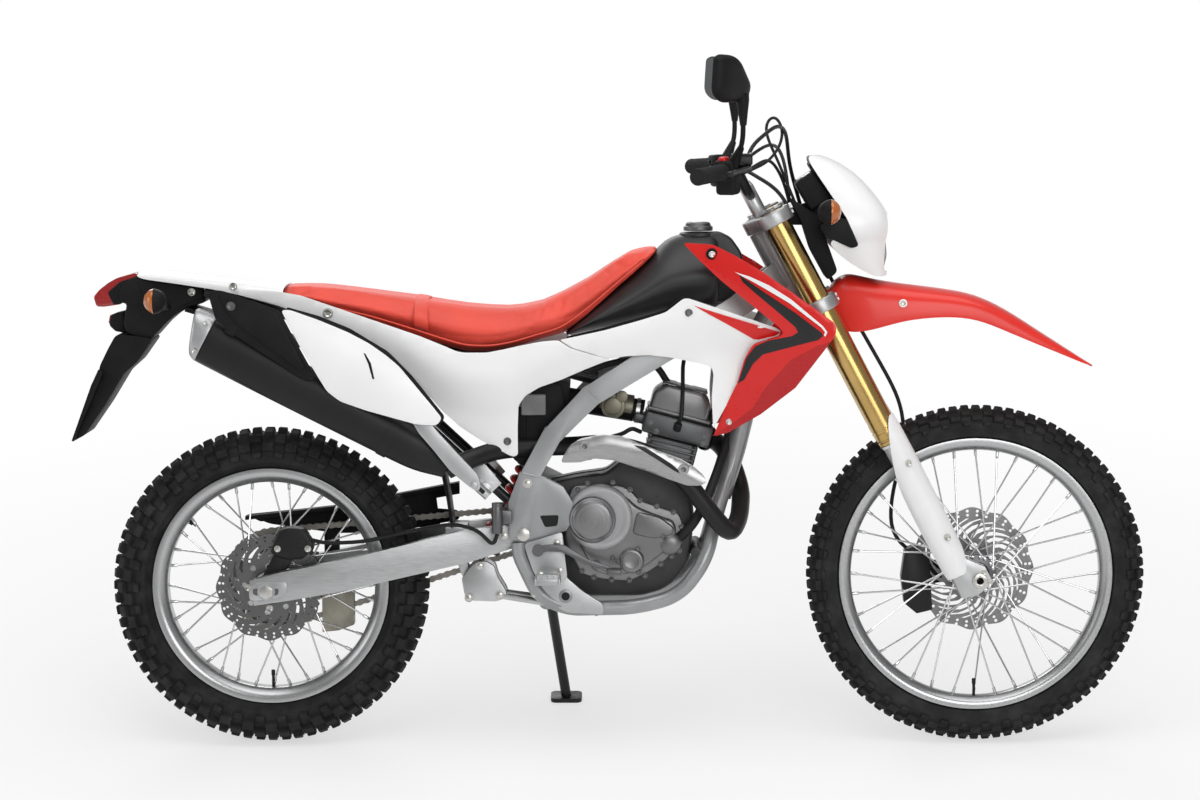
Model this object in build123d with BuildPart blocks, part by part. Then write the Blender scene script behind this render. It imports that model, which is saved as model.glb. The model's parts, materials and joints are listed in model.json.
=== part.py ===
"""Dual sport motorcycle, parked on its side stand.

Every piece is modelled on the upright machine: X forward from the rear axle, Y to the rider's left, Z up from
the ground. The last section leans the whole machine onto its side stand and writes each piece to its file.
Lengths are millimetres and angles are degrees.
"""

import os
from math import atan2, cos, degrees, radians, sin, tan

from build123d import *

# ---------------------------------------------------------------- driving dimensions
wheelbase = 1445.0
rake = 27.6  # steering axis from the vertical
trail = 113.0
lean = 10.0  # to the left, on the side stand

rear_wheel_radius = 325.0
rear_tyre_height = 82.0  # from the rim's edge to the tread
rear_tyre_width = 120.0
rear_rim_depth = 30.0
rear_rim_width = 66.0
front_wheel_radius = 346.0
front_tyre_height = 66.0
front_tyre_width = 80.0
front_rim_depth = 26.0
front_rim_width = 50.0
tyre_wall = 9.0
bead_depth = 10.0
flange_thickness = 4.0  # of a rim's edges and its well
spoke_radius = 2.2
spoke_groups = 9  # of four spokes, so 36 a wheel
spoke_sweep = 58.0  # how far round the hub a spoke's root leads its nipple

fit_gap = 0.05  # round a shaft or between parts bolted together
seat_gap = 0.3  # under a soft or loose part
turning_gap = 2.0  # beside a part that turns

axle_radius = 10.0
rear_disc_radius = 110.0
front_disc_radius = 128.0
disc_thickness = 4.0
rear_disc_y = -52.0
front_disc_y = 58.0
disc_seat_radius = 34.0
front_disc_seat_radius = 24.0

chain_y = 74.0
chain_half_width = 8.5
chain_half_height = 7.5
chain_plate = 3.4
rear_sprocket_pitch = 101.2
front_sprocket_pitch = 33.2
tooth_height = 4.5
sprocket_thickness = 6.0
front_sprocket_centre = (598.0, 446.0)
sprocket_shaft_radius = 12.0
guard_clearance = 24.0  # from the chain to its guard

arm_inner_y, arm_outer_y = 86.0, 112.0
pivot_centre = (522.0, 440.0)
pivot_bolt_radius = 9.0
pivot_tube_radius = 17.0
pivot_head_radius = 15.0
frame_inner_y, frame_outer_y = 86.0, 106.0  # pivot plates and lower spars
rail_radius = 15.0
down_tube_radius = 20.0
subframe_radius = 11.0
strut_radius = 10.0
cradle_y = 88.0
engine_half_width = 60.0
head_half_width = 62.0

fork_offset = 32.0
fork_tube_radius = 26.0
fork_tube_wall = 5.0
guard_clearance_round_leg = 2.5
guard_wall = 4.5
moving_gap = 5.0  # beside a turning piece
clamp_thickness = 28.0
clamp_wall = 11.0  # round each leg
lower_clamp_s, upper_clamp_s = 988.0, 1187.0  # undersides, up the steering axis
fork_top_s, fork_tube_foot_s = 1222.0, 690.0
slider_insertion = 90.0
headstock_radius = 29.0
stem_radius = 15.0

bar_radius = 11.0
grip_radius = 16.5
header_radius = 19.0
panel_wall = 3.0
hose_radius = 4.0
peg_length = 86.0
peg_bracket = 8.0
signal_radius = 27.0
signal_stalk_radius = 8.0

# ---------------------------------------------------------------- derived places
rear_rim_radius = rear_wheel_radius - rear_tyre_height
front_rim_radius = front_wheel_radius - front_tyre_height
slider_radius = fork_tube_radius - fork_tube_wall
guard_inner = fork_tube_radius + guard_clearance_round_leg
guard_radius = guard_inner + guard_wall
disc_face = disc_thickness / 2
fork_spacing = front_disc_y + disc_face + moving_gap + guard_radius  # to each leg's middle
clamp_reach = fork_tube_radius + clamp_wall
steering_foot_x = wheelbase + trail
axle_offset = front_wheel_radius * sin(radians(rake)) - trail * cos(radians(rake))
front_axle_s = (front_wheel_radius - axle_offset * sin(radians(rake))) / cos(radians(rake))
# Local X is ahead of the steering axis, local Y across, local Z up the axis.
steering_plane = Plane(
    origin=(steering_foot_x, 0, 0),
    x_dir=(cos(radians(rake)), 0, sin(radians(rake))),
    z_dir=(-sin(radians(rake)), 0, cos(radians(rake))),
)


def fork_point(ahead, across, up):
    """A point given ahead of, across and up the steering axis."""
    return tuple(steering_plane.from_local_coords(Vector(ahead, across, up)))


def leg_outline(points):
    """A side-view outline from points ahead of the steering axis and up it from the front axle."""
    return [fork_point(ahead, 0, front_axle_s + up)[::2] for ahead, up in points]


def front(*points):
    """Points of the front end, whose first number is measured from the front axle."""
    return [(wheelbase + first, *rest) for first, *rest in points]


# ---------------------------------------------------------------- shapes used by many pieces
def side_plane(y, x=0.0, z=0.0):
    """A side-view plane at y whose normal points to the machine's right."""
    return Plane(origin=(x, y, z), x_dir=(1, 0, 0), z_dir=(0, -1, 0))


def slab(outline, y_low, y_high, mode=Mode.ADD):
    """A side-view outline of (x, z) points, as thick as from y_low to y_high."""
    with BuildSketch(side_plane(y_high)) as side:
        with BuildLine():
            Polyline(*outline, close=True)
        make_face()
    return extrude(side.sketch, amount=y_high - y_low, mode=mode)


def disc(x, z, radius, y_low, y_high, mode=Mode.ADD):
    """A cylinder across the machine."""
    with BuildSketch(side_plane(y_high, x, z)) as side:
        Circle(radius)
    return extrude(side.sketch, amount=y_high - y_low, mode=mode)


def block(low, high, mode=Mode.ADD):
    """A box from its lowest to its highest corner."""
    with Locations(tuple((a + b) / 2 for a, b in zip(low, high))):
        return Box(*[b - a for a, b in zip(low, high)], mode=mode)


def rod(start, end, radius, mode=Mode.ADD):
    """A straight round bar between two points."""
    axis = Vector(*end) - Vector(*start)
    with BuildSketch(Plane(origin=start, z_dir=axis)) as section:
        Circle(radius)
    return extrude(section.sketch, amount=axis.length, mode=mode)


def tube(points, radius, mode=Mode.ADD):
    """A round bar along points; each corner's arc is as large as its two runs allow."""
    spots = [Vector(*point) for point in points]
    radii = []
    for before, corner, after in zip(spots, spots[1:], spots[2:]):
        turn = (corner - before).get_angle(after - corner)
        radii.append(0.45 * min((corner - before).length, (after - corner).length) / tan(radians(turn / 2)))
    with BuildLine() as route:
        FilletPolyline(*points, radius=radii)
    with BuildSketch(Plane(origin=points[0], z_dir=route.line % 0)) as section:
        Circle(radius)
    return sweep(section.sketch, path=route.line, mode=mode)


def beam(table, mode=Mode.ADD):
    """A ruled beam. Columns: x, y, z of the middle, width across, height, slope of the section."""
    with BuildPart(mode=Mode.PRIVATE) as shape:
        for x, y, z, width, height, slope in table:
            normal = (cos(radians(slope)), 0, sin(radians(slope)))
            with BuildSketch(Plane(origin=(x, y, z), x_dir=(0, 1, 0), z_dir=normal)):
                Rectangle(width, height)
        loft(ruled=True)
    return add(shape.part, mode=mode)


def hull(table, corner):
    """A ruled body. Columns: x, z low, z high, half width low, half width high. Corner rounds the top."""
    with BuildPart(mode=Mode.PRIVATE) as shape:
        for x, z_low, z_high, low, high in table:
            with BuildSketch(Plane(origin=(x, 0, 0), x_dir=(0, 1, 0), z_dir=(1, 0, 0))) as station:
                with BuildLine():
                    Polyline((-low, z_low), (low, z_low), (high, z_high), (-high, z_high), close=True)
                make_face()
                fillet(station.vertices().group_by(Axis.Y)[-1], min(corner, 0.45 * (z_high - z_low)))
        loft(ruled=True)
    return add(shape.part)


def trim_plan(plan):
    """Keeps what lies inside a plan-view outline of (x, y) points."""
    with BuildSketch(Plane.XY) as kept:
        with BuildLine():
            Polyline(*plan, close=True)
        make_face()
    extrude(kept.sketch, amount=3000, mode=Mode.INTERSECT)


def curved_panel(outline, plan, wall):
    """A left-hand panel: a side-view outline on a wall that follows (x, y) points of its inner face."""
    slab(outline, 0, 400)
    trim_plan(plan + [(x, y + wall) for x, y in reversed(plan)])


def trim_front(profile):
    """Keeps what lies inside a front-view outline of (y, z) points that is mirrored about the middle."""
    with BuildSketch(Plane.YZ) as kept:
        with BuildLine():
            Polyline(*profile, *[(-y, z) for y, z in reversed(profile)], close=True)
        make_face()
    extrude(kept.sketch, amount=3000, both=True, mode=Mode.INTERSECT)


def turned(outline, x, z, mode=Mode.ADD):
    """Turns a (y, radius) outline about the cross axis through (x, z)."""
    with BuildSketch(Plane(origin=(x, 0, z), x_dir=(0, 1, 0), z_dir=(1, 0, 0))) as section:
        with BuildLine():
            Polyline(*outline, close=True)
        make_face()
    return revolve(section.sketch, axis=Axis((x, 0, z), (0, 1, 0)), mode=mode)


def fork_cylinder(ahead, across, low, high, radius, mode=Mode.ADD):
    """A cylinder along the steering axis's direction."""
    with BuildSketch(steering_plane.offset(low)) as section:
        with Locations((ahead, across)):
            Circle(radius)
    return extrude(section.sketch, amount=high - low, mode=mode)


pieces = {}


def keep(builder, name):
    """Labels a finished piece and lists it under its name."""
    builder.part.label = name
    pieces[name] = builder.part


# ---------------------------------------------------------------- wheels
hub_bore = axle_radius + fit_gap
sprocket_face = sprocket_thickness / 2
flange_radius = {"rear": 58.0, "front": 42.0}
flange_y = {"rear": 30.0, "front": 32.0}
# (y, radius) outlines of the hubs.
hub_outline = {
    "rear": [
        (-58, hub_bore), (-58, disc_seat_radius), (rear_disc_y + disc_face, disc_seat_radius),
        (rear_disc_y + disc_face, 62), (-42, 62), (-39, 40), (-34, 40), (-34, 58), (-26, 58), (-24, 30),
        (24, 30), (26, 58), (34, 58), (38, 62), (chain_y - sprocket_face, 62),
        (chain_y - sprocket_face, 30), (80, 30), (80, hub_bore),
    ],
    "front": [
        (-60, hub_bore), (-60, 22), (-36, 26), (-36, 42), (-28, 42), (-26, 22), (26, 22), (28, 42), (36, 42),
        (38, 34), (front_disc_y - disc_face, 34), (front_disc_y - disc_face, front_disc_seat_radius),
        (64, front_disc_seat_radius), (64, hub_bore),
    ],
}
# Columns: end, axle x, tyre radius, tyre width, rim radius, rim depth, rim width.
wheel_table = [
    ("rear", 0.0, rear_wheel_radius, rear_tyre_width, rear_rim_radius, rear_rim_depth, rear_rim_width),
    ("front", wheelbase, front_wheel_radius, front_tyre_width, front_rim_radius, front_rim_depth, front_rim_width),
]

for end, axle_x, radius, width, rim_radius, rim_depth, rim_width in wheel_table:
    crown = width / 2  # the tread is round, so its radius is half the width
    shoulder = radius - crown
    bead_y = rim_width / 2 - flange_thickness - fit_gap
    bead_radius = rim_radius - bead_depth
    axle_line = Axis((axle_x, 0, radius), (0, 1, 0))
    section_plane = Plane(origin=(axle_x, 0, radius), x_dir=(0, 1, 0), z_dir=(1, 0, 0))
    with BuildPart() as tyre:
        with BuildSketch(section_plane):
            with BuildLine():
                ThreePointArc((-crown, shoulder), (0, radius), (crown, shoulder))
                Polyline(
                    (crown, shoulder), (bead_y, rim_radius + 1), (bead_y, bead_radius),
                    (bead_y - tyre_wall, bead_radius), (bead_y - tyre_wall, rim_radius + 3),
                    (crown - tyre_wall, shoulder),
                )
                ThreePointArc((crown - tyre_wall, shoulder), (0, radius - tyre_wall),
                              (tyre_wall - crown, shoulder))
                Polyline(
                    (tyre_wall - crown, shoulder), (tyre_wall - bead_y, rim_radius + 3),
                    (tyre_wall - bead_y, bead_radius), (-bead_y, bead_radius), (-bead_y, rim_radius + 1),
                    (-crown, shoulder),
                )
            make_face()
        revolve(axis=axle_line)
    keep(tyre, f"{end}_tyre")

    half, well, floor = rim_width / 2, rim_width / 2 - 12, rim_radius - rim_depth
    step_radius = bead_radius - 1.5
    with BuildPart() as laced_wheel:
        turned(hub_outline[end], axle_x, radius)
        rim_outline = [
            (-half, rim_radius), (-half, step_radius - 2), (-well, floor), (well, floor),
            (half, step_radius - 2), (half, rim_radius), (half - flange_thickness, rim_radius),
            (half - flange_thickness, step_radius), (well - 2, floor + flange_thickness),
            (2 - well, floor + flange_thickness), (flange_thickness - half, step_radius),
            (flange_thickness - half, rim_radius),
        ]
        turned(rim_outline, axle_x, radius)
        spokes = []
        for group in range(spoke_groups):
            for number, (side, lead) in enumerate([(1, 1), (-1, 1), (1, -1), (-1, -1)]):
                nipple = radians((group + number / 4) * 360 / spoke_groups)
                root = nipple + radians(lead * spoke_sweep)
                root_radius, nipple_radius = flange_radius[end] - 6, floor + 2
                start = Vector(root_radius * sin(root), side * flange_y[end], root_radius * cos(root))
                tip = Vector(nipple_radius * sin(nipple), side * 7, nipple_radius * cos(nipple))
                hub_centre = Vector(axle_x, 0, radius)
                spoke_line = Plane(origin=hub_centre + start, z_dir=tip - start)
                spokes.append(spoke_line * Solid.make_cylinder(spoke_radius, (tip - start).length))
        add(spokes)
    keep(laced_wheel, f"{end}_rim_and_hub")

# Columns: name, axle x, axle height, y, disc radius, seat radius, radius of the inner slots' outer ends.
for name, x, z, y, radius, seat, slot_reach in [
    ("rear_disc", 0.0, rear_wheel_radius, rear_disc_y, rear_disc_radius, disc_seat_radius, 66.0),
    ("front_disc", wheelbase, front_wheel_radius, front_disc_y, front_disc_radius, front_disc_seat_radius, 60.0),
]:
    with BuildPart() as brake_disc:
        disc(x, z, radius, y - disc_face, y + disc_face)
        disc(x, z, seat + fit_gap, y - disc_face, y + disc_face, Mode.SUBTRACT)
        with BuildSketch(side_plane(y + disc_face, x, z)):
            with PolarLocations((slot_reach + seat) / 2 + 8, 6):
                SlotOverall(26, 14, rotation=90)
        extrude(amount=disc_thickness, mode=Mode.SUBTRACT)
    keep(brake_disc, name)

with BuildPart() as rear_sprocket:
    low, high = chain_y - sprocket_face, chain_y + sprocket_face
    disc(0, rear_wheel_radius, rear_sprocket_pitch + tooth_height, low, high)
    disc(0, rear_wheel_radius, 30 + fit_gap, low, high, Mode.SUBTRACT)
    with BuildSketch(side_plane(high, 0, rear_wheel_radius)):
        with PolarLocations(78, 6):
            SlotOverall(46, 18, rotation=90)
    extrude(amount=sprocket_thickness, mode=Mode.SUBTRACT)
keep(rear_sprocket, "rear_sprocket")

# ---------------------------------------------------------------- frame
plate_outline = [
    (516, 568), (557, 560), (603, 537), (622, 505), (618, 464), (608, 448), (520, 422), (494, 433),
    (492, 506),
]
spar_middle_y = (frame_inner_y + frame_outer_y) / 2
spar_width = frame_outer_y - frame_inner_y
# Columns: x, y, z, width, height, slope.
spar_table = [
    (536, spar_middle_y, 560, spar_width, 38, 62), (580, spar_middle_y, 640, spar_width, 40, 56),
    (660, spar_middle_y, 722, spar_width, 44, 40), (770, spar_middle_y, 790, spar_width, 46, 34),
    *front((-490, 62, 898, 22, 46, 33), (-400, 30, 962, 22, 56, 33)),
]
shock_top = (574.0, 648.0)
shock_foot = (430.0, 366.0)
stem_bore = stem_radius + 0.4
headstock_low = lower_clamp_s + clamp_thickness + turning_gap
headstock_high = upper_clamp_s - turning_gap
with BuildPart() as main_frame:
    beam(spar_table)
    slab(plate_outline, frame_inner_y, frame_outer_y)
    mirror(about=Plane.XZ)
    disc(pivot_centre[0], pivot_centre[1], pivot_bolt_radius + fit_gap, -200, 200, Mode.SUBTRACT)
    rod((shock_top[0], -frame_inner_y, shock_top[1]), (shock_top[0], frame_inner_y, shock_top[1]), 11)
    fork_cylinder(0, 0, headstock_low, headstock_high, headstock_radius)
    fork_cylinder(0, 0, headstock_low, headstock_high, stem_bore, Mode.SUBTRACT)
keep(main_frame, "main_frame")

plate_rail_y = frame_inner_y + rail_radius  # the rails splay out to pass outside the chain
down_tube_route = [*front((-379, 0, 938), (-440, 0, 865)), (968, 0, 645), (925, 0, 505)]


def down_tube_x(height):
    """Where the down tube's long straight stretch is at a height."""
    (high_x, _, high_z), (low_x, _, low_z) = down_tube_route[1:3]
    return low_x + (high_x - low_x) * (height - low_z) / (high_z - low_z)


with BuildPart() as cradle:
    tube(down_tube_route, down_tube_radius)
    rail_route = [
        (936, 0, 540), (912, 50, 470), (892, cradle_y, 385), (838, cradle_y, 312), (748, cradle_y, 288),
        (610, cradle_y, 286), (552, plate_rail_y - 4, 314), (514, plate_rail_y, 396),
        (512, plate_rail_y, 424),
    ]
    tube(rail_route, rail_radius)
    tube([(x, -y, z) for x, y, z in rail_route], rail_radius)
    rod((620, -cradle_y, 286), (620, cradle_y, 286), rail_radius - 2)
    add(main_frame.part, mode=Mode.SUBTRACT)
    fork_cylinder(0, 0, headstock_low - 10, headstock_high, headstock_radius, Mode.SUBTRACT)
    disc(*pivot_centre, pivot_head_radius + fit_gap, frame_outer_y, frame_outer_y + 20, Mode.SUBTRACT)
    disc(*pivot_centre, pivot_head_radius + fit_gap, -frame_outer_y - 20, -frame_outer_y, Mode.SUBTRACT)

# The side stand turns about a slanted pin, so it points down, out and a little ahead when it is out, and lies
# back along the machine when it is folded.
stand_pivot = Vector(568, 127, 284)
stand_foot = Vector(600, 236, 46)
stand_folded = Vector(-0.975, 0.10, 0.20).normalized()
stand_down = (stand_foot - stand_pivot).normalized()
stand_axis = stand_down.cross(stand_folded).normalized()
stand_eye_radius, stand_eye_length = 15.0, 23.0
stand_pin_radius = 6.0
stand_leg_radius = 10.5
eye_half = stand_axis * (stand_eye_length / 2)
with BuildPart() as stand_bracket:
    bracket_face = stand_pivot - eye_half - stand_axis * 1.0
    rod(tuple(bracket_face), tuple(bracket_face - stand_axis * 26), 14)
    rod(tuple(bracket_face), tuple(stand_pivot + eye_half + stand_axis * 3), stand_pin_radius)
    cap_start = stand_pivot + eye_half + stand_axis * 1.0
    rod(tuple(cap_start), tuple(cap_start + stand_axis * 5), 10)
    slab([(545, 270), (585, 262), (612, 284), (600, 296), (556, 318), (540, 322)], 88, 104)
cradle_with_bracket = cradle.part + stand_bracket.part
cradle_with_bracket.label = "cradle"
pieces["cradle"] = cradle_with_bracket

rail_flat_z = 813.0 - seat_gap - subframe_radius  # the seat rests on this flat stretch
rail_rise = 0.283
rail_route = [
    (672, 82, 752), (490, 88, rail_flat_z), (345, 88, rail_flat_z),
    (-120, 76, rail_flat_z + 465 * rail_rise),
]
strut_foot, strut_head = (492, 90, 508), (190, 88, 790)
with BuildPart() as subframe_rails:
    tube(rail_route, subframe_radius)
    tube([(x, -y, z) for x, y, z in rail_route], subframe_radius)
    for x, z in [(300, 822), (-60, 917)]:
        rod((x, -84, z), (x, 84, z), 8)
    add(main_frame.part, mode=Mode.SUBTRACT)
keep(subframe_rails, "subframe_rails")
with BuildPart() as subframe_struts:
    for side in (1, -1):
        rod((strut_foot[0], side * strut_foot[1], strut_foot[2]), (150, side * 87, 826), strut_radius)
    add([main_frame.part, subframe_rails.part], mode=Mode.SUBTRACT)
    block((100, -110, 870), (600, 110, 1000), Mode.SUBTRACT)
keep(subframe_struts, "subframe_struts")

# ---------------------------------------------------------------- swingarm, axle and rear suspension
arm_width = arm_outer_y - arm_inner_y
arm_middle_y = (arm_inner_y + arm_outer_y) / 2
arm_front_y = 60.0
# Columns: x, y, z, width, height, slope.
arm_table = [
    (-30, arm_middle_y, rear_wheel_radius - 3, arm_width, 52, 10),
    (40, arm_middle_y, rear_wheel_radius + 11, arm_width, 60, 14),
    (150, arm_middle_y, rear_wheel_radius + 31, arm_width, 62, 14),
    (400, 73, 412, arm_width, 66, 12),
    (pivot_centre[0], arm_front_y, pivot_centre[1] - 2, 24, 44, 12),
]
with BuildPart() as swingarm:
    beam(arm_table)
    mirror(about=Plane.XZ)
    block((362, -66, 396), (404, 66, 448))
    disc(*pivot_centre, pivot_tube_radius, fit_gap - frame_inner_y, frame_inner_y - fit_gap)
    disc(pivot_centre[0], pivot_centre[1], pivot_bolt_radius + fit_gap, -200, 200, Mode.SUBTRACT)
    disc(0, rear_wheel_radius, axle_radius + fit_gap, -200, 200, Mode.SUBTRACT)
keep(swingarm, "swingarm")

rear_bracket_inner, rear_bracket_outer = -60.0, -67.0
axle_nut = 7.0
with BuildPart() as rear_axle:
    disc(0, rear_wheel_radius, axle_radius, -arm_outer_y - axle_nut, arm_outer_y + axle_nut)
    disc(0, rear_wheel_radius, 18, arm_outer_y, arm_outer_y + axle_nut)
    disc(0, rear_wheel_radius, 18, -arm_outer_y - axle_nut, -arm_outer_y)
    disc(0, rear_wheel_radius, 16, 80 + seat_gap, arm_inner_y)
    disc(0, rear_wheel_radius, 16, -arm_inner_y, rear_bracket_outer)
    disc(0, rear_wheel_radius, 14, rear_bracket_inner, -58 - seat_gap)
with BuildPart() as pivot_bolt:
    disc(*pivot_centre, pivot_bolt_radius, -frame_outer_y - 8, frame_outer_y + 8)
    disc(*pivot_centre, pivot_head_radius, frame_outer_y, frame_outer_y + 8)
    disc(*pivot_centre, pivot_head_radius, -frame_outer_y - 8, -frame_outer_y)
rear_axles = Compound(label="rear_axle_and_pivot_bolt", children=[rear_axle.part, pivot_bolt.part])
pieces["rear_axle_and_pivot_bolt"] = rear_axles

shock_top_point = (shock_top[0], 0, shock_top[1])
shock_foot_point = (shock_foot[0], 0, shock_foot[1])


def along_shock(share):
    """A point on the shock absorber's line, from its foot."""
    return tuple(a + (b - a) * share for a, b in zip(shock_foot_point, shock_top_point))


link_outline = [
    (392, 340), (404, 300), (470, 290), (598, 276), (600, 292), (500, 322), (462, 368), (420, 374),
]
with BuildPart() as rear_shock:
    rod(along_shock(0.0), along_shock(1.0), 9)
    rod(along_shock(0.10), along_shock(0.72), 28)
    rod(along_shock(0.72), along_shock(0.93), 22)
    disc(*shock_top, 17, -14, 14)
    add(main_frame.part, mode=Mode.SUBTRACT)
with BuildPart() as shock_linkage:
    for y_low, y_high in ((-34, -22), (22, 34)):
        slab(link_outline, y_low, y_high)
    disc(*shock_foot, 9, -34, 34)
    slab([(372, 396), (402, 396), (410, 336), (392, 340)], -20, 20)
    add([rear_shock.part, swingarm.part, cradle.part], mode=Mode.SUBTRACT)
keep(rear_shock, "rear_shock")
keep(shock_linkage, "shock_linkage")

# ---------------------------------------------------------------- engine
case_outline = [
    (556, 330), (600, 306), (760, 306), (826, 334), (862, 385), (868, 470), (846, 560), (812, 590),
    (752, 600), (690, 560), (575, 540), (556, 500),
]
head_outline = [
    (738, 655), (769, 687), (789, 733), (836, 741), (883, 723), (906, 697), (912, 634), (857, 566),
    (768, 592),
]
left_cover_centre, left_cover_radius = (745, 436), 72.0
clutch_centre, clutch_radius = (675, 475), 62.0
with BuildPart() as engine:
    slab(case_outline, -engine_half_width, engine_half_width)
    slab(head_outline, -head_half_width, head_half_width)
    disc(*front_sprocket_centre, sprocket_shaft_radius, engine_half_width, chain_y + 8)
    for x, z in [(560, 520), (872, 400)]:
        disc(x, z, 12, -cradle_y, cradle_y)
    add([main_frame.part, cradle_with_bracket, swingarm.part, rear_shock.part], mode=Mode.SUBTRACT)
keep(engine, "engine")

cover_outline = [
    (604, 420), (640, 350), (737, 340), (809, 382), (850, 433), (838, 480), (758, 506), (720, 540),
    (620, 540), (604, 500),
]
with BuildPart() as right_cover:
    slab(cover_outline, -100, -engine_half_width)
    disc(*clutch_centre, clutch_radius, -116, -100)
    block((590, -200, 300), (629, -80, 560), Mode.SUBTRACT)
with BuildPart() as left_cover:
    disc(*left_cover_centre, left_cover_radius, engine_half_width, 98)
    slab([(655, 400), (700, 395), (700, 480), (655, 490)], engine_half_width, 92)
pieces["engine_covers"] = Compound(label="engine_covers", children=[right_cover.part, left_cover.part])

front_sprocket_half = chain_half_width - chain_plate - seat_gap  # the chain's plates sit beside it
with BuildPart() as front_sprocket:
    low, high = chain_y - front_sprocket_half, chain_y + front_sprocket_half
    disc(*front_sprocket_centre, front_sprocket_pitch + tooth_height, low, high)
    disc(*front_sprocket_centre, sprocket_shaft_radius + fit_gap, low, high, Mode.SUBTRACT)
keep(front_sprocket, "front_sprocket")

with BuildPart() as intake:
    rod((610, 0, 706), (766, 0, 680), 24)
    slab([(330, 716), (520, 716), (560, 690), (612, 684), (616, 742), (560, 768), (330, 768)], -58, 58)
    add([main_frame.part, rear_shock.part, engine.part], mode=Mode.SUBTRACT)
keep(intake, "intake")

with BuildPart() as radiator:
    with BuildSketch(Plane(origin=(wheelbase - 483, 98, 690), x_dir=(cos(radians(9)), 0, -sin(radians(9))),
                           z_dir=(sin(radians(9)), 0, cos(radians(9))))):
        Rectangle(30, 82)
    extrude(amount=160)
    rod((down_tube_x(760), 10, 760), (wheelbase - 471, 60, 760), 8)
    add(cradle.part, mode=Mode.SUBTRACT)
keep(radiator, "radiator")

# ---------------------------------------------------------------- chain
axle_spot = Vector(0, rear_wheel_radius)
drive_spot = Vector(*front_sprocket_centre)
drive_line = drive_spot - axle_spot
lean_in = (rear_sprocket_pitch - front_sprocket_pitch) / drive_line.length
across_line = Vector(-drive_line.Y, drive_line.X).normalized() * (1 - lean_in**2) ** 0.5
run_normals = [drive_line.normalized() * lean_in + across_line * sign for sign in (1, -1)]
sprockets = ((axle_spot, rear_sprocket_pitch), (drive_spot, front_sprocket_pitch))


def belt(reach, mode):
    """Fills or cuts the outline round both sprockets, at a reach from the chain's pitch line."""
    for spot, pitch in sprockets:
        with Locations((spot.X, spot.Y)):
            Circle(pitch + reach, mode=mode)
    (top, bottom), (front_top, front_bottom) = [
        [spot + normal * (pitch + reach) for normal in run_normals] for spot, pitch in sprockets
    ]
    with BuildLine() as runs:
        Polyline(*[(v.X, v.Y) for v in (top, front_top, front_bottom, bottom)], close=True)
    make_face(runs.edges(), mode=mode)


def run_height(x, normal):
    """Height of a chain run's pitch line at x."""
    start, end = [spot + normal * pitch for spot, pitch in sprockets]
    return start.Y + (end.Y - start.Y) * (x - start.X) / (end.X - start.X)


with BuildPart() as chain:
    for y_high in (chain_y + chain_half_width, chain_y - chain_half_width + chain_plate):
        with BuildSketch(side_plane(y_high)):
            belt(chain_half_height, Mode.ADD)
            belt(-chain_half_height, Mode.SUBTRACT)
        extrude(amount=chain_plate)
    for normal in run_normals:
        start, end = [spot + normal * pitch for spot, pitch in sprockets]
        for share in (0.25, 0.45, 0.65, 0.85):
            pin = start + (end - start) * share
            disc(pin.X, pin.Y, 4, chain_y - chain_half_width, chain_y + chain_half_width)
keep(chain, "chain")

guard_y_low, guard_y_high = 90.0, 94.0
guard_y_inner = rear_tyre_width / 2 + moving_gap + 1
upper_run, lower_run = run_normals
# The guard stands over the upper run and opens towards the front.
guard_low = [
    (x, run_height(x, upper_run) + chain_half_height + guard_clearance + rise)
    for x, rise in ((-62, -4), (120, 0), (383, 27))
]
guard_top = [(x, z + 8) for x, z in guard_low]
with BuildPart() as chain_guard:
    slab(guard_top + guard_low[::-1], guard_y_inner, guard_y_high)
    slab([*guard_top, (383, 500), (120, guard_low[1][1] - 17), (-33, guard_low[0][1] - 6)], guard_y_low,
         guard_y_high)
    slab([(300, 505), (332, 511), (344, 420), (300, 410)], guard_y_low, guard_y_high)
    slab([(100, guard_low[1][1] - 9), (132, guard_low[1][1] - 3), (132, 370), (100, 365)], guard_y_low,
         guard_y_high)
    add(swingarm.part, mode=Mode.SUBTRACT)
guide_back, guide_front = 97, 163
back_run, front_run = [run_height(x, lower_run) for x in (guide_back, guide_front)]
with BuildPart() as chain_guide:
    slab([(guide_back, back_run + 50), (guide_front, front_run + 44), (guide_front, front_run - 41),
          (131, front_run - 53), (guide_back, back_run - 35)], 58, 92)
    slab([(90, back_run + 90), (170, front_run + 90), (170, front_run - 21), (131, front_run - 29),
          (90, back_run - 20)], 62, 87, Mode.SUBTRACT)
    slab([(guide_back, 330), (guide_front, 340), (guide_front, front_run + 26),
         (guide_back, back_run + 40)], 87, 92)
    add(swingarm.part, mode=Mode.SUBTRACT)
pieces["chain_guard"] = Compound(label="chain_guard", children=[chain_guard.part, chain_guide.part])

# ---------------------------------------------------------------- exhaust
header_route = [
    (878, 12, 632), (922, 44, 612), (950, 54, 566), (967, 28, 512), (961, -50, 466), (940, -112, 438),
    (890, -128, 500), (846, -130, 560), (770, -130, 612), (690, -124, 628), (622, -62, 616),
    (560, -60, 614), (470, -94, 612), (412, -138, 596), (372, -152, 578),
]
with BuildPart() as exhaust_header:
    tube(header_route, header_radius)
    add([engine.part, main_frame.part, cradle.part, right_cover.part], mode=Mode.SUBTRACT)
keep(exhaust_header, "exhaust_header")

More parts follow.
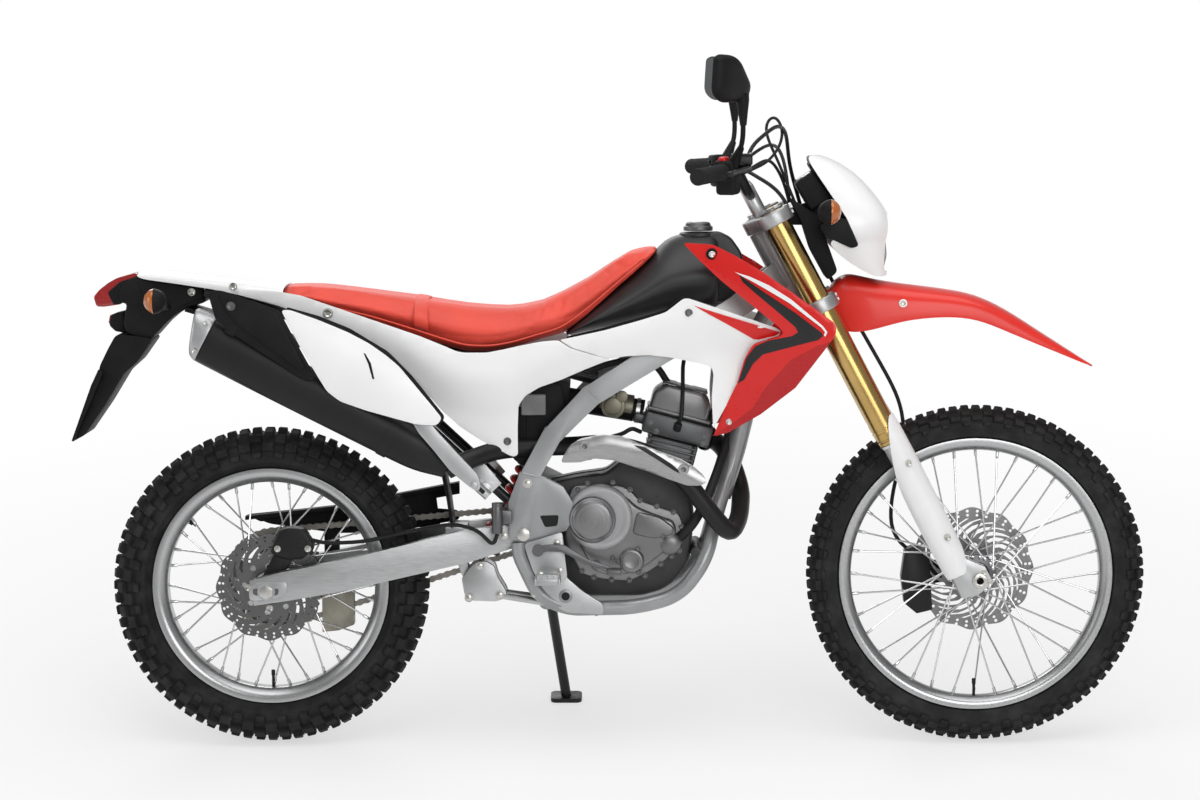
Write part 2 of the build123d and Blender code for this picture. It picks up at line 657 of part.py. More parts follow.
# Columns: x, y, z, width, height, slope.
muffler_table = [(374, -152, 580, 46, 46, -30), (300, -152, 626, 84, 84, -28),
    (-118, -152, 848, 96, 104, -28), (-136, -152, 857, 78, 84, -28)]
with BuildPart() as muffler:
    beam(muffler_table)
    add(exhaust_header.part, mode=Mode.SUBTRACT)
    rod((-160, -152, 870), (-120, -152, 849), 16, Mode.SUBTRACT)
    slab([(20, 838), (46, 838), (60, 800), (30, 790)], -112, -84)
    slab([(300, 700), (322, 700), (322, 650), (300, 650)], -112, -84)
    add([subframe_rails.part, subframe_struts.part], mode=Mode.SUBTRACT)
keep(muffler, "muffler")

shield_face = -204.0
with BuildPart() as muffler_cover:
    slab([(-100, 944), (-69, 943), (42, 904), (84, 825), (117, 767), (20, 790), (-88, 860)],
         shield_face - panel_wall, shield_face)
    slab([(-60, 880), (-40, 870), (-48, 850), (-68, 860)], shield_face, -196)
    add(muffler.part, mode=Mode.SUBTRACT)
with BuildPart() as heat_panel:
    slab([(44, 903), (62, 904), (179, 858), (254, 812), (300, 766), (365, 687), (350, 672), (314, 674),
         (213, 703), (162, 721), (134, 741), (119, 768), (86, 826)], shield_face - panel_wall,
         shield_face)
    slab([(200, 740), (220, 730), (212, 714), (192, 724)], shield_face, -192)
    add(muffler.part, mode=Mode.SUBTRACT)
with BuildPart() as header_shield:
    slab([(897, 543), (875, 574), (792, 632), (706, 652), (652, 648), (640, 618), (676, 606),
         (727, 603), (840, 546), (881, 520)], -156, -153)
    for x, z in [(690, 628), (846, 560)]:
        disc(x, z, 5, -153, -140)
    add(exhaust_header.part, mode=Mode.SUBTRACT)
pieces["exhaust_shields"] = Compound(
    label="exhaust_shields", children=[muffler_cover.part, heat_panel.part, header_shield.part]
)

# ---------------------------------------------------------------- seat, tank and bodywork
# Columns: x, z low, z high, half width low, half width high.
seat_table = [
    (57, 922, 938, 80, 76), (116, 907, 940, 96, 90), (209, 884, 929, 112, 104),
    (316, 847, 915, 122, 112), (406, 813, 900, 126, 114), (451, 813, 896, 126, 112),
    (519, 827, 897, 122, 106), (603, 843, 925, 112, 92), (655, 885, 953, 104, 80),
    (705, 930, 986, 96, 70), (768, 985, 1024, 88, 60), (799, 1020, 1028, 80, 56),
]
with BuildPart() as seat:
    hull(seat_table, 12)
keep(seat, "seat")

nose = [(x, z_low - seat_gap) for x, z_low, *_ in seat_table if x >= 603]
steering_sweep = 82.0  # kept clear behind the steering axis
sweep_height = (900.0, 1300.0)
nose_half_width = 30.0
with BuildPart() as fuel_tank:
    slab([*nose, (815, 1040), *front((-524, 1049), (-460, 1040), (-445, 930)), (860, 884), (780, 852),
         (612, 836)], -112, 112)
    trim_front([(112, 700), (114, 880), (106, 940), (84, 1010), (58, 1060)])
    slab([(640, 848), (860, 900), *front((-485, 940), (-515, 800)), (690, 792), (650, 800)], -52, 52)
    with BuildSketch(steering_plane.offset(sweep_height[0])):
        with Locations((200 - steering_sweep, 0)):
            Rectangle(400, 300)
    extrude(amount=sweep_height[1] - sweep_height[0], mode=Mode.SUBTRACT)
    # The nose reaches under the upper clamp, between the fork legs.
    slab(front((-560, 1047), (-524, 1049), (-500, 1036), (-480, 1008), (-474, 985), (-480, 930), (-560, 930)),
         -nose_half_width, nose_half_width)
    add([main_frame.part, cradle.part, intake.part, engine.part], mode=Mode.SUBTRACT)
keep(fuel_tank, "fuel_tank")

cap_x, cap_radius = 878.0, 31.0
with BuildPart() as fuel_cap:
    with BuildSketch(Plane.XY.offset(1040)):
        with Locations((cap_x, 0)):
            Circle(cap_radius)
    extrude(amount=28)
    add(fuel_tank.part, mode=Mode.SUBTRACT)
keep(fuel_cap, "fuel_cap")

panel_plan = [(-60, 114), (120, 126), (480, 130), (700, 133), (900, 142), (1060, 152)]
panel_outline = [
    (603, 838), (689, 857), (767, 879), (811, 893), (841, 917), (854, 921), (1000, 872), (1000, 829),
    (984, 829), (954, 744), (906, 653), (904, 771), (889, 786), (776, 806), (698, 797), (646, 776),
    (602, 748), (559, 738), (512, 700), (512, 602), (496, 600), (394, 660), (361, 691), (321, 736),
    (277, 788), (226, 827), (148, 864), (13, 914), (-50, 929), (-50, 941), (24, 938), (77, 929), (142, 905),
    (209, 882), (316, 845), (372, 822), (406, 811), (451, 811), (519, 825),
]
shroud_plan = [(835, 142), (905, 158), (1020, 182), (1160, 206)]
shroud_outline = [
    (845, 1031), (905, 1029), (948, 1007), (1151, 869), (1147, 851), (1129, 825), (1069, 743), (1000, 687),
    (935, 648), (906, 640), (953, 748), (984, 829), (1036, 846), (1040, 856), (920, 905), (866, 935),
]


def both_sides(name, outline, plan, wall, boss, seat_part):
    """A pair of panels, each with a boss (x, z, radius, y low, y high) on the part that carries it."""
    with BuildPart() as left:
        curved_panel(outline, plan, wall)
        disc(*boss)
        add(seat_part, mode=Mode.SUBTRACT)
    with BuildPart() as pair:
        add(left.part)
        mirror(about=Plane.XZ)
    keep(pair, name)


panel_boss = (430, rail_flat_z, 8, 88, 131)
shroud_boss = (878, 985, 9, 60, 152)
both_sides("side_panels", panel_outline, panel_plan, panel_wall, panel_boss, subframe_rails.part)
both_sides("shrouds", shroud_outline, shroud_plan, panel_wall, shroud_boss, fuel_tank.part)

tail_low = [(x, rail_flat_z + (345 - x) * rail_rise + subframe_radius * 1.04 + seat_gap) for x in (50, -119)]
with BuildPart() as tail_cover:
    slab([(-256, 972), (-246, 977), (-56, 958), (24, 948), (52, 942), *tail_low, (-250, 955)], -112, 112)
    trim_front([(110, 800), (112, 925), (96, 948), (70, 990)])
    with BuildSketch(Plane.XY) as plan:
        with BuildLine():
            Polyline((-262, -58), (-100, -92), (60, -108), (60, 108), (-100, 92), (-262, 58), close=True)
        make_face()
    extrude(plan.sketch, amount=2000, mode=Mode.INTERSECT)
keep(tail_cover, "tail_cover")

with BuildPart() as rear_fender:
    slab([(-290, 952), (-250, 954.5), (-119, 942), (-125, 908), (-162, 896), (-204, 866), (-231, 835),
         (-290, 850)], -58, 58)
    slab([(-160, 900), (0, 852), (170, 790), (320, 722), (316, 716), (168, 782), (0, 843), (-166, 892)],
         -62, 62)
    slab([(-296, 842), (-236, 838), (-290, 765), (-330, 700), (-372, 640), (-396, 626), (-352, 722),
         (-330, 800)], -72, 72)
    slab([(-300, 800), (-230, 830), (-300, 745), (-340, 680), (-390, 640), (-340, 720), (-320, 790)],
         -66, 66, Mode.SUBTRACT)
    add([subframe_rails.part, tail_cover.part], mode=Mode.SUBTRACT)
keep(rear_fender, "rear_fender")

with BuildPart() as tail_light:
    slab([(-352, 921), (-338, 936), (-303, 959), (-262, 970), (-262, 956), (-294, 952), (-294, 905),
         (-346, 900)], -52, 52)
    add([rear_fender.part, tail_cover.part], mode=Mode.SUBTRACT)
with BuildPart() as rear_signals:
    for side in (1, -1):
        rod((-200, side * 52, 898), (-212, side * 128, 915), signal_stalk_radius)
        rod((-212, side * 124, 914), (-215, side * 176, 923), signal_radius)
    add(rear_fender.part, mode=Mode.SUBTRACT)
pieces["rear_lights"] = Compound(label="rear_lights", children=[tail_light.part, rear_signals.part])

# ---------------------------------------------------------------- rear brake and foot controls
caliper_gap = disc_face + 1.5  # from a disc's middle to the caliper's slot
disc_slot_gap = 3.0  # round a disc's edge
# (x, z) from the rear axle.
caliper_outline = [(4, 73), (20, 125), (74, 127), (98, 87), (72, 61), (40, 59)]
bracket_outline = [(-18, -7), (-14, 23), (20, 85), (60, 75), (28, 27), (20, -13)]
with BuildPart() as rear_caliper:
    slab([(x, rear_wheel_radius + z) for x, z in caliper_outline], -78, -38)
    slab([(x, rear_wheel_radius + z) for x, z in bracket_outline], rear_bracket_outer, rear_bracket_inner)
    disc(0, rear_wheel_radius, 24, rear_bracket_outer, rear_bracket_inner)
    disc(0, rear_wheel_radius, rear_disc_radius + disc_slot_gap, rear_disc_y - caliper_gap,
         rear_disc_y + caliper_gap, Mode.SUBTRACT)
    disc(0, rear_wheel_radius, axle_radius + fit_gap, -90, -30, Mode.SUBTRACT)
keep(rear_caliper, "rear_caliper")

bracket_face_y = frame_outer_y + peg_bracket
peg_low, peg_high = (545, 345), (600, 363)
with BuildPart() as footpegs:
    for side in (1, -1):
        faces = sorted((side * frame_outer_y, side * bracket_face_y))
        slab([(521, 423), (603, 450), (606, 400), (612, 352), (600, 342), (552, 342), (538, 372)], *faces)
        ends = sorted((side * frame_outer_y, side * (bracket_face_y + peg_length)))
        block((peg_low[0], ends[0], peg_low[1]), (peg_high[0], ends[1], peg_high[1]))
        add(cradle_with_bracket, mode=Mode.SUBTRACT)
keep(footpegs, "footpegs")

with BuildPart() as passenger_pegs:
    for side in (1, -1):
        faces = sorted((side * 100, side * 106))
        slab([(452, 520), (478, 545), (440, 590), (410, 566)], *faces)
        faces = sorted((side * 84, side * 102))
        slab([(446, 540), (466, 560), (446, 578), (426, 558)], *faces)
        rod((452, side * 114, 520), (396, side * 116, 572), 10)
        faces = sorted((side * 104, side * 114))
        slab([(440, 522), (460, 540), (446, 550), (428, 534)], *faces)
    add([subframe_struts.part, exhaust_header.part], mode=Mode.SUBTRACT)
keep(passenger_pegs, "passenger_pegs")

with BuildPart() as brake_pedal:
    disc(552, 410, 12, -130, -bracket_face_y)
    slab([(545, 404), (548, 420), (606, 424), (650, 396), (706, 376), (706, 366), (646, 382),
         (600, 408)], -130, -122)
    block((690, -166, 364), (722, -122, 376))
with BuildPart() as rear_master_cylinder:
    rod((470, -124, 444), (470, -124, 508), 11)
    slab([(464, 462), (500, 462), (500, 492), (464, 492)], -118, -frame_outer_y)
with BuildPart() as shift_lever:
    disc(646, 344, 8, engine_half_width, 118)
    slab([(638, 336), (636, 352), (660, 356), (752, 374), (754, 362), (660, 340)], 110, 118)
    disc(748, 368, 8, 118, 156)
    add([engine.part, left_cover.part], mode=Mode.SUBTRACT)
pieces["foot_controls"] = Compound(
    label="foot_controls", children=[brake_pedal.part, rear_master_cylinder.part, shift_lever.part]
)

with BuildPart() as rear_brake_hose:
    tube([(470, -124, 444), (462, -128, 420), (430, -122, 452), (380, -98, 462), (300, -92, 448),
         (200, -90, 424), (120, -84, 420), (80, -72, 428)], hose_radius)
    add([rear_master_cylinder.part, rear_caliper.part, swingarm.part], mode=Mode.SUBTRACT)
keep(rear_brake_hose, "rear_brake_hose")

with BuildPart() as inner_fender:
    slab([(300, 662), (312, 640), (352, 566), (364, 505), (372, 448 + seat_gap), (376, 448 + seat_gap),
         (369, 507), (357, 569), (317, 643), (305, 665)], -56, 56)
    add(swingarm.part, mode=Mode.SUBTRACT)
keep(inner_fender, "inner_fender")

# ---------------------------------------------------------------- fork
with BuildPart() as triple_clamps:
    for low in (lower_clamp_s, upper_clamp_s):
        with BuildSketch(steering_plane.offset(low)) as plate:
            with BuildLine():
                Polyline((-24, -34), (8, -104), (58, -104), (52, -30), (52, 30), (58, 104), (8, 104),
                         (-24, 34), close=True)
            make_face()
            with Locations((fork_offset, fork_spacing), (fork_offset, -fork_spacing)):
                Circle(clamp_reach)
            Circle(32)
        extrude(plate.sketch, amount=clamp_thickness)
    fork_cylinder(0, 0, lower_clamp_s, upper_clamp_s + clamp_thickness + 8, stem_radius)
    for side in (1, -1):
        fork_cylinder(fork_offset, side * fork_spacing, 900, 1300, fork_tube_radius + fit_gap, Mode.SUBTRACT)
keep(triple_clamps, "triple_clamps")

with BuildPart() as fork_tubes:
    for side in (1, -1):
        fork_cylinder(fork_offset, side * fork_spacing, fork_tube_foot_s, fork_top_s, fork_tube_radius)
        fork_cylinder(fork_offset, side * fork_spacing, fork_tube_foot_s,
                      fork_tube_foot_s + slider_insertion, slider_radius + fit_gap, Mode.SUBTRACT)
keep(fork_tubes, "fork_tubes")

lug_inner, lug_outer = fork_spacing - slider_radius, fork_spacing + slider_radius
# (ahead of the steering axis, up from the axle) of the foot that holds the axle.
lug_outline = [
    (12, -16), (44, -24), (axle_offset + 22, -16), (axle_offset + 22, 20), (46, 64), (16, 64),
]
with BuildPart() as fork_sliders:
    for side in (1, -1):
        fork_cylinder(fork_offset, side * fork_spacing, front_axle_s - 16,
                      fork_tube_foot_s + slider_insertion - 1, slider_radius)
        faces = sorted((side * lug_inner, side * lug_outer))
        slab(leg_outline(lug_outline), *faces)
    disc(wheelbase, front_wheel_radius, axle_radius + fit_gap, -200, 200, Mode.SUBTRACT)
keep(fork_sliders, "fork_sliders")

with BuildPart() as front_axle:
    disc(wheelbase, front_wheel_radius, axle_radius, -lug_outer - 6, lug_outer + 6)
    disc(wheelbase, front_wheel_radius, 15, lug_outer, lug_outer + 6)
    disc(wheelbase, front_wheel_radius, 15, -lug_outer - 6, -lug_outer)
    disc(wheelbase, front_wheel_radius, 14, 64 + seat_gap, lug_inner)
    disc(wheelbase, front_wheel_radius, 14, -lug_inner, -60 - seat_gap)
    disc(wheelbase, front_wheel_radius, 7, -200, 200, Mode.SUBTRACT)
keep(front_axle, "front_axle")

guard_top_s = 745.0
with BuildPart() as fork_guards:
    for side in (1, -1):
        fork_cylinder(fork_offset, side * fork_spacing, front_axle_s + 40, guard_top_s, guard_radius)
        fork_cylinder(fork_offset, side * fork_spacing, front_axle_s + 66, 900, guard_inner, Mode.SUBTRACT)
        fork_cylinder(fork_offset, side * fork_spacing, front_axle_s, 900, slider_radius + fit_gap,
                      Mode.SUBTRACT)
    with BuildSketch(steering_plane.offset(front_axle_s)) as behind:
        with Locations((fork_offset - 60, 0)):
            Rectangle(100, 400)
    extrude(behind.sketch, amount=600, mode=Mode.SUBTRACT)
    add(fork_sliders.part, mode=Mode.SUBTRACT)
keep(fork_guards, "fork_guards")

front_caliper_outline = [(-44, 102), (-19, 98), (-9, 59), (-52, -36), (-84, -28), (-97, 3), (-78, 54)]
caliper_lug_outline = [(-26, 61), (28, 35), (11, -6), (-41, 12)]
with BuildPart() as front_caliper:
    slab(leg_outline(front_caliper_outline), 40, 80)
    slab(leg_outline(caliper_lug_outline), 74, 84)
    disc(wheelbase, front_wheel_radius, front_disc_radius + disc_slot_gap, front_disc_y - caliper_gap,
         front_disc_y + caliper_gap, Mode.SUBTRACT)
    add(fork_sliders.part, mode=Mode.SUBTRACT)
keep(front_caliper, "front_caliper")

# ---------------------------------------------------------------- handlebar and controls
bar_end_y, bar_bend_y, bar_middle_y = 405, 200, 60
half_bar = front((-575, bar_end_y, 1170), (-493, bar_bend_y, 1180), (-469, 118, 1130),
    (-462, bar_middle_y, 1124))
bar_route = [(x, -y, z) for x, y, z in half_bar] + half_bar[::-1]
bar_corners = [60, 50, 40, 40, 50, 60]
riser_top = upper_clamp_s + clamp_thickness
with BuildPart() as handlebar:
    with BuildLine() as route:
        FilletPolyline(*bar_route, radius=bar_corners)
    with BuildSketch(Plane(origin=bar_route[0], z_dir=route.line % 0)) as section:
        Circle(bar_radius)
    sweep(section.sketch, path=route.line)
    for side in (1, -1):
        rod(fork_point(11, side * 46, riser_top), fork_point(11, side * 46, riser_top + 66), 15)
keep(handlebar, "handlebar")


def bar_spot(y):
    """A point on the straight outer run of the handlebar."""
    (end_x, _, end_z), (bend_x, _, bend_z) = half_bar[:2]
    share = (bar_end_y - abs(y)) / (bar_end_y - bar_bend_y)
    return (end_x + (bend_x - end_x) * share, y, end_z + (bend_z - end_z) * share)


grip_end_y, grip_inner_y, switch_inner_y = 404, 278, 232
lever_perch = front((-501, 246, 1178), (-471, 250, 1184))
lever_route = front((-471, 250, 1184), (-477, 290, 1182), (-509, 390, 1176), (-511, 412, 1176))
reservoir = front((-505, -262, 1188), (-463, -218, 1212))
hands = []
for side in (1, -1):
    with BuildPart() as controls:
        rod(bar_spot(side * grip_end_y), bar_spot(side * grip_inner_y), grip_radius)
        rod(bar_spot(side * grip_inner_y), bar_spot(side * switch_inner_y), 23)
        rod(*[(x, side * y, z) for x, y, z in lever_perch], 9)
        tube([(x, side * y, z) for x, y, z in lever_route], 6)
        if side == -1:
            block(*reservoir)
        add(handlebar.part, mode=Mode.SUBTRACT)
    hands.append(controls.part)
pieces["hand_controls"] = Compound(label="hand_controls", children=hands)

mirror_stem = front((-505, 258, 1190), (-484, 300, 1232), (-485, 316, 1322))
mirror_neck = front((-484, 313, 1274), (-486, 317, 1326))
mirror_centre, mirror_depth = front((-514, 334, 1350))[0], 26
mirror_turn = radians(35)  # the glass faces back and in
# (outwards, up) from the glass's middle.
mirror_outline = [(-62, -5), (-50, -36), (28, -38), (60, -20), (60, 50), (44, 56), (-8, 54)]
with BuildPart() as mirrors:
    for side in (1, -1):
        tube([(x, side * y, z) for x, y, z in mirror_stem], 5)
        rod(*[(x, side * y, z) for x, y, z in mirror_neck], 10)
        glass_plane = Plane(
            origin=(mirror_centre[0], side * mirror_centre[1], mirror_centre[2]),
            x_dir=(-sin(mirror_turn), side * cos(mirror_turn), 0),
            z_dir=(cos(mirror_turn), side * sin(mirror_turn), -0.08),
        )
        with BuildSketch(glass_plane) as face:
            with BuildLine():
                Polyline(*[(out, side * up) for out, up in mirror_outline], close=True)
            make_face()
            fillet(face.vertices(), 12)
        extrude(face.sketch, amount=mirror_depth)
    add(hands, mode=Mode.SUBTRACT)
keep(mirrors, "mirrors")

# ---------------------------------------------------------------- front fender, cowl and lights
fender_outline = front(
    (-315, 872), (-293, 952), (-266, 967), (-181, 946), (-5, 921), (56, 892), (233, 776), (205, 785),
    (70, 839), (9, 872), (-65, 879), (-139, 874), (-255, 836),
)
fender_hollow = front(
    (-325, 820), (-305, 905), (-280, 950), (-265, 960), (-181, 940), (-7, 915), (52, 886), (195, 792),
    (195, 700), (-245, 700),
)
half_fender_plan = front((-345, 64), (-240, 64), (-205, 80), (-5, 80), (255, 44))
fender_mount = front((-333, 880), (-295, 840), (-260, 880), (-260, 960), (-280, 955), (-305, 900))
behind_fender = front((-365, 1000), (-325, 1000), (-315, 935), (-345, 880), (-365, 900))
with BuildPart() as front_fender:
    slab(fender_outline, -82, 82)
    slab(fender_hollow, -78, 78, Mode.SUBTRACT)
    trim_plan(half_fender_plan + [(x, -y) for x, y in reversed(half_fender_plan)])
    slab(fender_mount, -30, 30)
    add([triple_clamps.part, fork_tubes.part], mode=Mode.SUBTRACT)
    slab(behind_fender, -100, 100, Mode.SUBTRACT)
keep(front_fender, "front_fender")

cowl_outline = front(
    (-348, 1198), (-317, 1203), (-278, 1188), (-236, 1159), (-201, 1117), (-178, 1086), (-173, 1039),
    (-183, 956), (-199, 958), (-255, 985), (-295, 1030), (-317, 1090), (-333, 1150),
)
cowl_hollow = front(
    (-385, 1215), (-349, 1194), (-317, 1198), (-281, 1183), (-241, 1155), (-206, 1114), (-183, 1085),
    (-178, 1039), (-188, 964), (-205, 940), (-345, 940),
)
cowl_rib = front((-265, 1010), (-255, 1100), (-229, 1100), (-229, 985))
cowl_profile = [(40, 940), (74, 960), (106, 1030), (110, 1090), (84, 1150), (52, 1215)]
lamp_outline = front(
    (-285, 1048), (-277, 1110), (-239, 1118), (-205, 1082), (-182, 1036), (-190, 968), (-239, 992),
)
lamp_profile = [(58, 940), (66, 1000), (70, 1060), (56, 1130)]
with BuildPart() as headlight:
    slab(lamp_outline, -70, 70)
    trim_front(lamp_profile)
with BuildPart() as headlight_cowl:
    slab(cowl_outline, -120, 120)
    trim_front(cowl_profile)
    slab(cowl_hollow, -103, 103, Mode.SUBTRACT)
    slab(cowl_rib, -109, -60)
    slab(cowl_rib, 60, 109)
    trim_front(cowl_profile)
    add(headlight.part, mode=Mode.SUBTRACT)
keep(headlight_cowl, "headlight_cowl")

meter_outline = front((-335, 1174), (-295, 1118), (-341, 1090), (-374, 1147))
meter_bracket = front(
    (-403, 1063), (-392, 1090), (-349, 1108), (-285, 1104), (-265, 1090), (-265, 1050), (-335, 1060),
)
with BuildPart() as instrument_panel:
    slab(meter_outline, -56, 56)
    slab(meter_bracket, -16, 16)
    add([triple_clamps.part, headlight.part, headlight_cowl.part], mode=Mode.SUBTRACT)
keep(instrument_panel, "instrument_panel")

signal_stalk = front((-305, 100, 1092), (-307, 172, 1094))
signal_lamp = front((-307, 168, 1094), (-309, 224, 1095))
with BuildPart() as front_signals:
    for side in (1, -1):
        rod(*[(x, side * y, z) for x, y, z in signal_stalk], signal_stalk_radius)
        rod(*[(x, side * y, z) for x, y, z in signal_lamp], signal_radius)
    add([headlight_cowl.part, instrument_panel.part, headlight.part], mode=Mode.SUBTRACT)
pieces["front_lights"] = Compound(label="front_lights", children=[headlight.part, front_signals.part])

front_hose_route = front(
    (-473, -240, 1204), (-441, -196, 1246), (-409, -130, 1270), (-387, -40, 1250), (-383, 40, 1190),
    (-361, 86, 1120), (-341, 92, 1048), (-311, 94, 980), (-277, 95, 922), (-233, 96, 848), (-185, 97, 764),
    (-143, 92, 688), (-139, 62, 610), (-157, 57, 540), (-173, 57, 462), (-163, 64, 410), (-133, 70, 386),
)
with BuildPart() as front_brake_hose:
    tube(front_hose_route, hose_radius)
    add([front_caliper.part, *hands, headlight_cowl.part], mode=Mode.SUBTRACT)
keep(front_brake_hose, "front_brake_hose")

# ---------------------------------------------------------------- side stand and parking
def wheel_height(radius, width):
    """Height of a leaning wheel's axle over the ground, on its round tread."""
    return (radius - width / 2) * cos(radians(lean)) + width / 2


rear_rise = wheel_height(rear_wheel_radius, rear_tyre_width) - rear_wheel_radius * cos(radians(lean))
front_rise = wheel_height(front_wheel_radius, front_tyre_width) - front_wheel_radius * cos(radians(lean))
pitch = degrees(atan2(rear_rise - front_rise, wheelbase))
leaning = Location((0, 0, rear_rise), (0, pitch, 0)) * Location((0, 0, 0), (-lean, 0, 0))
ground = leaning.inverse() * Plane.XY  # the ground as the upright machine sees it

foot_thickness = 9.0
with BuildPart() as side_stand:
    rod(tuple(stand_pivot - eye_half), tuple(stand_pivot + eye_half), stand_eye_radius)
    under_foot = ground.to_local_coords(stand_foot)
    foot_middle = ground.from_local_coords(Vector(under_foot.X, under_foot.Y, 0))
    with BuildSketch(Plane(origin=foot_middle, x_dir=(1, 0, 0), z_dir=ground.z_dir)) as foot:
        RectangleRounded(66, 50, 12)
    extrude(foot.sketch, amount=foot_thickness)
    rod(tuple(stand_pivot), tuple(foot_middle + ground.z_dir * foot_thickness * 0.6), stand_leg_radius)
    rod(tuple(stand_pivot - eye_half * 2), tuple(stand_pivot + eye_half * 2), stand_pin_radius + 0.2,
        Mode.SUBTRACT)
keep(side_stand, "side_stand")

# The origin ends up on the ground under the middle of the leaning machine's box.
leaned = {name: leaning * piece for name, piece in pieces.items()}
boxes = [piece.bounding_box() for piece in leaned.values()]
middle_x = (min(box.min.X for box in boxes) + max(box.max.X for box in boxes)) / 2
middle_y = (min(box.min.Y for box in boxes) + max(box.max.Y for box in boxes)) / 2
to_middle = Location((-middle_x, -middle_y, 0))
os.makedirs("parts", exist_ok=True)
for name, piece in leaned.items():
    parked = to_middle * piece
    parked.label = name
    export_step(parked, f"parts/{name}.step")
print("moved by", -middle_x, -middle_y)
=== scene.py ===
import json
from contextlib import contextmanager
from math import asin, atan2, copysign, cos, pi, radians, sin, sqrt

import bpy
from mathutils import Matrix, Vector


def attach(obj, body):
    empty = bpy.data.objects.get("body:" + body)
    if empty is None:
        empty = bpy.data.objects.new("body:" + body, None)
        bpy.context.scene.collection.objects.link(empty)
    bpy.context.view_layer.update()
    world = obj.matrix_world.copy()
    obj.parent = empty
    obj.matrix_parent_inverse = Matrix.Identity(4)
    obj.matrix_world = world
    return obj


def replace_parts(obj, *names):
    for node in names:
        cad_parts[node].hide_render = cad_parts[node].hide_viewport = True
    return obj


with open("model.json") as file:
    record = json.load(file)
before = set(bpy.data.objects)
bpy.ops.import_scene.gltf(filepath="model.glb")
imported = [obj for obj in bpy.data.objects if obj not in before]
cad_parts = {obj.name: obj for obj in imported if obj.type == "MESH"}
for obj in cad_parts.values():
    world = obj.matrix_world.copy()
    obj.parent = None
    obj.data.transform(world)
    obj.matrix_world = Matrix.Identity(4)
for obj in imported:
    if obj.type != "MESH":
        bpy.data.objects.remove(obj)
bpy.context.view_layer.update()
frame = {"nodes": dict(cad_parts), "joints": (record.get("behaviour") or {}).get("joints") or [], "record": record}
print("frame loaded")

# Pieces are modelled on the upright machine, in millimetres: X ahead of the rear axle, Y to the rider's
# left, Z up from the ground. parked leans them onto the side stand, where the frame's own axles are.
machine = {"rearAxle": (0, 0, 325), "frontAxle": (1445, 0, 346), "rake": 27.6, "trail": 113,
    "clutchAxle": (662, 0, 470), "leftCoverAxle": (745, 0, 436)}
mm = 0.001


def parkedMatrix():
    joints = {joint["name"]: joint for joint in frame["joints"]}
    rear = Vector(joints["rear_wheel_spin"]["pos_m"])
    front = Vector(joints["front_wheel_spin"]["pos_m"])
    left = Vector(joints["rear_wheel_spin"]["axis"]).normalized()
    rise = atan2(machine["frontAxle"][2] - machine["rearAxle"][2], machine["frontAxle"][0])
    along = (front - rear).normalized()
    over = along.cross(left)
    ahead = along * cos(rise) - over * sin(rise)
    up = along * sin(rise) + over * cos(rise)
    turn = Matrix((ahead, left, up)).transposed().to_4x4()
    return Matrix.Translation(rear - turn @ Vector((0, 0, machine["rearAxle"][2] * mm))) @ turn


parked = parkedMatrix()
tilt = radians(machine["rake"])
forkAhead = Vector((cos(tilt), 0, sin(tilt)))
forkUp = Vector((-sin(tilt), 0, cos(tilt)))


def forkPoint(ahead, across, up):
    # ahead of, across and up the steering axis, from where it meets the ground
    foot = Vector((machine["frontAxle"][0] + machine["trail"], 0, 0))
    return foot + forkAhead * ahead + forkUp * up + Vector((0, across, 0))


def metres(point):
    return Vector(point) * mm


def moved(spot):
    return Matrix.Translation(metres(spot))


# Everyday helpers: each leaves its new piece active and selected.
def nameIt(name):
    piece = bpy.context.active_object
    piece.name = name
    return piece


def pick(*pieces):
    bpy.ops.object.select_all(action="DESELECT")
    for piece in pieces:
        piece.select_set(True)
    bpy.context.view_layer.objects.active = pieces[0]


@contextmanager
def editing(piece, mode="VERT"):
    pick(piece)
    bpy.ops.object.mode_set(mode="EDIT")
    bpy.ops.mesh.select_mode(type=mode)
    bpy.ops.mesh.select_all(action="SELECT")
    yield
    bpy.ops.object.mode_set(mode="OBJECT")


def selectTop(piece):
    # selects the faces that look straight up
    bpy.ops.mesh.select_all(action="DESELECT")
    bpy.ops.object.mode_set(mode="OBJECT")
    for face in piece.data.polygons:
        face.select = face.normal.z > 0.9
    bpy.ops.object.mode_set(mode="EDIT")


def modify(piece, kind, **settings):
    pick(piece)
    modifier = piece.modifiers.new(kind.lower(), kind)
    for key, value in settings.items():
        setattr(modifier, key, value)
    bpy.ops.object.modifier_apply(modifier=modifier.name)
    return piece


def soften(piece, width, segments=2, angle=35):
    modify(piece, "BEVEL", width=width * mm, segments=segments, limit_method="ANGLE",
        angle_limit=radians(angle), harden_normals=False)
    return smooth(piece, angle)


def smooth(piece, angle=35):
    pick(piece)
    bpy.ops.object.shade_smooth_by_angle(angle=radians(angle))
    return piece


def mend(piece, distance=0.02):
    with editing(piece):
        bpy.ops.mesh.remove_doubles(threshold=distance * mm)
        bpy.ops.mesh.normals_make_consistent(inside=False)
    return piece


def join(name, pieces):
    pick(*pieces)
    if len(pieces) > 1:
        bpy.ops.object.join()
    return nameIt(name)


def copyOf(piece):
    pick(piece)
    bpy.ops.object.duplicate()
    return bpy.context.active_object


def settle(piece):
    pick(piece)
    bpy.ops.object.transform_apply(location=True, rotation=True, scale=True)
    return piece


def place(piece, matrix):
    piece.data.transform(matrix)
    return piece


def fillOut(piece):
    # turns all faces outwards
    with editing(piece):
        bpy.ops.mesh.normals_make_consistent(inside=False)
    return piece


def turnOver(piece, out):
    # flips an open sheet whose faces mostly look the wrong way; out says how far a face looks outwards
    if sum(map(out, piece.data.polygons)) < 0:
        with editing(piece):
            bpy.ops.mesh.flip_normals()
    return piece


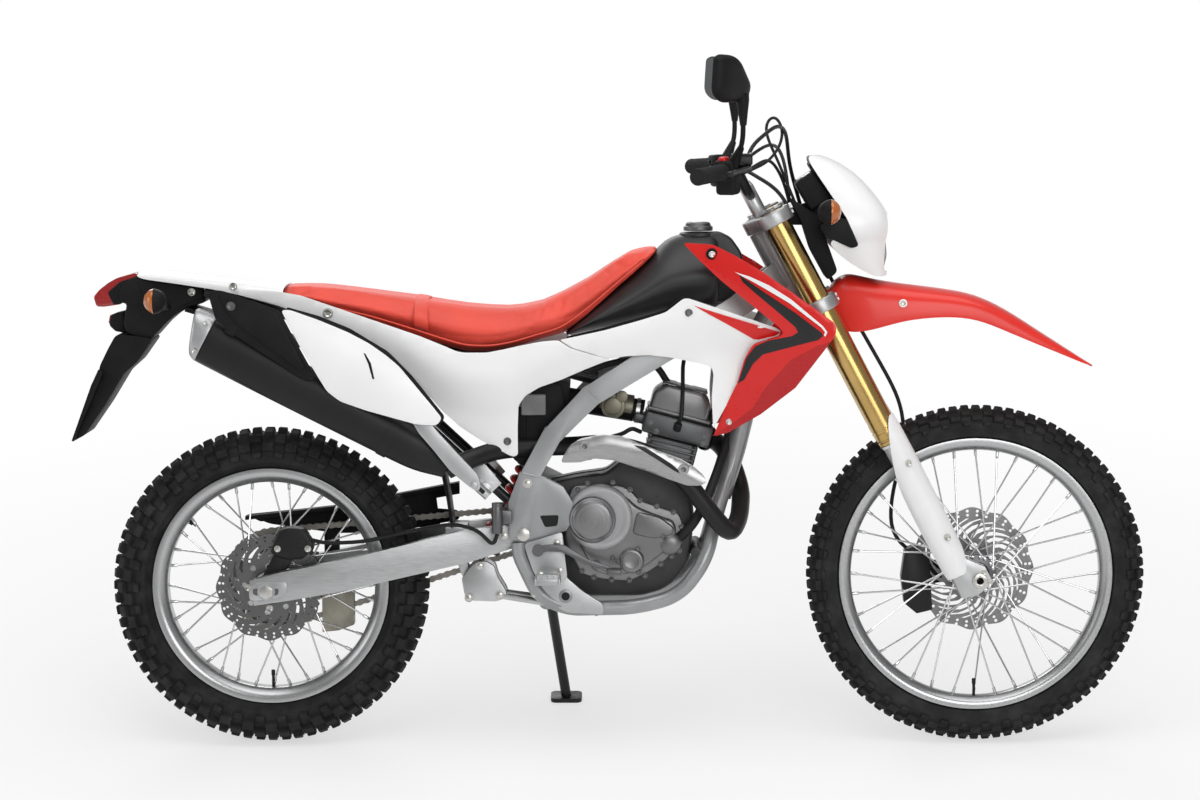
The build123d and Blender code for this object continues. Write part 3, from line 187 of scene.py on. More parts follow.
def otherSide(piece):
    # moves a piece that was made on the left to the right
    piece.scale.y = -1
    return fillOut(settle(piece))


def outlineFace(name, outline, y):
    # a side-view outline of (x, z) points, as one flat face at y
    bpy.ops.mesh.primitive_circle_add(vertices=len(outline), radius=0.1, fill_type="NGON")
    piece = nameIt(name)
    for vertex, (x, z) in zip(piece.data.vertices, outline):
        vertex.co = metres((x, y, z))
    return piece


def plate(name, outline, low, high, bevel=1.0, segments=2):
    # a flat plate with that outline, from y low to y high
    piece = outlineFace(name, outline, low)
    with editing(piece):
        bpy.ops.mesh.extrude_region_move(TRANSFORM_OT_translate={"value": (0, (high - low) * mm, 0)})
        bpy.ops.mesh.select_all(action="SELECT")
        bpy.ops.mesh.normals_make_consistent(inside=False)
    return soften(piece, bevel, segments) if bevel else piece


def roundCorner(before, corner, after, radius, share, steps):
    # a curve that cuts the corner and uses at most that share of each side
    back, ahead = before - corner, after - corner
    reach = min(radius, share * back.length, share * ahead.length)
    start, end = corner + back.normalized() * reach, corner + ahead.normalized() * reach
    shares = [step / steps for step in range(steps + 1)]
    return [start * (1 - t) ** 2 + corner * 2 * t * (1 - t) + end * t ** 2 for t in shares]


def twoPlates(name, outline, near, far, bevel=1.0, segments=2):
    # the same plate on the machine's left and right, from y near to far
    return [plate(name, outline, *sorted((side * near, side * far)), bevel, segments) for side in (1, -1)]


def rounded(outline, radius, steps=4):
    # the closed outline with every corner rounded
    spots = [Vector(spot) for spot in outline]
    curves = [roundCorner(spots[i - 1], corner, spots[(i + 1) % len(spots)], radius, 0.42, steps)
        for i, corner in enumerate(spots)]
    return [tuple(spot) for curve in curves for spot in curve]


def lathe(name, profile, centre=(0, 0, 0), steps=64, axis=(0, 1, 0)):
    # spins a closed loop of (along, radius) points about a line through the centre
    bpy.ops.mesh.primitive_circle_add(vertices=len(profile), radius=0.1, fill_type="NOTHING")
    piece = nameIt(name)
    for vertex, (along, radius) in zip(piece.data.vertices, profile):
        vertex.co = metres((0, along, radius))
    with editing(piece):
        bpy.ops.mesh.spin(steps=steps, angle=2 * pi, center=(0, 0, 0), axis=(0, 1, 0))
        bpy.ops.mesh.select_all(action="SELECT")
        bpy.ops.mesh.remove_doubles(threshold=0.01 * mm)
        bpy.ops.mesh.dissolve_degenerate(threshold=0.005 * mm)
        bpy.ops.mesh.select_all(action="SELECT")
        bpy.ops.mesh.normals_make_consistent(inside=False)
    turn = Vector((0, 1, 0)).rotation_difference(Vector(axis)).to_matrix().to_4x4()
    place(piece, moved(centre) @ turn)
    return smooth(piece, 32)


def drum(name, start, end, radius, bevel=0.0, vertices=32):
    # a round bar between two points, its ends inset so that the bevel has an edge to follow
    start, end = metres(start), metres(end)
    bpy.ops.mesh.primitive_cylinder_add(vertices=vertices, radius=radius * mm, depth=(end - start).length)
    piece = nameIt(name)
    if bevel:
        soften(piece, bevel)
    place(piece,
        Matrix.Translation((start + end) / 2) @ (end - start).to_track_quat("Z", "Y").to_matrix().to_4x4())
    return smooth(piece)


def pipe(name, route, radius, order=4, resolution=10, sides=6, widths=None):
    # a round tube on a smooth line through the route's control points
    bpy.ops.curve.primitive_nurbs_path_add()
    piece = nameIt(name)
    curve = piece.data
    curve.splines.clear()
    line = curve.splines.new("NURBS")
    line.points.add(len(route) - 1)
    for index, (point, spot) in enumerate(zip(line.points, route)):
        point.co = (*metres(spot), 1)
        point.radius = widths[index] if widths else 1
    line.order_u = order
    line.use_endpoint_u = True
    line.resolution_u = resolution
    curve.dimensions = "3D"
    curve.bevel_depth = radius * mm
    curve.bevel_resolution = sides
    curve.use_fill_caps = True
    pick(piece)
    bpy.ops.object.convert(target="MESH")
    return smooth(piece, 50)


def skin(name, rows, closed=True, caps=True, level=1):
    # a surface over rows of points; closed joins each row's ends
    rows = [row + [row[0]] if closed else row for row in rows]
    bpy.ops.mesh.primitive_grid_add(x_subdivisions=len(rows[0]) - 1, y_subdivisions=len(rows) - 1, size=1)
    piece = nameIt(name)
    for vertex, spot in zip(piece.data.vertices, [spot for row in rows for spot in row]):
        vertex.co = metres(spot)
    if closed:
        with editing(piece):
            bpy.ops.mesh.remove_doubles(threshold=0.01 * mm)
            if caps:
                bpy.ops.mesh.select_all(action="DESELECT")
                bpy.ops.mesh.select_non_manifold()
                bpy.ops.mesh.edge_face_add()
            bpy.ops.mesh.select_all(action="SELECT")
            bpy.ops.mesh.normals_make_consistent(inside=False)
    if level:
        modify(piece, "SUBSURF", levels=level, render_levels=level)
    return smooth(piece, 60)


def thicken(piece, wall, bevel):
    modify(piece, "SOLIDIFY", thickness=wall * mm, offset=-1, use_even_offset=True)
    return soften(piece, bevel, 2, 50) if bevel else piece


def cutAcross(piece, axis, spots):
    # straight cuts through the whole piece, square to an axis
    normal = [0.0, 0.0, 0.0]
    normal["XYZ".index(axis)] = 1.0
    with editing(piece):
        for spot in spots:
            bpy.ops.mesh.select_all(action="SELECT")
            bpy.ops.mesh.bisect(plane_co=[spot * mm * part for part in normal], plane_no=normal)


def panel(name, outline, faceOf, wall=3.0, grid=26, bevel=0.8):
    # a curved sheet: a flat outline, cut into small faces, that takes its y from faceOf(x, z)
    piece = outlineFace(name, outline, 0)
    xs, zs = [x for x, _ in outline], [z for _, z in outline]
    for axis, values in (("X", xs), ("Z", zs)):
        count = int((max(values) - min(values)) / grid)
        cutAcross(piece, axis, [min(values) + (max(values) - min(values)) * (i + 0.5) / (count + 1)
            for i in range(count + 1)])
    for vertex in piece.data.vertices:
        x, _, z = vertex.co / mm
        vertex.co.y = faceOf(x, z) * mm
    piece.data.update()
    turnOver(piece, lambda face: face.normal.y)
    if wall:
        thicken(piece, wall, bevel)
    return smooth(piece, 40)


def ring(count, start=0.0):
    return [start + 2 * pi * index / count for index in range(count)]


def around(centre, radius, count, y, start=0.0):
    # points on a circle about a cross axis
    return [(centre[0] + radius * sin(a), y, centre[1] + radius * cos(a)) for a in ring(count, start)]


def cut(piece, cutter):
    modify(piece, "BOOLEAN", object=cutter, operation="DIFFERENCE", solver="EXACT")
    bpy.data.objects.remove(cutter)
    return piece


def coat(piece, material):
    piece.data.materials.clear()
    piece.data.materials.append(material)


def carry(piece, body, material, stands=()):
    # parks the piece, gives it its material, and says which body carries it
    coat(place(settle(piece), parked), material)
    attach(piece, body)
    if stands:
        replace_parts(piece, *stands)
    return piece


def finish(piece, material, stands=()):
    return carry(piece, "chassis", material, stands)


def steer(piece, material, stands=()):
    return carry(piece, "steering", material, stands)


def scatter(name, piece, matrices):
    # one copy of the piece at each place, all joined
    copies = [place(copyOf(piece), matrix) for matrix in matrices]
    bpy.data.objects.remove(piece)
    return join(name, copies)


def aim(point, direction, spin=0.0):
    # carries a shape that stands up along Z to a point, facing a direction
    turn = Vector(direction).normalized().to_track_quat("Z", "Y").to_matrix().to_4x4()
    return moved(point) @ turn @ Matrix.Rotation(spin, 4, "Z")


def boltHead(radius, height, washer=1.35, socket=False):
    # a hexagon head with a chamfer over a washer, or a round head with a hexagon socket, standing up from z 0
    bpy.ops.mesh.primitive_cylinder_add(vertices=18 if socket else 6, radius=radius * mm, depth=height * mm,
        location=(0, 0, height * mm / 2 + mm))
    head = settle(nameIt("head"))
    with editing(head, "FACE"):
        selectTop(head)
        bpy.ops.mesh.inset(thickness=radius * (0.42 if socket else 0.2) * mm, depth=0)
        shift = -0.5 * height if socket else 0.18 * height
        bpy.ops.transform.translate(value=(0, 0, shift * mm))
    bpy.ops.mesh.primitive_cylinder_add(vertices=20, radius=radius * washer * mm, depth=mm,
        location=(0, 0, mm / 2))
    return smooth(join("bolt", [head, settle(nameIt("washer"))]), 30)


def bolts(name, spots, direction, radius=5.0, height=4.0, socket=False, washer=1.35):
    return scatter(name, boltHead(radius, height, washer, socket), [aim(spot, direction, 0.7 * index)
        for index, spot in enumerate(spots)])


def refine(node, name, material, width=1.2, segments=2, angle=38):
    # a copy of a CAD node's own mesh with its edges rounded, standing for the node
    source = frame["nodes"][node]
    piece = source.copy()
    piece.data = source.data.copy()
    bpy.context.scene.collection.objects.link(piece)
    piece.parent, piece.name = None, name
    for key in list(piece.keys()):
        del piece[key]
    coat(piece, material)
    with editing(piece):
        bpy.ops.mesh.remove_doubles(threshold=0.02 * mm)
        bpy.ops.mesh.dissolve_limited(angle_limit=radians(2))
    if width:
        modify(piece, "BEVEL", width=width * mm, segments=segments, limit_method="ANGLE",
            angle_limit=radians(angle), use_clamp_overlap=True)
    smooth(piece, angle)
    body = next(body for body, members in frame["record"]["behaviour"]["bodies"].items() if node in members)
    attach(piece, body)
    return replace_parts(piece, node)


def level(table, at):
    # straight-line reading of a table of (place, value) rows
    for (low, first), (high, last) in zip(table, table[1:]):
        if at <= high:
            share = max(0.0, (at - low) / (high - low))
            return first + (last - first) * share
    return table[-1][1]


def softLevel(table, at):
    # the same, rounded where its rows meet
    return sum(level(table, at + shift) for shift in (-36, -18, 0, 18, 36)) / 5


def section(x, low, high, halfLow, halfMid, halfHigh, crown=0.0, square=3.2, count=28):
    # a closed cross-section of points at x: rounded corners, the wider middle bulging between low and high
    points = []
    for a in ring(count):
        c, s = cos(a), sin(a)
        across = copysign(abs(c) ** (2 / square), c)
        rise = copysign(abs(s) ** (2 / square), s)
        height = (rise + 1) / 2
        half = level([(0, halfLow), (0.5, halfMid), (1, halfHigh)], height)
        points.append((x, half * across, low + (high - low) * height + crown * max(0, s) * (1 - across ** 2)))
    return points


def decal(name, outline, faceOf, lift=0.45, grid=14):
    # a thin film laid over a curved panel
    return panel(name, outline, lambda x, z: faceOf(x, z) + lift, 0.25, grid, 0)


def roundRoute(points, radius):
    # an open line through space with its corners rounded
    spots = [Vector(point) for point in points]
    route = [spots[0]]
    for before, corner, after in zip(spots, spots[1:], spots[2:]):
        route += roundCorner(before, corner, after, radius, 0.45, 5)
    return route + [spots[-1]]


def bent(name, points, radius, bend=60, sides=8):
    return pipe(name, roundRoute(points, bend), radius, order=2, resolution=1, sides=sides)


def disc(name, centre, profile, count=48):
    # a turned shape about a cross axis through (x, z), from (y, radius) points
    return lathe(name, profile, (centre[0], 0, centre[1]), count)


def softBox(name, size, bevel, matrix, segments=3):
    bpy.ops.mesh.primitive_cube_add(size=1)
    piece = nameIt(name)
    piece.scale = Vector(size) * mm
    settle(piece)
    soften(piece, bevel, segments)
    return place(piece, matrix)


# Shader maths: a Wire wraps a socket, and an expression on wires adds the Math nodes.
class Wire:
    def __init__(self, look, socket):
        self.look, self.socket = look, socket

    def maths(self, operation, *others):
        return self.look.node("ShaderNodeMath", {"operation": operation}, [self, *others])

    def __add__(self, other):
        return self.maths("ADD", other)

    def __sub__(self, other):
        return self.maths("SUBTRACT", other)

    def __rsub__(self, other):
        return self.look.node("ShaderNodeMath", {"operation": "SUBTRACT"}, [other, self])

    def __mul__(self, other):
        return self.maths("MULTIPLY", other)

    def __pow__(self, other):
        return self.maths("POWER", other)

    __radd__, __rmul__ = __add__, __mul__

    def sine(self):
        return self.maths("SINE")

    def between(self, low, high):
        # 0 at low and 1 at high, with a soft start and end
        return self.look.node("ShaderNodeMapRange", {"interpolation_type": "SMOOTHSTEP"},
            {"Value": self, "From Min": low, "From Max": high})


class Finish:
    def __init__(self, name):
        self.material = bpy.data.materials.new(name)
        self.material.use_nodes = True
        self.tree = self.material.node_tree
        self.shader = self.tree.nodes["Principled BSDF"]
        self.place = self.node("ShaderNodeTexCoord", output="Object")

    def node(self, kind, settings=None, values=None, output=0):
        made = self.tree.nodes.new(kind)
        for key, value in (settings or {}).items():
            setattr(made, key, value)
        pairs = enumerate(values) if isinstance(values, list) else (values or {}).items()
        for key, value in pairs:
            self.join(value, made.inputs[key])
        return Wire(self, made.outputs[output])

    def join(self, value, socket):
        if isinstance(value, Wire):
            self.tree.links.new(value.socket, socket)
        elif isinstance(value, tuple) and len(value) == 3 and len(getattr(socket, "default_value", ())) == 4:
            socket.default_value = (*value, 1)
        else:
            socket.default_value = value

    def set(self, **values):
        for key, value in values.items():
            self.join(value, self.shader.inputs[key.replace("_", " ")])
        return self

    def noise(self, scale, detail=2.0, roughness=0.5, place=None, output=0):
        return self.node("ShaderNodeTexNoise", None, {"Vector": place or self.place, "Scale": scale,
            "Detail": detail, "Roughness": roughness}, output)

    def cells(self, scale, feature="F1", place=None, output=0):
        return self.node("ShaderNodeTexVoronoi", {"feature": feature},
            {"Vector": place or self.place, "Scale": scale}, output)

    def mix(self, first, second, factor):
        # Mix node sockets: 0 is the factor, 6 and 7 the colours, and output 2 the mixed colour
        return self.node("ShaderNodeMix", {"data_type": "RGBA"}, {0: factor, 6: first, 7: second}, 2)

    def turned(self, matrix):
        # the surface's own place, measured from a point and along axes of the machine
        place, turn, _ = (parked @ matrix).inverted().decompose()
        return self.node("ShaderNodeMapping", {"vector_type": "POINT"},
            {"Vector": self.place, "Location": tuple(place), "Rotation": tuple(turn.to_euler())})

    def stretched(self, place, scale):
        return self.node("ShaderNodeVectorMath", {"operation": "MULTIPLY"}, [place, scale])

    def split(self, place):
        return [self.node("ShaderNodeSeparateXYZ", None, [place], index) for index in range(3)]

    def bump(self, height, strength=0.3, distance=0.5):
        # height is a wire from 0 to 1, and distance its depth in millimetres
        values = {"Strength": strength, "Distance": distance * mm, "Height": height}
        self.join(self.node("ShaderNodeBump", None, values), self.shader.inputs["Normal"])


def darker(colour, share):
    return tuple(part * share for part in colour)


def wheelPlace(look, wheel):
    # polar place on a wheel: distance from its axle and the angle round it
    spot = look.turned(moved(machine[wheel + "Axle"]))
    x, y, z = look.split(spot)
    return (x * x + z * z) ** 0.5, x.maths("ARCTAN2", z), y


def colourVaried(look, colour, spread=0.12, scale=7.0):
    # the colour, a little darker and lighter in broad patches
    patches = look.noise(scale, 3)
    dark = darker(colour, 1 - spread)
    light = tuple(min(1, part * (1 + spread)) for part in colour)
    return look.mix(dark, light, patches.between(0.3, 0.7))


def paintedPlastic(name, colour, roughness=0.28, dusty=0.04):
    # moulded and polished bodywork, with faint ripple, haze and fine scratches
    look = Finish(name)
    haze = look.noise(16, 4)
    streaks = look.noise(60, 2, place=look.stretched(look.place, (1, 1, 14)))
    look.set(Base_Color=colourVaried(look, colour, dusty, 4), Coat_Roughness=0.09, IOR=1.5,
        Coat_Weight=haze.between(0.2, 0.9) * 0.2 + 0.1, Specular_IOR_Level=0.35,
        Roughness=haze * 0.10 + streaks * 0.05 + (roughness - 0.07))
    look.bump(look.noise(90, 2) * 0.6 + look.noise(700, 1) * 0.4, 0.22, 0.08)
    return look.material


def grainedPlastic(name, colour, roughness=0.55, grain=900, depth=0.12, gleam=0.16):
    # unpainted black moulding with a fine pebbled grain and paler, rubbed patches
    look = Finish(name)
    rub = look.noise(22, 4)
    look.set(Base_Color=colourVaried(look, colour, 0.22, 18), Specular_IOR_Level=gleam,
        Roughness=rub * 0.16 + (roughness - 0.08))
    look.bump(look.cells(grain, "SMOOTH_F1") * 0.7 + look.noise(grain * 2.4, 1) * 0.3, 0.5, depth)
    return look.material


def castMetal(name, colour, roughness, metallic=0.9, grain=620):
    # sand-cast alloy: fine pits, broad tone changes and grime in dark patches
    look = Finish(name)
    pits = look.noise(grain, 3, 0.65)
    grime = look.noise(30, 5, 0.62)
    tone = colourVaried(look, colour, 0.14, 11)
    look.set(Base_Color=look.mix(tone, darker(colour, 0.45), grime.between(0.58, 0.86) * 0.5),
        Metallic=metallic, Roughness=grime * 0.2 + pits * 0.08 + (roughness - 0.14))
    look.bump(pits * 0.7 + look.noise(150, 2) * 0.3, 0.45, 0.12)
    return look.material


def brushedMetal(name, colour, roughness=0.3, along=(1, 1, 1), metallic=1.0, depth=0.03):
    # drawn or brushed alloy: fine lines, stretched along the machine where along is small
    look = Finish(name)
    lines = look.noise(420, 2, 0.6, look.stretched(look.turned(Matrix.Identity(4)), along))
    smear = look.noise(14, 4)
    look.set(Base_Color=look.mix(darker(colour, 0.86), colour, lines.between(0.3, 0.7)), Metallic=metallic,
        Roughness=lines * 0.14 + smear * 0.12 + (roughness - 0.12))
    look.bump(lines * 0.8 + smear * 0.2, 0.35, depth)
    return look.material


def satinPaint(name, colour, roughness=0.38, metallic=0.0, chips=None):
    # sprayed paint over steel, with orange peel and, where given, worn chips
    look = Finish(name)
    patches = look.noise(26, 4, 0.6)
    base = colourVaried(look, colour, 0.12, 9)
    if chips:
        base = look.mix(base, chips, look.noise(160, 5, 0.7).between(0.7, 0.76))
    look.set(Base_Color=base, Metallic=metallic, Specular_IOR_Level=0.35,
        Roughness=patches * 0.16 + (roughness - 0.08))
    look.bump(look.noise(260, 2) * 0.7 + patches * 0.3, 0.25, 0.07)
    return look.material


def rubber(name, colour=(0.010, 0.010, 0.011), roughness=0.68, dust=0.10):
    # moulded rubber, greyer where dust lies
    look = Finish(name)
    film = look.noise(18, 5, 0.62)
    look.set(Base_Color=look.mix(colour, (0.12, 0.115, 0.105), film.between(0.45, 0.85) * dust),
        Specular_IOR_Level=0.28, Roughness=film * 0.18 + (roughness - 0.09))
    look.bump(look.noise(900, 2) * 0.6 + look.noise(120, 3) * 0.4, 0.4, 0.1)
    return look.material


def tyreRubber(name, wheel, radius):
    # a tyre's own rubber: moulding rings round the sidewall and dust between the blocks
    look = Finish(name)
    out, _, _ = wheelPlace(look, wheel)
    film = look.noise(24, 5, 0.62)
    deep = (1 - out.between((radius - 16) * mm, (radius - 4) * mm)) * 0.5 + 0.2
    look.set(Base_Color=look.mix((0.008, 0.008, 0.009), (0.040, 0.039, 0.037),
        film.between(0.35, 0.8) * deep), Specular_IOR_Level=0.28, Roughness=film * 0.16 + 0.60)
    rings = (out * (2 * pi / (2.6 * mm))).sine() * 0.5 + 0.5
    flank = 1 - out.between((radius - 40) * mm, (radius - 30) * mm)
    look.bump(rings * flank * 0.35 + look.noise(700, 2) * 0.4 + look.noise(160, 3) * 0.25, 0.4, 0.16)
    return look.material


def turnedMetal(name, wheel, colour=(0.62, 0.62, 0.63), pitch=0.9, roughness=0.3):
    # a disc ground or turned on its own axle: rings all round, and scuffed
    look = Finish(name)
    out, turn, across = wheelPlace(look, wheel)
    rings = look.noise(1.0, 3, 0.7, look.node("ShaderNodeCombineXYZ", None,
        [out * (1 / (pitch * mm)), turn * 0.35, across]))
    smear = look.noise(30, 4)
    look.set(Base_Color=look.mix(darker(colour, 0.72), colour, rings.between(0.3, 0.7)), Metallic=1.0,
        Roughness=rings * 0.16 + smear * 0.12 + (roughness - 0.12))
    look.bump(rings, 0.3, 0.05)
    return look.material


def lens(name, colour, pitch=2.2, roughness=0.12, clear=0.35):
    # a moulded lamp lens with fine prisms behind a smooth face
    look = Finish(name)
    waves = 2 * pi / (pitch * mm)
    _, across, up = look.split(look.place)
    prisms = (across * waves).sine() * (up * waves).sine()
    look.set(Base_Color=look.mix(darker(colour, 0.6), colour, prisms * 0.5 + 0.5), IOR=1.49,
        Transmission_Weight=clear, Coat_Weight=0.8, Coat_Roughness=0.04,
        Roughness=look.noise(40, 3) * 0.06 + roughness)
    look.bump(prisms * 0.5 + 0.5, 0.3, 0.25)
    return look.material


def seatCover(name, colour):
    # grained vinyl: small cells of leather grain, faint creases, broad darker patches in the colour, and an even
    # sheen
    look = Finish(name)
    grain = look.cells(560, "DISTANCE_TO_EDGE")
    grainFine = look.noise(1500, 2)
    broadPatches = look.noise(12, 3)
    look.set(Base_Color=look.mix(darker(colour, 0.88), colour, broadPatches.between(0.3, 0.7)), IOR=1.47,
        Roughness=broadPatches * 0.10 + grainFine * 0.08 + 0.46, Sheen_Weight=0.08, Sheen_Roughness=0.4)
    look.bump(grain.between(0.0, 0.35) * 0.65 + grainFine * 0.2 + look.noise(36, 3) * 0.15, 0.45, 0.22)
    return look.material


shade = {
    "red": (0.66, 0.012, 0.010), "fenderRed": (0.74, 0.028, 0.018), "seatRed": (0.80, 0.075, 0.045),
    "white": (0.87, 0.87, 0.87), "black": (0.007, 0.007, 0.008), "coal": (0.008, 0.008, 0.009),
    "alloy": (0.50, 0.505, 0.51), "frame": (0.33, 0.335, 0.34), "engine": (0.052, 0.052, 0.054),
    "gold": (0.54, 0.36, 0.13), "steel": (0.55, 0.55, 0.56), "orange": (0.85, 0.22, 0.02),
}
redPlastic = paintedPlastic("redPlastic", shade["red"])
# a deeper red for the shrouds' lower wings: painted shade
paintedShadeRed = paintedPlastic("paintedShadeRed", (0.46, 0.006, 0.008))
fenderPlastic = paintedPlastic("fenderPlastic", shade["fenderRed"], 0.33)
whitePlastic = paintedPlastic("whitePlastic", shade["white"], 0.3)
blackGloss = paintedPlastic("blackGloss", shade["black"], 0.34, 0.2)
blackPlastic = grainedPlastic("blackPlastic", shade["coal"])
tankPlastic = grainedPlastic("tankPlastic", (0.016, 0.016, 0.017), 0.45, 1300, 0.05, 0.5)
gripRubber = rubber("gripRubber")
hoseRubber = rubber("hoseRubber", (0.011, 0.011, 0.012), 0.5, 0.05)
castAlloy = castMetal("castAlloy", shade["alloy"], 0.42)
framePaint = satinPaint("framePaint", shade["frame"], 0.36, 0.55)
blackPaint = satinPaint("blackPaint", shade["black"], 0.4, 0.0, (0.06, 0.06, 0.06))
armAlloy = brushedMetal("armAlloy", shade["alloy"], 0.36, (0.05, 1, 1))
engineAlloy = castMetal("engineAlloy", shade["engine"], 0.5, 0.75)
coverAlloy = castMetal("coverAlloy", (0.21, 0.21, 0.212), 0.38, 0.9, 500)
headAlloy = castMetal("headAlloy", (0.12, 0.122, 0.125), 0.44, 0.9, 700)
rimAlloy = brushedMetal("rimAlloy", (0.50, 0.505, 0.51), 0.30)
zincSteel = brushedMetal("zincSteel", (0.62, 0.61, 0.58), 0.32)
darkSteel = brushedMetal("darkSteel", (0.16, 0.16, 0.165), 0.42)
spokeSteel = brushedMetal("spokeSteel", (0.66, 0.66, 0.67), 0.22)
goldTube = satinPaint("goldTube", shade["gold"], 0.24, 1.0)
greyPlastic = grainedPlastic("greyPlastic", (0.24, 0.24, 0.245), 0.5, 900, 0.06)
brassDark = castMetal("brassDark", (0.20, 0.185, 0.14), 0.45, 0.8, 500)
brass = brushedMetal("brass", (0.66, 0.47, 0.20), 0.3)
shieldSteel = brushedMetal("shieldSteel", (0.40, 0.40, 0.40), 0.30, (0.08, 1, 1))
headerSteel = satinPaint("headerSteel", (0.014, 0.0135, 0.0135), 0.42, 0.3, (0.10, 0.08, 0.06))
canPaint = satinPaint("canPaint", (0.013, 0.013, 0.014), 0.42, 0.3)
springPaint = satinPaint("springPaint", (0.55, 0.02, 0.015), 0.3)
chainSteel = brushedMetal("chainSteel", (0.34, 0.32, 0.29), 0.4)
radiatorAlloy = castMetal("radiatorAlloy", (0.07, 0.07, 0.075), 0.5, 0.6, 900)
mirrorGlass = brushedMetal("mirrorGlass", (0.30, 0.31, 0.32), 0.16, (1, 1, 1), 1.0, 0.002)
screenGlass = lens("screenGlass", (0.05, 0.06, 0.06), 3.0, 0.16, 0.0)
orangeLens = lens("orangeLens", shade["orange"])
creamPlastic = grainedPlastic("creamPlastic", (0.42, 0.40, 0.33), 0.5, 700, 0.05)
boxAlloy = castMetal("boxAlloy", (0.42, 0.42, 0.43), 0.5, 0.4)
clutchTurned = turnedMetal("clutchTurned", "clutch", (0.27, 0.27, 0.275), 1.4, 0.34)
leftTurned = turnedMetal("leftTurned", "leftCover", (0.34, 0.34, 0.35), 1.6, 0.42)
redLens = lens("redLens", (0.50, 0.012, 0.010))
clearLens = lens("clearLens", (0.50, 0.52, 0.54), 6.0, 0.1, 0.5)
seatVinyl = seatCover("seatVinyl", shade["seatRed"])
print("finishes made")

# Wheels
wheels = {
    "rear": {"radius": 325, "width": 120, "rim": 243, "rimHalf": 33, "rimFloor": 213, "pitches": 38,
        "blocks": 20, "lug": 9.5, "flange": 58, "flangeY": 30, "lock": -52, "disc": -52, "discRadius": 110},
    "front": {"radius": 346, "width": 80, "rim": 280, "rimHalf": 25, "rimFloor": 254, "pitches": 46,
        "blocks": 17.5, "lug": 7, "flange": 42, "flangeY": 32, "lock": -28, "disc": 58, "discRadius": 128},
}
# a tread block's top as a share of its foot, and its worn edge
taper = 0.84
wornEdge = 1.1
# across the crown in degrees, share of a pitch round it, length and width in millimetres
treadBlocks = [(0, 0.5, 1.0, 24), (-21, 0.0, 1.0, 22), (21, 0.0, 1.0, 22), (-43, 0.5, 1.2, 20),
    (43, 0.5, 1.2, 20), (-64, 0.0, 1.35, 18), (64, 0.0, 1.35, 18), (-82, 0.5, 1.0, 12), (82, 0.5, 1.0, 12)]


def treadBlock(length, width, height):
    # a rubber block standing on the carcass: narrower at its top, with a worn edge
    bpy.ops.mesh.primitive_cube_add(size=1, location=(0, 0, height * mm / 2))
    piece = nameIt("block")
    piece.scale = (length * mm, width * mm, height * mm)
    settle(piece)
    with editing(piece, "FACE"):
        selectTop(piece)
        bpy.ops.transform.resize(value=(taper, taper, 1))
        bpy.ops.mesh.bevel(offset=wornEdge * mm, segments=1, affect="EDGES")
    return piece


def repeatRound(piece, count, weld, end):
    # copies of the piece all round its wheel's axle
    with editing(piece):
        bpy.ops.mesh.spin(steps=count, dupli=True, angle=2 * pi, center=(0, 0, 0), axis=(0, 1, 0))
    place(mend(piece, weld), moved(machine[end + "Axle"]))


def makeTyre(end, wheel):
    crown = wheel["width"] / 2
    shoulder = wheel["radius"] - crown
    inner = crown - wheel["lug"]
    rimHalf, rim = wheel["rimHalf"], wheel["rim"]
    arc = [radians(a) for a in range(-84, 85, 12)]
    outside = [(inner * sin(a), shoulder + inner * cos(a)) for a in arc]
    flank = [(inner - 1, shoulder - 8), (inner - 5, rim + 12), (rimHalf + 2, rim + 4),
        (rimHalf - 4.5, rim + 1), (rimHalf - 5, rim - 9), (rimHalf - 13, rim - 9), (inner - 14, rim + 14)]
    under = (0, wheel["radius"] - 22)
    profile = outside + flank + [under] + [(-y, r) for y, r in reversed(flank)]
    carcass = lathe(end + "Carcass", profile, machine[end + "Axle"], 96)
    blocks = []
    for across, lead, share, width in treadBlocks:
        a = radians(across)
        size = treadBlock(wheel["blocks"] * share, width * wheel["width"] / 120, wheel["lug"] + 2)
        foot = Vector((0, (inner - 2) * sin(a), shoulder + (inner - 2) * cos(a)))
        turn = Matrix.Rotation(2 * pi * lead / wheel["pitches"], 4, "Y")
        blocks.append(place(size, turn @ aim(foot, (0, sin(a), cos(a)), 0) @ facing(a)))
    lugs = join(end + "Lugs", blocks)
    repeatRound(lugs, wheel["pitches"], 0.05, end)
    tyre = join(end + "TyreAndTread", [carcass, smooth(lugs, 28)])
    return carry(tyre, end + "_wheel", tyreRubber(end + "TyreRubber", end, wheel["radius"]),
        [end + "_tyre"])


def facing(across):
    # turns a block so that its length runs round the wheel
    turn = Vector((0, sin(across), cos(across))).to_track_quat("Z", "Y").to_matrix()
    ahead = turn.inverted() @ Vector((1, 0, 0))
    return Matrix.Rotation(atan2(ahead.y, ahead.x), 4, "Z")


def makeRim(end, wheel):
    half, rim, floor = wheel["rimHalf"], wheel["rim"], wheel["rimFloor"]
    outline = [(-half, rim), (-half, rim - 14), (-half + 13, floor), (half - 13, floor), (half, rim - 14),
        (half, rim), (half - 3.5, rim), (half - 4.5, rim - 10), (half - 15, floor + 4),
        (15 - half, floor + 4), (4.5 - half, rim - 10), (3.5 - half, rim)]
    rimPiece = lathe(end + "Rim", rounded(outline, 6, 3), machine[end + "Axle"], 120)
    return carry(rimPiece, end + "_wheel", rimAlloy, [end + "_rim_and_hub"])


spoke = {"sets": 9, "sweep": 58, "radius": 1.9, "nipple": 3.3, "nippleLength": 15}


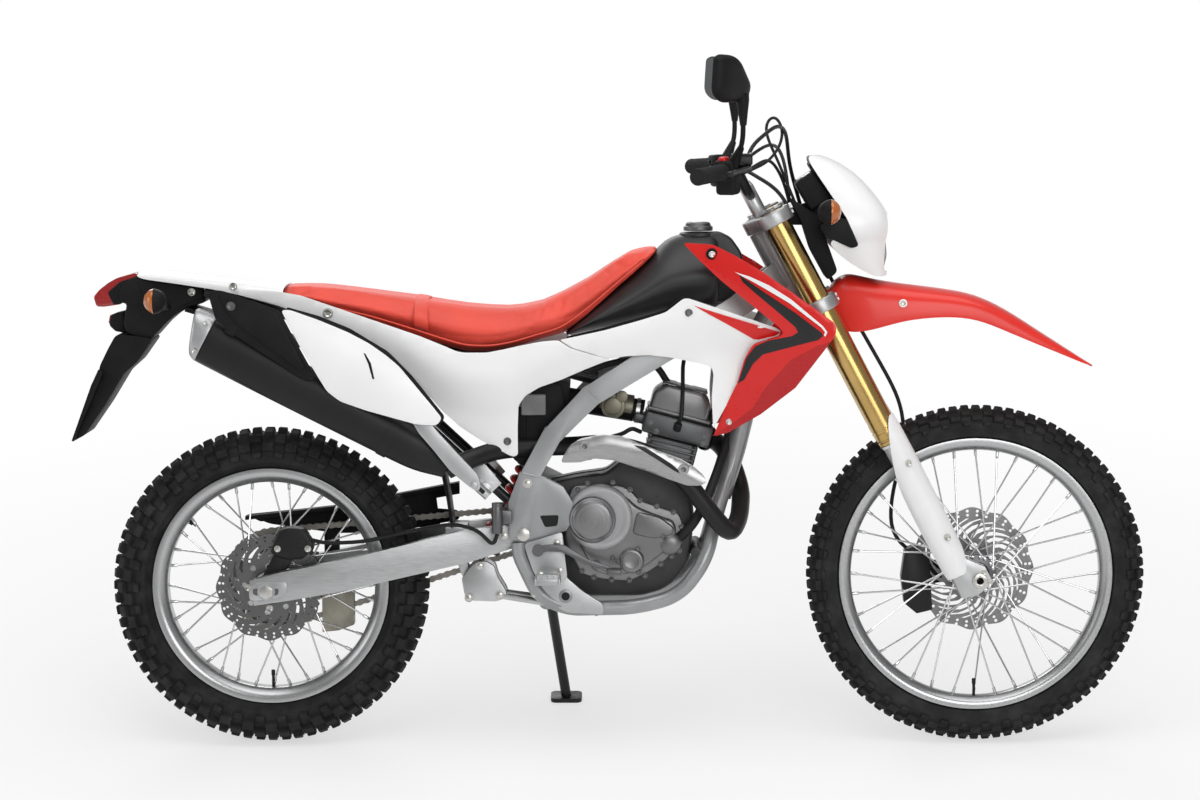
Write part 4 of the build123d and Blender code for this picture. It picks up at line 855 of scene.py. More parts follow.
def makeSpokes(end, wheel):
    count, sweep = spoke["sets"], radians(spoke["sweep"])
    parts = []
    for number, (side, lead) in enumerate([(1, 1), (-1, 1), (1, -1), (-1, -1)]):
        nippleAt = 2 * pi * number / 4 / count
        rootAt = nippleAt + lead * sweep
        reach, rim = wheel["flange"] - 5, wheel["rimFloor"] + 1
        root = Vector((reach * sin(rootAt), side * (wheel["flangeY"] + 4), reach * cos(rootAt)))
        tip = Vector((rim * sin(nippleAt), side * 6, rim * cos(nippleAt)))
        line = (tip - root).normalized()
        parts.append(drum("spoke", root, tip, spoke["radius"], vertices=10))
        parts.append(drum("nipple", tip - line * spoke["nippleLength"], tip - line, spoke["nipple"], 0.5,
            vertices=8))
        parts.append(drum("elbow", root + Vector((0, -side * 8, 0)), root + Vector((0, side * 1.6, 0)), 2.2,
            vertices=10))
        parts.append(drum("elbowHead", root + Vector((0, side * 0.6, 0)), root + Vector((0, side * 2.4, 0)),
            3.6, 0.5, vertices=12))
    spokes = join(end + "Spokes", parts)
    repeatRound(spokes, count, 0.002, end)
    return carry(smooth(spokes, 40), end + "_wheel", spokeSteel)


hubs = {
    "rear": [(-57.5, 11), (-57.5, 30), (-54.5, 33.5), (-50, 33.5), (-50, 60), (-42, 62), (-39, 42),
        (-35.5, 42), (-35.5, 58), (-27, 58), (-24, 33), (-8, 28), (8, 28), (24, 33), (27, 58), (35.5, 58),
        (38, 60), (60, 62), (71, 60), (71, 29.5), (79.5, 29.5), (79.5, 11)],
    "front": [(-59.5, 11), (-59.5, 21), (-38, 27), (-36, 42), (-28, 42), (-24, 24), (0, 20), (24, 24),
        (28, 42), (36, 42), (38, 34), (55.8, 34), (55.8, 23.5), (63.5, 23.5), (63.5, 11)],
}


sealFaces = {"rear": (-57.7, 79.7), "front": (-59.8, 63.7)}


def makeHub(end):
    hub = lathe(end + "Hub", rounded(hubs[end], 2.4, 2), machine[end + "Axle"], 64)
    seals = [lathe("seal", [(y, 11), (y, 22), (y + 3 * out, 20), (y + 3 * out, 11)], machine[end + "Axle"],
        40) for y, out in zip(sealFaces[end], (-1, 1))]
    carry(join(end + "HubSeals", seals), end + "_wheel", gripRubber)
    return carry(hub, end + "_wheel", castAlloy if end == "rear" else darkSteel)


def makeValve(end, wheel):
    centre = Vector(machine[end + "Axle"])
    out = [centre + Vector((0, 0, -1)) * reach for reach in (wheel["rimFloor"] + 1, wheel["rimFloor"] - 22,
        wheel["rimFloor"] - 34)]
    stem = drum(end + "ValveStem", out[0], out[1], 3.0, 0.4, 16)
    cap = drum("cap", out[1], out[2], 4.0, 0.9, 12)
    a = radians(wheel["lock"])
    ray = Vector((sin(a), 0, cos(a)))
    nut = place(boltHead(6.0, 6.0), aim(centre + ray * (wheel["rimFloor"] - 1), -ray))
    post = drum("post", centre + ray * wheel["rimFloor"], centre + ray * (wheel["rimFloor"] - 17), 3.2, 0.5,
        14)
    carry(join(end + "ValveAndLock", [stem, cap, nut, post]), end + "_wheel", gripRubber)


def waveOutline(radius, depth, waves):
    reach = [(radius - depth / 2 + depth / 2 * cos(waves * a), a) for a in ring(168)]
    return [(r * sin(a), r * cos(a)) for r, a in reach]


def curvedSlot(inner, outer, sweep, width, start):
    # a slim slot that leans round the disc as it runs outwards, as a closed outline
    near, far = [], []
    for step in range(6):
        t = step / 5
        radius = inner + (outer - inner) * t
        angle = start + sweep * t ** 1.4
        half = width / 2 / radius * sin(pi * min(0.85, max(0.15, t)))
        near.append((radius * sin(angle - half), radius * cos(angle - half)))
        far.append((radius * sin(angle + half), radius * cos(angle + half)))
    return near + far[::-1]


discs = {
    "front": {"waves": 12, "wave": 6, "thick": 3.6, "slots": 24, "slot": (64, 105, 0.7, 15.5),
        "holes": [(120, 36, 3.3), (111.5, 36, 3.0)], "bore": 24, "windows": [(45, 6, 9)],
        "bolts": (33, 5, 5)},
    "rear": {"waves": 12, "wave": 5, "thick": 3.6, "slots": 18, "slot": (63, 88, 0.5, 13.0),
        "holes": [(103, 36, 3.0), (95.5, 36, 2.6)], "bore": 34, "windows": [(52, 8, 6.5)],
        "bolts": (43, 4, 5.5)},
}


def makeDisc(end, wheel):
    spec, y, half = discs[end], wheel["disc"], discs[end]["thick"] / 2
    rotor = plate(end + "BrakeDisc", waveOutline(wheel["discRadius"] - 0.2, spec["wave"], spec["waves"]),
        y - half, y + half, 0)
    cutters = []
    inner, outer, sweep, width = spec["slot"]
    for start in ring(spec["slots"]):
        cutters.append(plate("slot", curvedSlot(inner, outer, sweep, width, start), y - 8, y + 8, 0))
    for reach, count, radius in spec["holes"] + spec["windows"]:
        for spot in around((0, 0), reach, count, 0, 0.09):
            cutters.append(drum("hole", (spot[0], y - 8, spot[2]), (spot[0], y + 8, spot[2]), radius,
                vertices=12 if radius < 5 else 20))
    cutters.append(drum("bore", (0, y - 9, 0), (0, y + 9, 0), spec["bore"] + 0.3, vertices=48))
    cut(rotor, join("cutter", cutters))
    place(rotor, moved(machine[end + "Axle"]))
    smooth(rotor, 25)
    carry(rotor, end + "_wheel", turnedMetal(end + "DiscSteel", end, (0.30, 0.30, 0.305) if end == "front"
        else (0.20, 0.20, 0.20)), [end + "_disc"])
    reach, count, size = spec["bolts"]
    side = -1 if end == "rear" else 1
    centre = machine[end + "Axle"]
    spots = [(centre[0] + x, y + side * half, centre[2] + z) for x, _, z in around((0, 0), reach, count, 0)]
    carry(bolts(end + "DiscBolts", spots, (0, side, 0), size, 3.0, True), end + "_wheel", zincSteel)


for end, wheel in wheels.items():
    makeTyre(end, wheel)
    makeRim(end, wheel)
    makeSpokes(end, wheel)
    makeHub(end)
    makeValve(end, wheel)
    makeDisc(end, wheel)
print("wheels done")

# Sprockets and chain
drive = {"pitch": 15.875, "roller": 5.1, "y": 74, "rear": ((0, 325), 101.2, 40),
    "front": ((598, 446), 33.2, 13), "outer": (6.9, 8.5), "inner": (5.0, 6.6), "half": 6.6}


def toothOutline(centre, pitchRadius, teeth):
    # a round root between teeth for each roller, and a blunt tip
    points = []
    for index in range(teeth):
        root = 2 * pi * index / teeth
        step = pi / teeth
        for share, radius in ((-0.30, -3.4), (0, -5.0), (0.30, -3.4), (0.52, 0.5), (0.80, 4.0), (1.20, 4.0),
                (1.48, 0.5)):
            a = root + share * step
            points.append((centre[0] + (pitchRadius + radius) * sin(a),
                centre[1] + (pitchRadius + radius) * cos(a)))
    return points


def makeSprockets():
    (x, z), radius, teeth = drive["rear"]
    y = drive["y"]
    wheelPiece = plate("rearSprocketWheel", toothOutline((x, z), radius, teeth), y - 2.9, y + 2.9, 0)
    cutters = [drum("bore", (x, y - 9, z), (x, y + 9, z), 30.1, vertices=48)]
    for a in ring(6, 0.26):
        window = [(x + r * sin(a + o), z + r * cos(a + o)) for r, o in ((60, -0.22), (60, 0.22), (76, 0.30),
            (88, 0.26), (88, -0.26), (76, -0.30))]
        cutters.append(plate("window", rounded(window, 7, 3), y - 9, y + 9, 0))
    cut(wheelPiece, join("cutter", cutters))
    carry(smooth(wheelPiece, 28), "rear_wheel", darkSteel, ["rear_sprocket"])
    spots = [(x + 44 * sin(a), y + 2.9, z + 44 * cos(a)) for a in ring(6)]
    carry(bolts("sprocketBolts", spots, (0, 1, 0), 6.5, 4.5), "rear_wheel", zincSteel)
    (x, z), radius, teeth = drive["front"]
    small = plate("frontSprocketWheel", toothOutline((x, z), radius, teeth), y - 2.9, y + 2.9, 0.5)
    nut = place(boltHead(9, 5), aim((x, y + 2.9, z), (0, 1, 0)))
    finish(join("frontSprocketWheel", [small, nut]), darkSteel, ["front_sprocket"])


def chainSpots():
    # evenly spaced places and directions along the chain's pitch line
    (bx, bz), big, _ = drive["rear"]
    (sx, sz), small, _ = drive["front"]
    line = Vector((sx - bx, 0, sz - bz))
    lead = asin((big - small) / line.length)
    slope = atan2(line.z, line.x)
    run = line.length * cos(lead)
    top, bottom = slope + pi / 2 - lead, slope - pi / 2 + lead
    lengths = [run, small * (top - bottom), run, big * (2 * pi - top + bottom)]
    total = sum(lengths)
    links = 2 * round(total / drive["pitch"] / 2)

    def onCircle(x, z, radius, a):
        return Vector((x + radius * cos(a), 0, z + radius * sin(a)))

    def spot(s):
        if s < lengths[0]:
            return onCircle(bx, bz, big, top) + onCircle(0, 0, s, top - pi / 2)
        s -= lengths[0]
        if s < lengths[1]:
            return onCircle(sx, sz, small, top - s / small)
        s -= lengths[1]
        if s < lengths[2]:
            return onCircle(sx, sz, small, bottom) + onCircle(0, 0, s, bottom - pi / 2)
        return onCircle(bx, bz, big, bottom - (s - lengths[2]) / big)

    return [spot(total * index / links) for index in range(links)]


def chainLink(name, plates, rollers):
    # two waisted side plates and what joins them, from pin to pin along X
    p = drive["pitch"]
    waist = [(-drive["half"] * cos(a), drive["half"] * sin(a)) for a in (-1.2, -0.6, 0, 0.6, 1.2)]
    outline = waist + [(p / 2, 4.2)] + [(p - x, z) for x, z in reversed(waist)] + [(p / 2, -4.2)]
    low, high = plates
    parts = [plate("side", outline, low, high, 0), plate("side", outline, -high, -low, 0)]
    for x in (0, p):
        parts.append(drum("pin", (x, -high - (0 if rollers else 0.9), 0),
            (x, high + (0 if rollers else 0.9), 0), drive["roller"] if rollers else 2.6, vertices=10))
    return smooth(join(name, parts), 40)


def makeChain():
    spots = chainSpots()
    kinds = [chainLink("outerLink", drive["outer"], False), chainLink("innerLink", drive["inner"], True)]
    links = []
    for index, spot in enumerate(spots):
        ahead = spots[(index + 1) % len(spots)] - spot
        turn = Matrix.Rotation(-atan2(ahead.z, ahead.x), 4, "Y")
        twin = copyOf(kinds[index % 2])
        links.append(place(twin, moved(spot + Vector((0, drive["y"], 0))) @ turn))
    for kind in kinds:
        bpy.data.objects.remove(kind)
    finish(join("driveChain", links), chainSteel, ["chain"])


makeSprockets()
makeChain()
print("chain and sprockets done")

# Side panels, shrouds, tank, seat and tail
panelPlan = [(-60, 117), (120, 129), (480, 133), (700, 136), (900, 145), (1060, 155)]
panelRidge = [(-60, 930), (100, 898), (250, 842), (380, 762), (500, 752), (640, 826), (780, 856), (900, 884),
    (1040, 858)]
shroudPlan = [(835, 145), (905, 161), (1020, 185), (1160, 209)]
seam = [(597, 838), (622, 822), (666, 808), (700, 799)]
frontPanel = seam[::-1] + [(610, 840), (689, 857), (767, 879), (811, 893), (838, 914), (846, 920), (856, 921),
    (940, 893), (1030, 862), (1041, 855), (1037, 846), (1010, 838), (986, 829), (974, 797), (954, 744),
    (906, 656), (903, 720), (907, 768), (902, 781), (889, 787), (819, 801), (776, 806), (733, 804)]
rearPanel = [(x - 2.5, z - 1.0) for x, z in seam] + [(696, 796), (646, 776), (600, 756), (556, 741),
    (528, 724), (514, 704), (512, 660), (512, 604), (505, 600), (496, 602), (440, 632), (394, 662),
    (378, 677), (361, 692), (321, 737), (299, 765), (277, 788), (254, 806), (226, 827), (183, 848),
    (148, 864), (80, 890), (13, 914), (-48, 929), (-48, 940), (24, 937), (77, 928), (142, 906), (209, 883),
    (270, 862), (316, 846), (372, 823), (390, 815), (406, 812), (451, 812), (484, 818), (519, 826),
    (560, 834)]


def panelFace(x, z):
    ridge = softLevel(panelRidge, x)
    fall = 0.30 if z < ridge else 0.10
    fade = min(1, max(0.2, (x + 60) / 260))
    return softLevel(panelPlan, x) - fade * min(20, fall * sqrt((z - ridge) ** 2 + 100) - 3)


def shroudFace(x, z):
    ridge = level([(835, 1010), (960, 962), (1150, 852)], x)
    low = max(0, ridge - 36 - z)
    return softLevel(shroudPlan, x) - 0.10 * sqrt((z - ridge) ** 2 + 60) + 0.8 - min(14, low * 0.06)


def bothSides(piece, name, material, stands=()):
    # the left piece and its mirror image as one
    twin = copyOf(piece)
    twin.name = name
    return finish(join(name, [piece, otherSide(twin)]), material, stands)


def makePanels():
    front = panel("frontPanel", rounded(frontPanel, 6, 2), panelFace, 3.0, 16, 0.9)
    rear = panel("rearPanel", rounded(rearPanel, 5, 2), panelFace, 3.0, 16, 0.9)
    back = drum("panelBoss", (430, 96, 801.7), (430, 124, 801.7), 8)
    bothSides(join("sidePanels", [front, rear, back]), "sidePanels", whitePlastic,
        ["side_panels"])
    dart = [(866, 907), (900, 896), (1040, 853), (1030, 846), (996, 838), (986, 839), (932, 870), (899, 888)]
    bothSides(decal("dart", dart, panelFace, 0.9, 8), "dartDecals", redPlastic)
    spots = [(857, panelFace(857, 892) - 0.4, 892), (491, panelFace(491, 631) - 0.4, 631)]
    bothSides(bolts("panelBolts", spots, (0, 1, 0), 6.0, 3.0, True), "panelBolts", darkSteel)


def makeShrouds():
    outline = [(845, 1032), (872, 1031), (905, 1029), (948, 1008), (1000, 978), (1060, 936), (1143, 877),
        (1149, 867), (1147, 851), (1129, 825), (1069, 743), (1000, 687), (935, 648), (906, 640), (930, 700),
        (953, 748), (968, 800), (984, 829), (1010, 838), (1036, 846), (1045, 853), (1038, 864), (960, 926),
        (920, 958), (884, 992)]
    shroud = panel("shroud", rounded(outline, 7, 2), shroudFace, 3.0, 15, 1.0)
    boss = drum("shroudBoss", (903, 64, 1008), (903, 140, 1008), 9)
    bothSides(join("shrouds", [shroud, boss]), "shrouds", redPlastic, ["shrouds"])
    chevron = [(956, 970), (1005, 936), (1070, 893), (1120, 855), (1122, 849), (1113, 841), (1043, 821),
        (1005, 810), (985, 790), (968, 758), (955, 749), (972, 803), (989, 826), (1015, 838), (1062, 848),
        (1073, 856), (1068, 866), (1038, 892), (990, 932), (964, 955)]
    stripe = [(948, 975), (978, 966), (1016, 949), (1060, 921), (1122, 869), (1131, 857), (1127, 848),
        (1124, 850), (1126, 857), (1119, 866), (1056, 914), (1012, 940), (982, 957), (962, 967)]
    bothSides(decal("chevron", chevron, shroudFace, 0.5), "chevronDecals", blackGloss)
    bothSides(decal("stripe", stripe, shroudFace, 0.8), "stripeDecals", whitePlastic)
    # the darker red film along the shroud's lower wing is painted shade on the part that faces in and down
    paintedShadeWing = [(903, 641), (935, 648), (1000, 687), (1069, 743), (1129, 825), (1138, 838), (1112, 829),
        (1060, 800), (1010, 742), (985, 700), (940, 664)]
    bothSides(decal("paintedShadeEdge", paintedShadeWing, shroudFace, 0.5), "paintedShadeEdgeDecals", paintedShadeRed)
    collar = lathe("collar", [(0, 3.5), (0, 12), (2.4, 11), (3.2, 9), (1.4, 7.5), (1.4, 3.5)],
        (903, shroudFace(903, 1010) - 0.8, 1010), 32)
    bothSides(collar, "shroudCollars", blackPlastic)
    bothSides(bolts("shroudBolts", [(x, shroudFace(x, z), z) for x, z in ((903, 1010), (938, 671))],
        (0, 1, 0), 5.2, 3.0, True, 1.2), "shroudBolts", zincSteel)


def makeTank():
    # x, low, high, half widths low, middle and high
    rows = [(607, 838, 845, 60, 88, 70), (625, 844, 861, 76, 106, 84), (655, 850, 886, 84, 111, 82),
        (705, 858, 931, 88, 111.5, 74), (768, 872, 984, 90, 111.5, 64), (800, 880, 1020, 90, 111.5, 58),
        (820, 884, 1036, 90, 111.5, 56), (850, 884, 1044, 90, 111, 54), (890, 890, 1046, 84, 109, 52),
        (912, 898, 1042, 76, 106, 46), (922, 910, 1030, 66, 100, 38)]
    body = skin("tankShell", [section(*row, crown=2, square=3.0, count=32) for row in rows], level=1)
    nose = [(880, 1047), (921, 1048), (945, 1036), (965, 1008), (970.5, 986), (962, 920), (956, 906),
        (880, 906)]
    nose = plate("tankNose", rounded(nose, 8, 3), -29.5, 29.5, 7, 3)
    finish(join("tankShell", [body, nose]), tankPlastic, ["fuel_tank"])
    rim = lathe("fillerRim", [(-13, 24), (-13, 35), (-9, 38), (-4, 38), (-2, 34), (-2, 24)], (878, 0, 1049),
        48, (0, 0, 1))
    finish(rim, tankPlastic)
    cap = lathe("cap", rounded([(0, 0.2), (0, 30), (8, 30), (10, 26), (15, 25), (17.5, 21), (17.5, 0.2)], 1.6,
        2), (878, 0, 1050), 40, (0, 0, 1))
    grip = plate("capGrip", rounded([(855, 1062), (855, 1067.6), (901, 1067.6), (901, 1062)], 2, 2), -5, 5,
        1.2)
    finish(join("fuelCap", [cap, grip]), darkSteel, ["fuel_cap"])
    flap = plate("tankTag", rounded([(866, 1066), (866, 1067.8), (890, 1067.8), (890, 1066)], 0.8, 2), -14,
        14, 0.4)
    finish(flap, zincSteel)
    fine = [(612, 843), (689, 862), (767, 884), (811, 898), (839, 921), (852, 924), (905, 905), (905, 897),
        (856, 914), (843, 912), (815, 888), (767, 872), (689, 850), (612, 834)]
    trim = panel("tankSkirt", fine, lambda x, z: 121 + 0.02 * (x - 600), 3, 20, 0.8)
    bothSides(trim, "tankSkirts", blackPlastic)


seatRows = [(18, 928, 939.5, 60, 80, 50), (36, 925, 940, 68, 88, 58), (56, 921, 940.5, 76, 93, 64),
    (80, 913, 940.5, 82, 99, 68), (116, 900, 940, 88, 104, 74), (160, 888, 935, 94, 106, 78),
    (209, 876, 929, 98, 109, 80), (262, 859, 922, 102, 115, 84), (316, 840, 915, 106, 120, 86),
    (360, 824, 907, 110, 124, 86), (406, 809, 900.5, 112, 125, 84), (451, 807, 896.5, 112, 124, 82),
    (490, 813, 895, 110, 122, 80), (519, 822, 897.5, 108, 119, 76), (560, 835, 906, 104, 114, 70),
    (603, 845, 925, 98, 108, 64), (655, 886, 953, 92, 100, 56), (705, 931, 986, 84, 90, 50),
    (745, 966, 1010, 76, 82, 44), (768, 986, 1024, 66, 74, 38), (786, 1004, 1031, 52, 62, 32),
    (796, 1016, 1030, 36, 46, 24)]


# the blown-up cover: cell size, pressure, steps of the run and how far it may move
foamFill = {"cell": 5, "pressure": 4, "quality": 6, "steps": 20, "reach": 9}


def makeSeat():
    slim = 0.975
    foam = skin("seatFoam", [section(x, low + 2, high - (5), a * slim, b * slim,
        c * slim, crown=3, square=2.7, count=32) for x, low, high, a, b, c in seatRows], level=1)
    modify(foam, "REMESH", mode="VOXEL", voxel_size=foamFill["cell"] * mm)
    rest = [vertex.co.copy() for vertex in foam.data.vertices]
    pick(foam)
    cloth = foam.modifiers.new("foamFill", "CLOTH")
    cloth.settings.use_pressure = True
    cloth.settings.uniform_pressure_force = foamFill["pressure"]
    cloth.settings.effector_weights.gravity = 0
    cloth.settings.quality = foamFill["quality"]
    for number in range(1, foamFill["steps"] + 1):
        bpy.context.scene.frame_set(number)
    bpy.ops.object.modifier_apply(modifier="foamFill")
    bpy.context.scene.frame_set(1)
    for vertex, start in zip(foam.data.vertices, rest):
        move = vertex.co - start
        if move.length > foamFill["reach"] * mm:
            vertex.co = start + move.normalized() * foamFill["reach"] * mm
    modify(foam, "LAPLACIANSMOOTH", iterations=2, lambda_factor=0.4)
    modify(foam, "SUBSURF", levels=1, render_levels=1)
    hold = seatLimits()
    for vertex in foam.data.vertices:
        x, y, z = vertex.co / mm
        low, high, half = level(hold["low"], x), level(hold["high"], x), level(hold["half"], x)
        vertex.co = metres((x, max(-half, min(half, y)), max(low, min(high, z))))
    smooth(foam, 80)
    finish(foam, seatVinyl, ["seat"])


def seatLimits():
    # how far the cover may go at each place along the seat
    return {"low": [(row[0], row[1] + 0.5) for row in seatRows],
        "high": [(row[0], row[2] + 1.5) for row in seatRows],
        "half": [(row[0], row[4] + 1.0) for row in seatRows]}


def seatRow(x):
    low, *others = [level([(row[0], row[index]) for row in seatRows], x) for index in range(1, 6)]
    return x, low + 2, *others


def makeSeatTrim():
    # the passenger's strap over the seat, and a piped seam along each side
    rows = []
    for x, lift in ((304, 0.4), (304.5, 2.6), (311, 3.2), (326, 3.2), (332.5, 2.6), (333, 0.4)):
        around = section(*seatRow(x), crown=3, square=2.7, count=40)
        rows.append([(px, py * (1 + lift / 120), pz + (lift if pz > 880 else 0)) for px, py, pz in around])
    strap = skin("seatStrap", rows, caps=False, level=1)
    finish(strap, seatVinyl)
    for side in (1, -1):
        route = []
        for x in range(70, 790, 24):
            low, high, mid = (level([(r[0], r[i]) for r in seatRows], x) for i in (1, 2, 4))
            route.append((x, side * (mid - 1.5), low + (high - low) * 0.2))
        finish(pipe("seatPiping", route, 1.6, resolution=4, sides=3), seatVinyl)
    bolt = bolts("seatBolts", [(133, panelFace(133, 892) - 0.6, 892)], (0, 1, 0), 7.0, 4.0, True, 1.5)
    bothSides(bolt, "seatBolts", zincSteel)


def makeTail():
    # x, side low, top, half width
    rows = [(-261, 962, 973, 54), (-246, 957, 977, 62), (-200, 952, 972.5, 72), (-150, 945, 967.5, 84),
        (-110, 940, 963.5, 92), (-56, 930, 958, 100), (0, 914, 950.5, 105), (22, 908, 947, 107),
        (40, 903, 944, 108)]
    shape = []
    for x, low, top, half in rows:
        inner = half - 14
        shape.append([(x, half, low), (x, half + 1, low + (top - low) * 0.45), (x, half - 6, top - 8),
            (x, inner - 8, top - 3), (x, inner * 0.45, top - 0.8), (x, 0, top), (x, -inner * 0.45, top - 0.8),
            (x, 8 - inner, top - 3), (x, 6 - half, top - 8), (x, -half - 1, low + (top - low) * 0.45),
            (x, -half, low)])
    cover = skin("tailCover", shape, closed=False, level=2)
    thicken(turnOver(cover, lambda face: face.normal.z), 2.6, 0.7)
    pad = plate("tailPad", rounded([(-250, 955), (-246, 962), (-60, 944), (50, 920), (50, 905), (-60, 925)],
        4, 2), -50, 50, 1)
    finish(join("tailCover", [cover, pad]), whitePlastic, ["tail_cover"])
    under = [(-288, 951), (-252, 968), (-240, 962), (-200, 955), (-125, 940), (-124, 925), (-123, 910),
        (-162, 897), (-185, 884), (-204, 868), (-222, 848), (-233, 836), (-262, 838), (-285, 848),
        (-290, 870), (-283, 907), (-296, 910), (-300, 930)]
    boxShape = plate("underTail", rounded(under, 6, 3), -55, 55, 4.0, 3)
    flare = plate("underTailFlare", rounded([(-262, 958), (-130, 938), (-126, 918), (-165, 905), (-200, 885),
        (-240, 905)], 8, 3), -57.5, 57.5, 2.5, 3)
    liner = plate("underTailLiner", rounded([(-160, 900), (0, 852), (170, 790), (320, 722), (316, 716),
        (168, 782), (0, 843), (-166, 892)], 2, 1), -62, 62, 2)
    bracket = plate("plateBracket", rounded([(-308, 840), (-300, 846), (-236, 838), (-232, 832), (-262, 790),
        (-290, 765), (-330, 700), (-372, 640), (-396, 627), (-385, 655), (-352, 722), (-338, 783),
        (-322, 815)], 5, 3), -62, 62, 3, 2)
    hood = plate("plateLampHood", rounded([(-322, 862), (-318, 884), (-294, 890), (-288, 846), (-310, 850)],
        4, 3), -34, 34, 3)
    rim = plate("mudflapRim", rounded([(-356, 742), (-340, 776), (-330, 770), (-345, 735), (-392, 628),
        (-398, 628)], 3, 2), -71.5, 71.5, 2)
    finish(join("rearFender", [boxShape, flare, liner, bracket, rim]), blackPlastic,
        ["rear_fender"])
    finish(hood, blackPlastic)
    finish(plate("rearReflector", rounded([(-325, 866), (-322, 882), (-317, 884), (-314, 860)], 2, 2), -26,
        26, 1), redLens)
    screws = bolts("tailScrews", [(-150, 57.8, 931), (-60, 100, 945)], (0, 1, 0), 6.0, 3.0, True, 1.3)
    bothSides(screws, "tailScrews", zincSteel)


def makeTailLamp():
    outline = [(-352, 921), (-340, 935), (-322, 949), (-303, 959.5), (-268, 969.5), (-262, 968), (-262, 957),
        (-292, 950), (-296, 930), (-294, 906), (-330, 900.5), (-346, 901)]
    lamp = plate("tailLamp", rounded(outline, 5, 3), -46, 46, 7.0, 4)
    trim = plate("tailLampTrim", rounded([(-322, 930), (-296, 952), (-262, 962), (-262, 951), (-290, 944),
        (-293, 908), (-310, 905)], 4, 3), -50, 50, 3, 3)
    finish(lamp, redLens, ["rear_lights"])
    finish(trim, blackPlastic)
    for side in (1, -1):
        turnSignal("rear", (-212, side * 124, 914), (-215, side * 176, 923), (-200, side * 56, 898), 27,
            "chassis")


def turnSignal(name, inner, outer, root, radius, body):
    # a black egg-shaped housing with an orange lens that faces along the machine
    inner, outer = Vector(inner), Vector(outer)
    reach = (outer - inner).length
    ahead = 1 if name == "front" else -1
    centre = (inner + outer) / 2
    profile = [(-0.98, 0.02), (-0.92, 0.34), (-0.70, 0.66), (-0.36, 0.88), (0.0, 0.98), (0.02, 0.02)]
    lensProfile = [(0.03, 0.02), (0.03, 0.95), (0.12, 0.95), (0.42, 0.80), (0.68, 0.52), (0.82, 0.02)]
    half = radius * 0.98
    shell = lathe("signalShell", [(a * half, r * half) for a, r in profile], (0, 0, 0), 40, (ahead, 0, 0))
    glass = lathe("signalLens", [(a * half, r * half) for a, r in lensProfile], (0, 0, 0), 40, (ahead, 0, 0))
    for part in (shell, glass):
        place(part, moved(centre) @ Matrix.Diagonal((1, reach / 2 / half * 0.97, 1, 1)))
    rubberBoot = drum("signalStalk", root, tuple(inner + (outer - inner) * 0.25), 7.6, 1.0, 24)
    carry(join(name + "SignalShell", [shell, rubberBoot]), body, blackPlastic)
    carry(glass, body, orangeLens)


makePanels()
makeShrouds()
makeTank()
makeSeat()
makeSeatTrim()
makeTail()
makeTailLamp()
print("bodywork done")

# Fork, clamps, fender, cowl, lights and controls
leg = {"ahead": 32, "across": 98, "axle": 358.98, "tube": 26}


def legPoint(side, up, a=0.0, radius=0.0):
    # a point on, or round, a fork leg's axis: angle 0 is straight ahead, and positive turns outwards
    return forkPoint(leg["ahead"] + radius * cos(a), side * (leg["across"] + radius * sin(a)), up)


def legTurned(name, profile, side):
    # a shape turned about a fork leg, from (up the leg, radius) points
    piece = lathe(name, profile, (0, 0, 0), 48, tuple(forkUp))
    return place(piece, moved(forkPoint(leg["ahead"], side * leg["across"], 0)))


def makeFork():
    tubes, sliders, caps = [], [], []
    for side in (1, -1):
        r = leg["tube"]
        outside = [(690, 21.3), (690, 24.6), (692, r), (697, r), (698.5, 24.8), (701, 24.8), (702.5, r),
            (716, r), (717, 25.3), (724, 25.3), (725, r), (1172, r), (1180, 25.6), (1214, 25.6), (1216, 24),
            (1216, 21.3)]
        tubes.append(legTurned("goldTube", outside, side))
        caps.append(legTurned("forkCap", [(1208, 0.2), (1208, 24.4), (1218, 24.4), (1219, 22), (1219, 9),
            (1221.5, 8), (1221.5, 0.2)], side))
        sliders.append(legTurned("chromeLeg", [(380, 0.2), (380, 20.8), (700, 20.8), (700, 0.2)], side))
        sliders.append(legTurned("dustSeal", [(684, 21), (684, 25), (689.5, 25.6), (689.5, 21)], side))
    steer(join("forkTubes", tubes), goldTube, ["fork_tubes"])
    steer(join("forkCaps", caps), darkSteel)
    refine("fork_sliders", "forkLowers", castAlloy, 2.2, 3, 30)
    steer(join("forkStanchions", sliders), spokeSteel)
    refine("front_axle", "frontAxleBolt", zincSteel, 1.0)
    blocks = []
    for side in (1, -1):
        for up in (-13, 12):
            spot = forkPoint(76, side * 119.2, leg["axle"] + up)
            blocks.append(place(boltHead(4.2, 3, 1.3, True), aim(spot, (0, side, 0))))
    steer(join("axlePinchBolts", blocks), zincSteel)


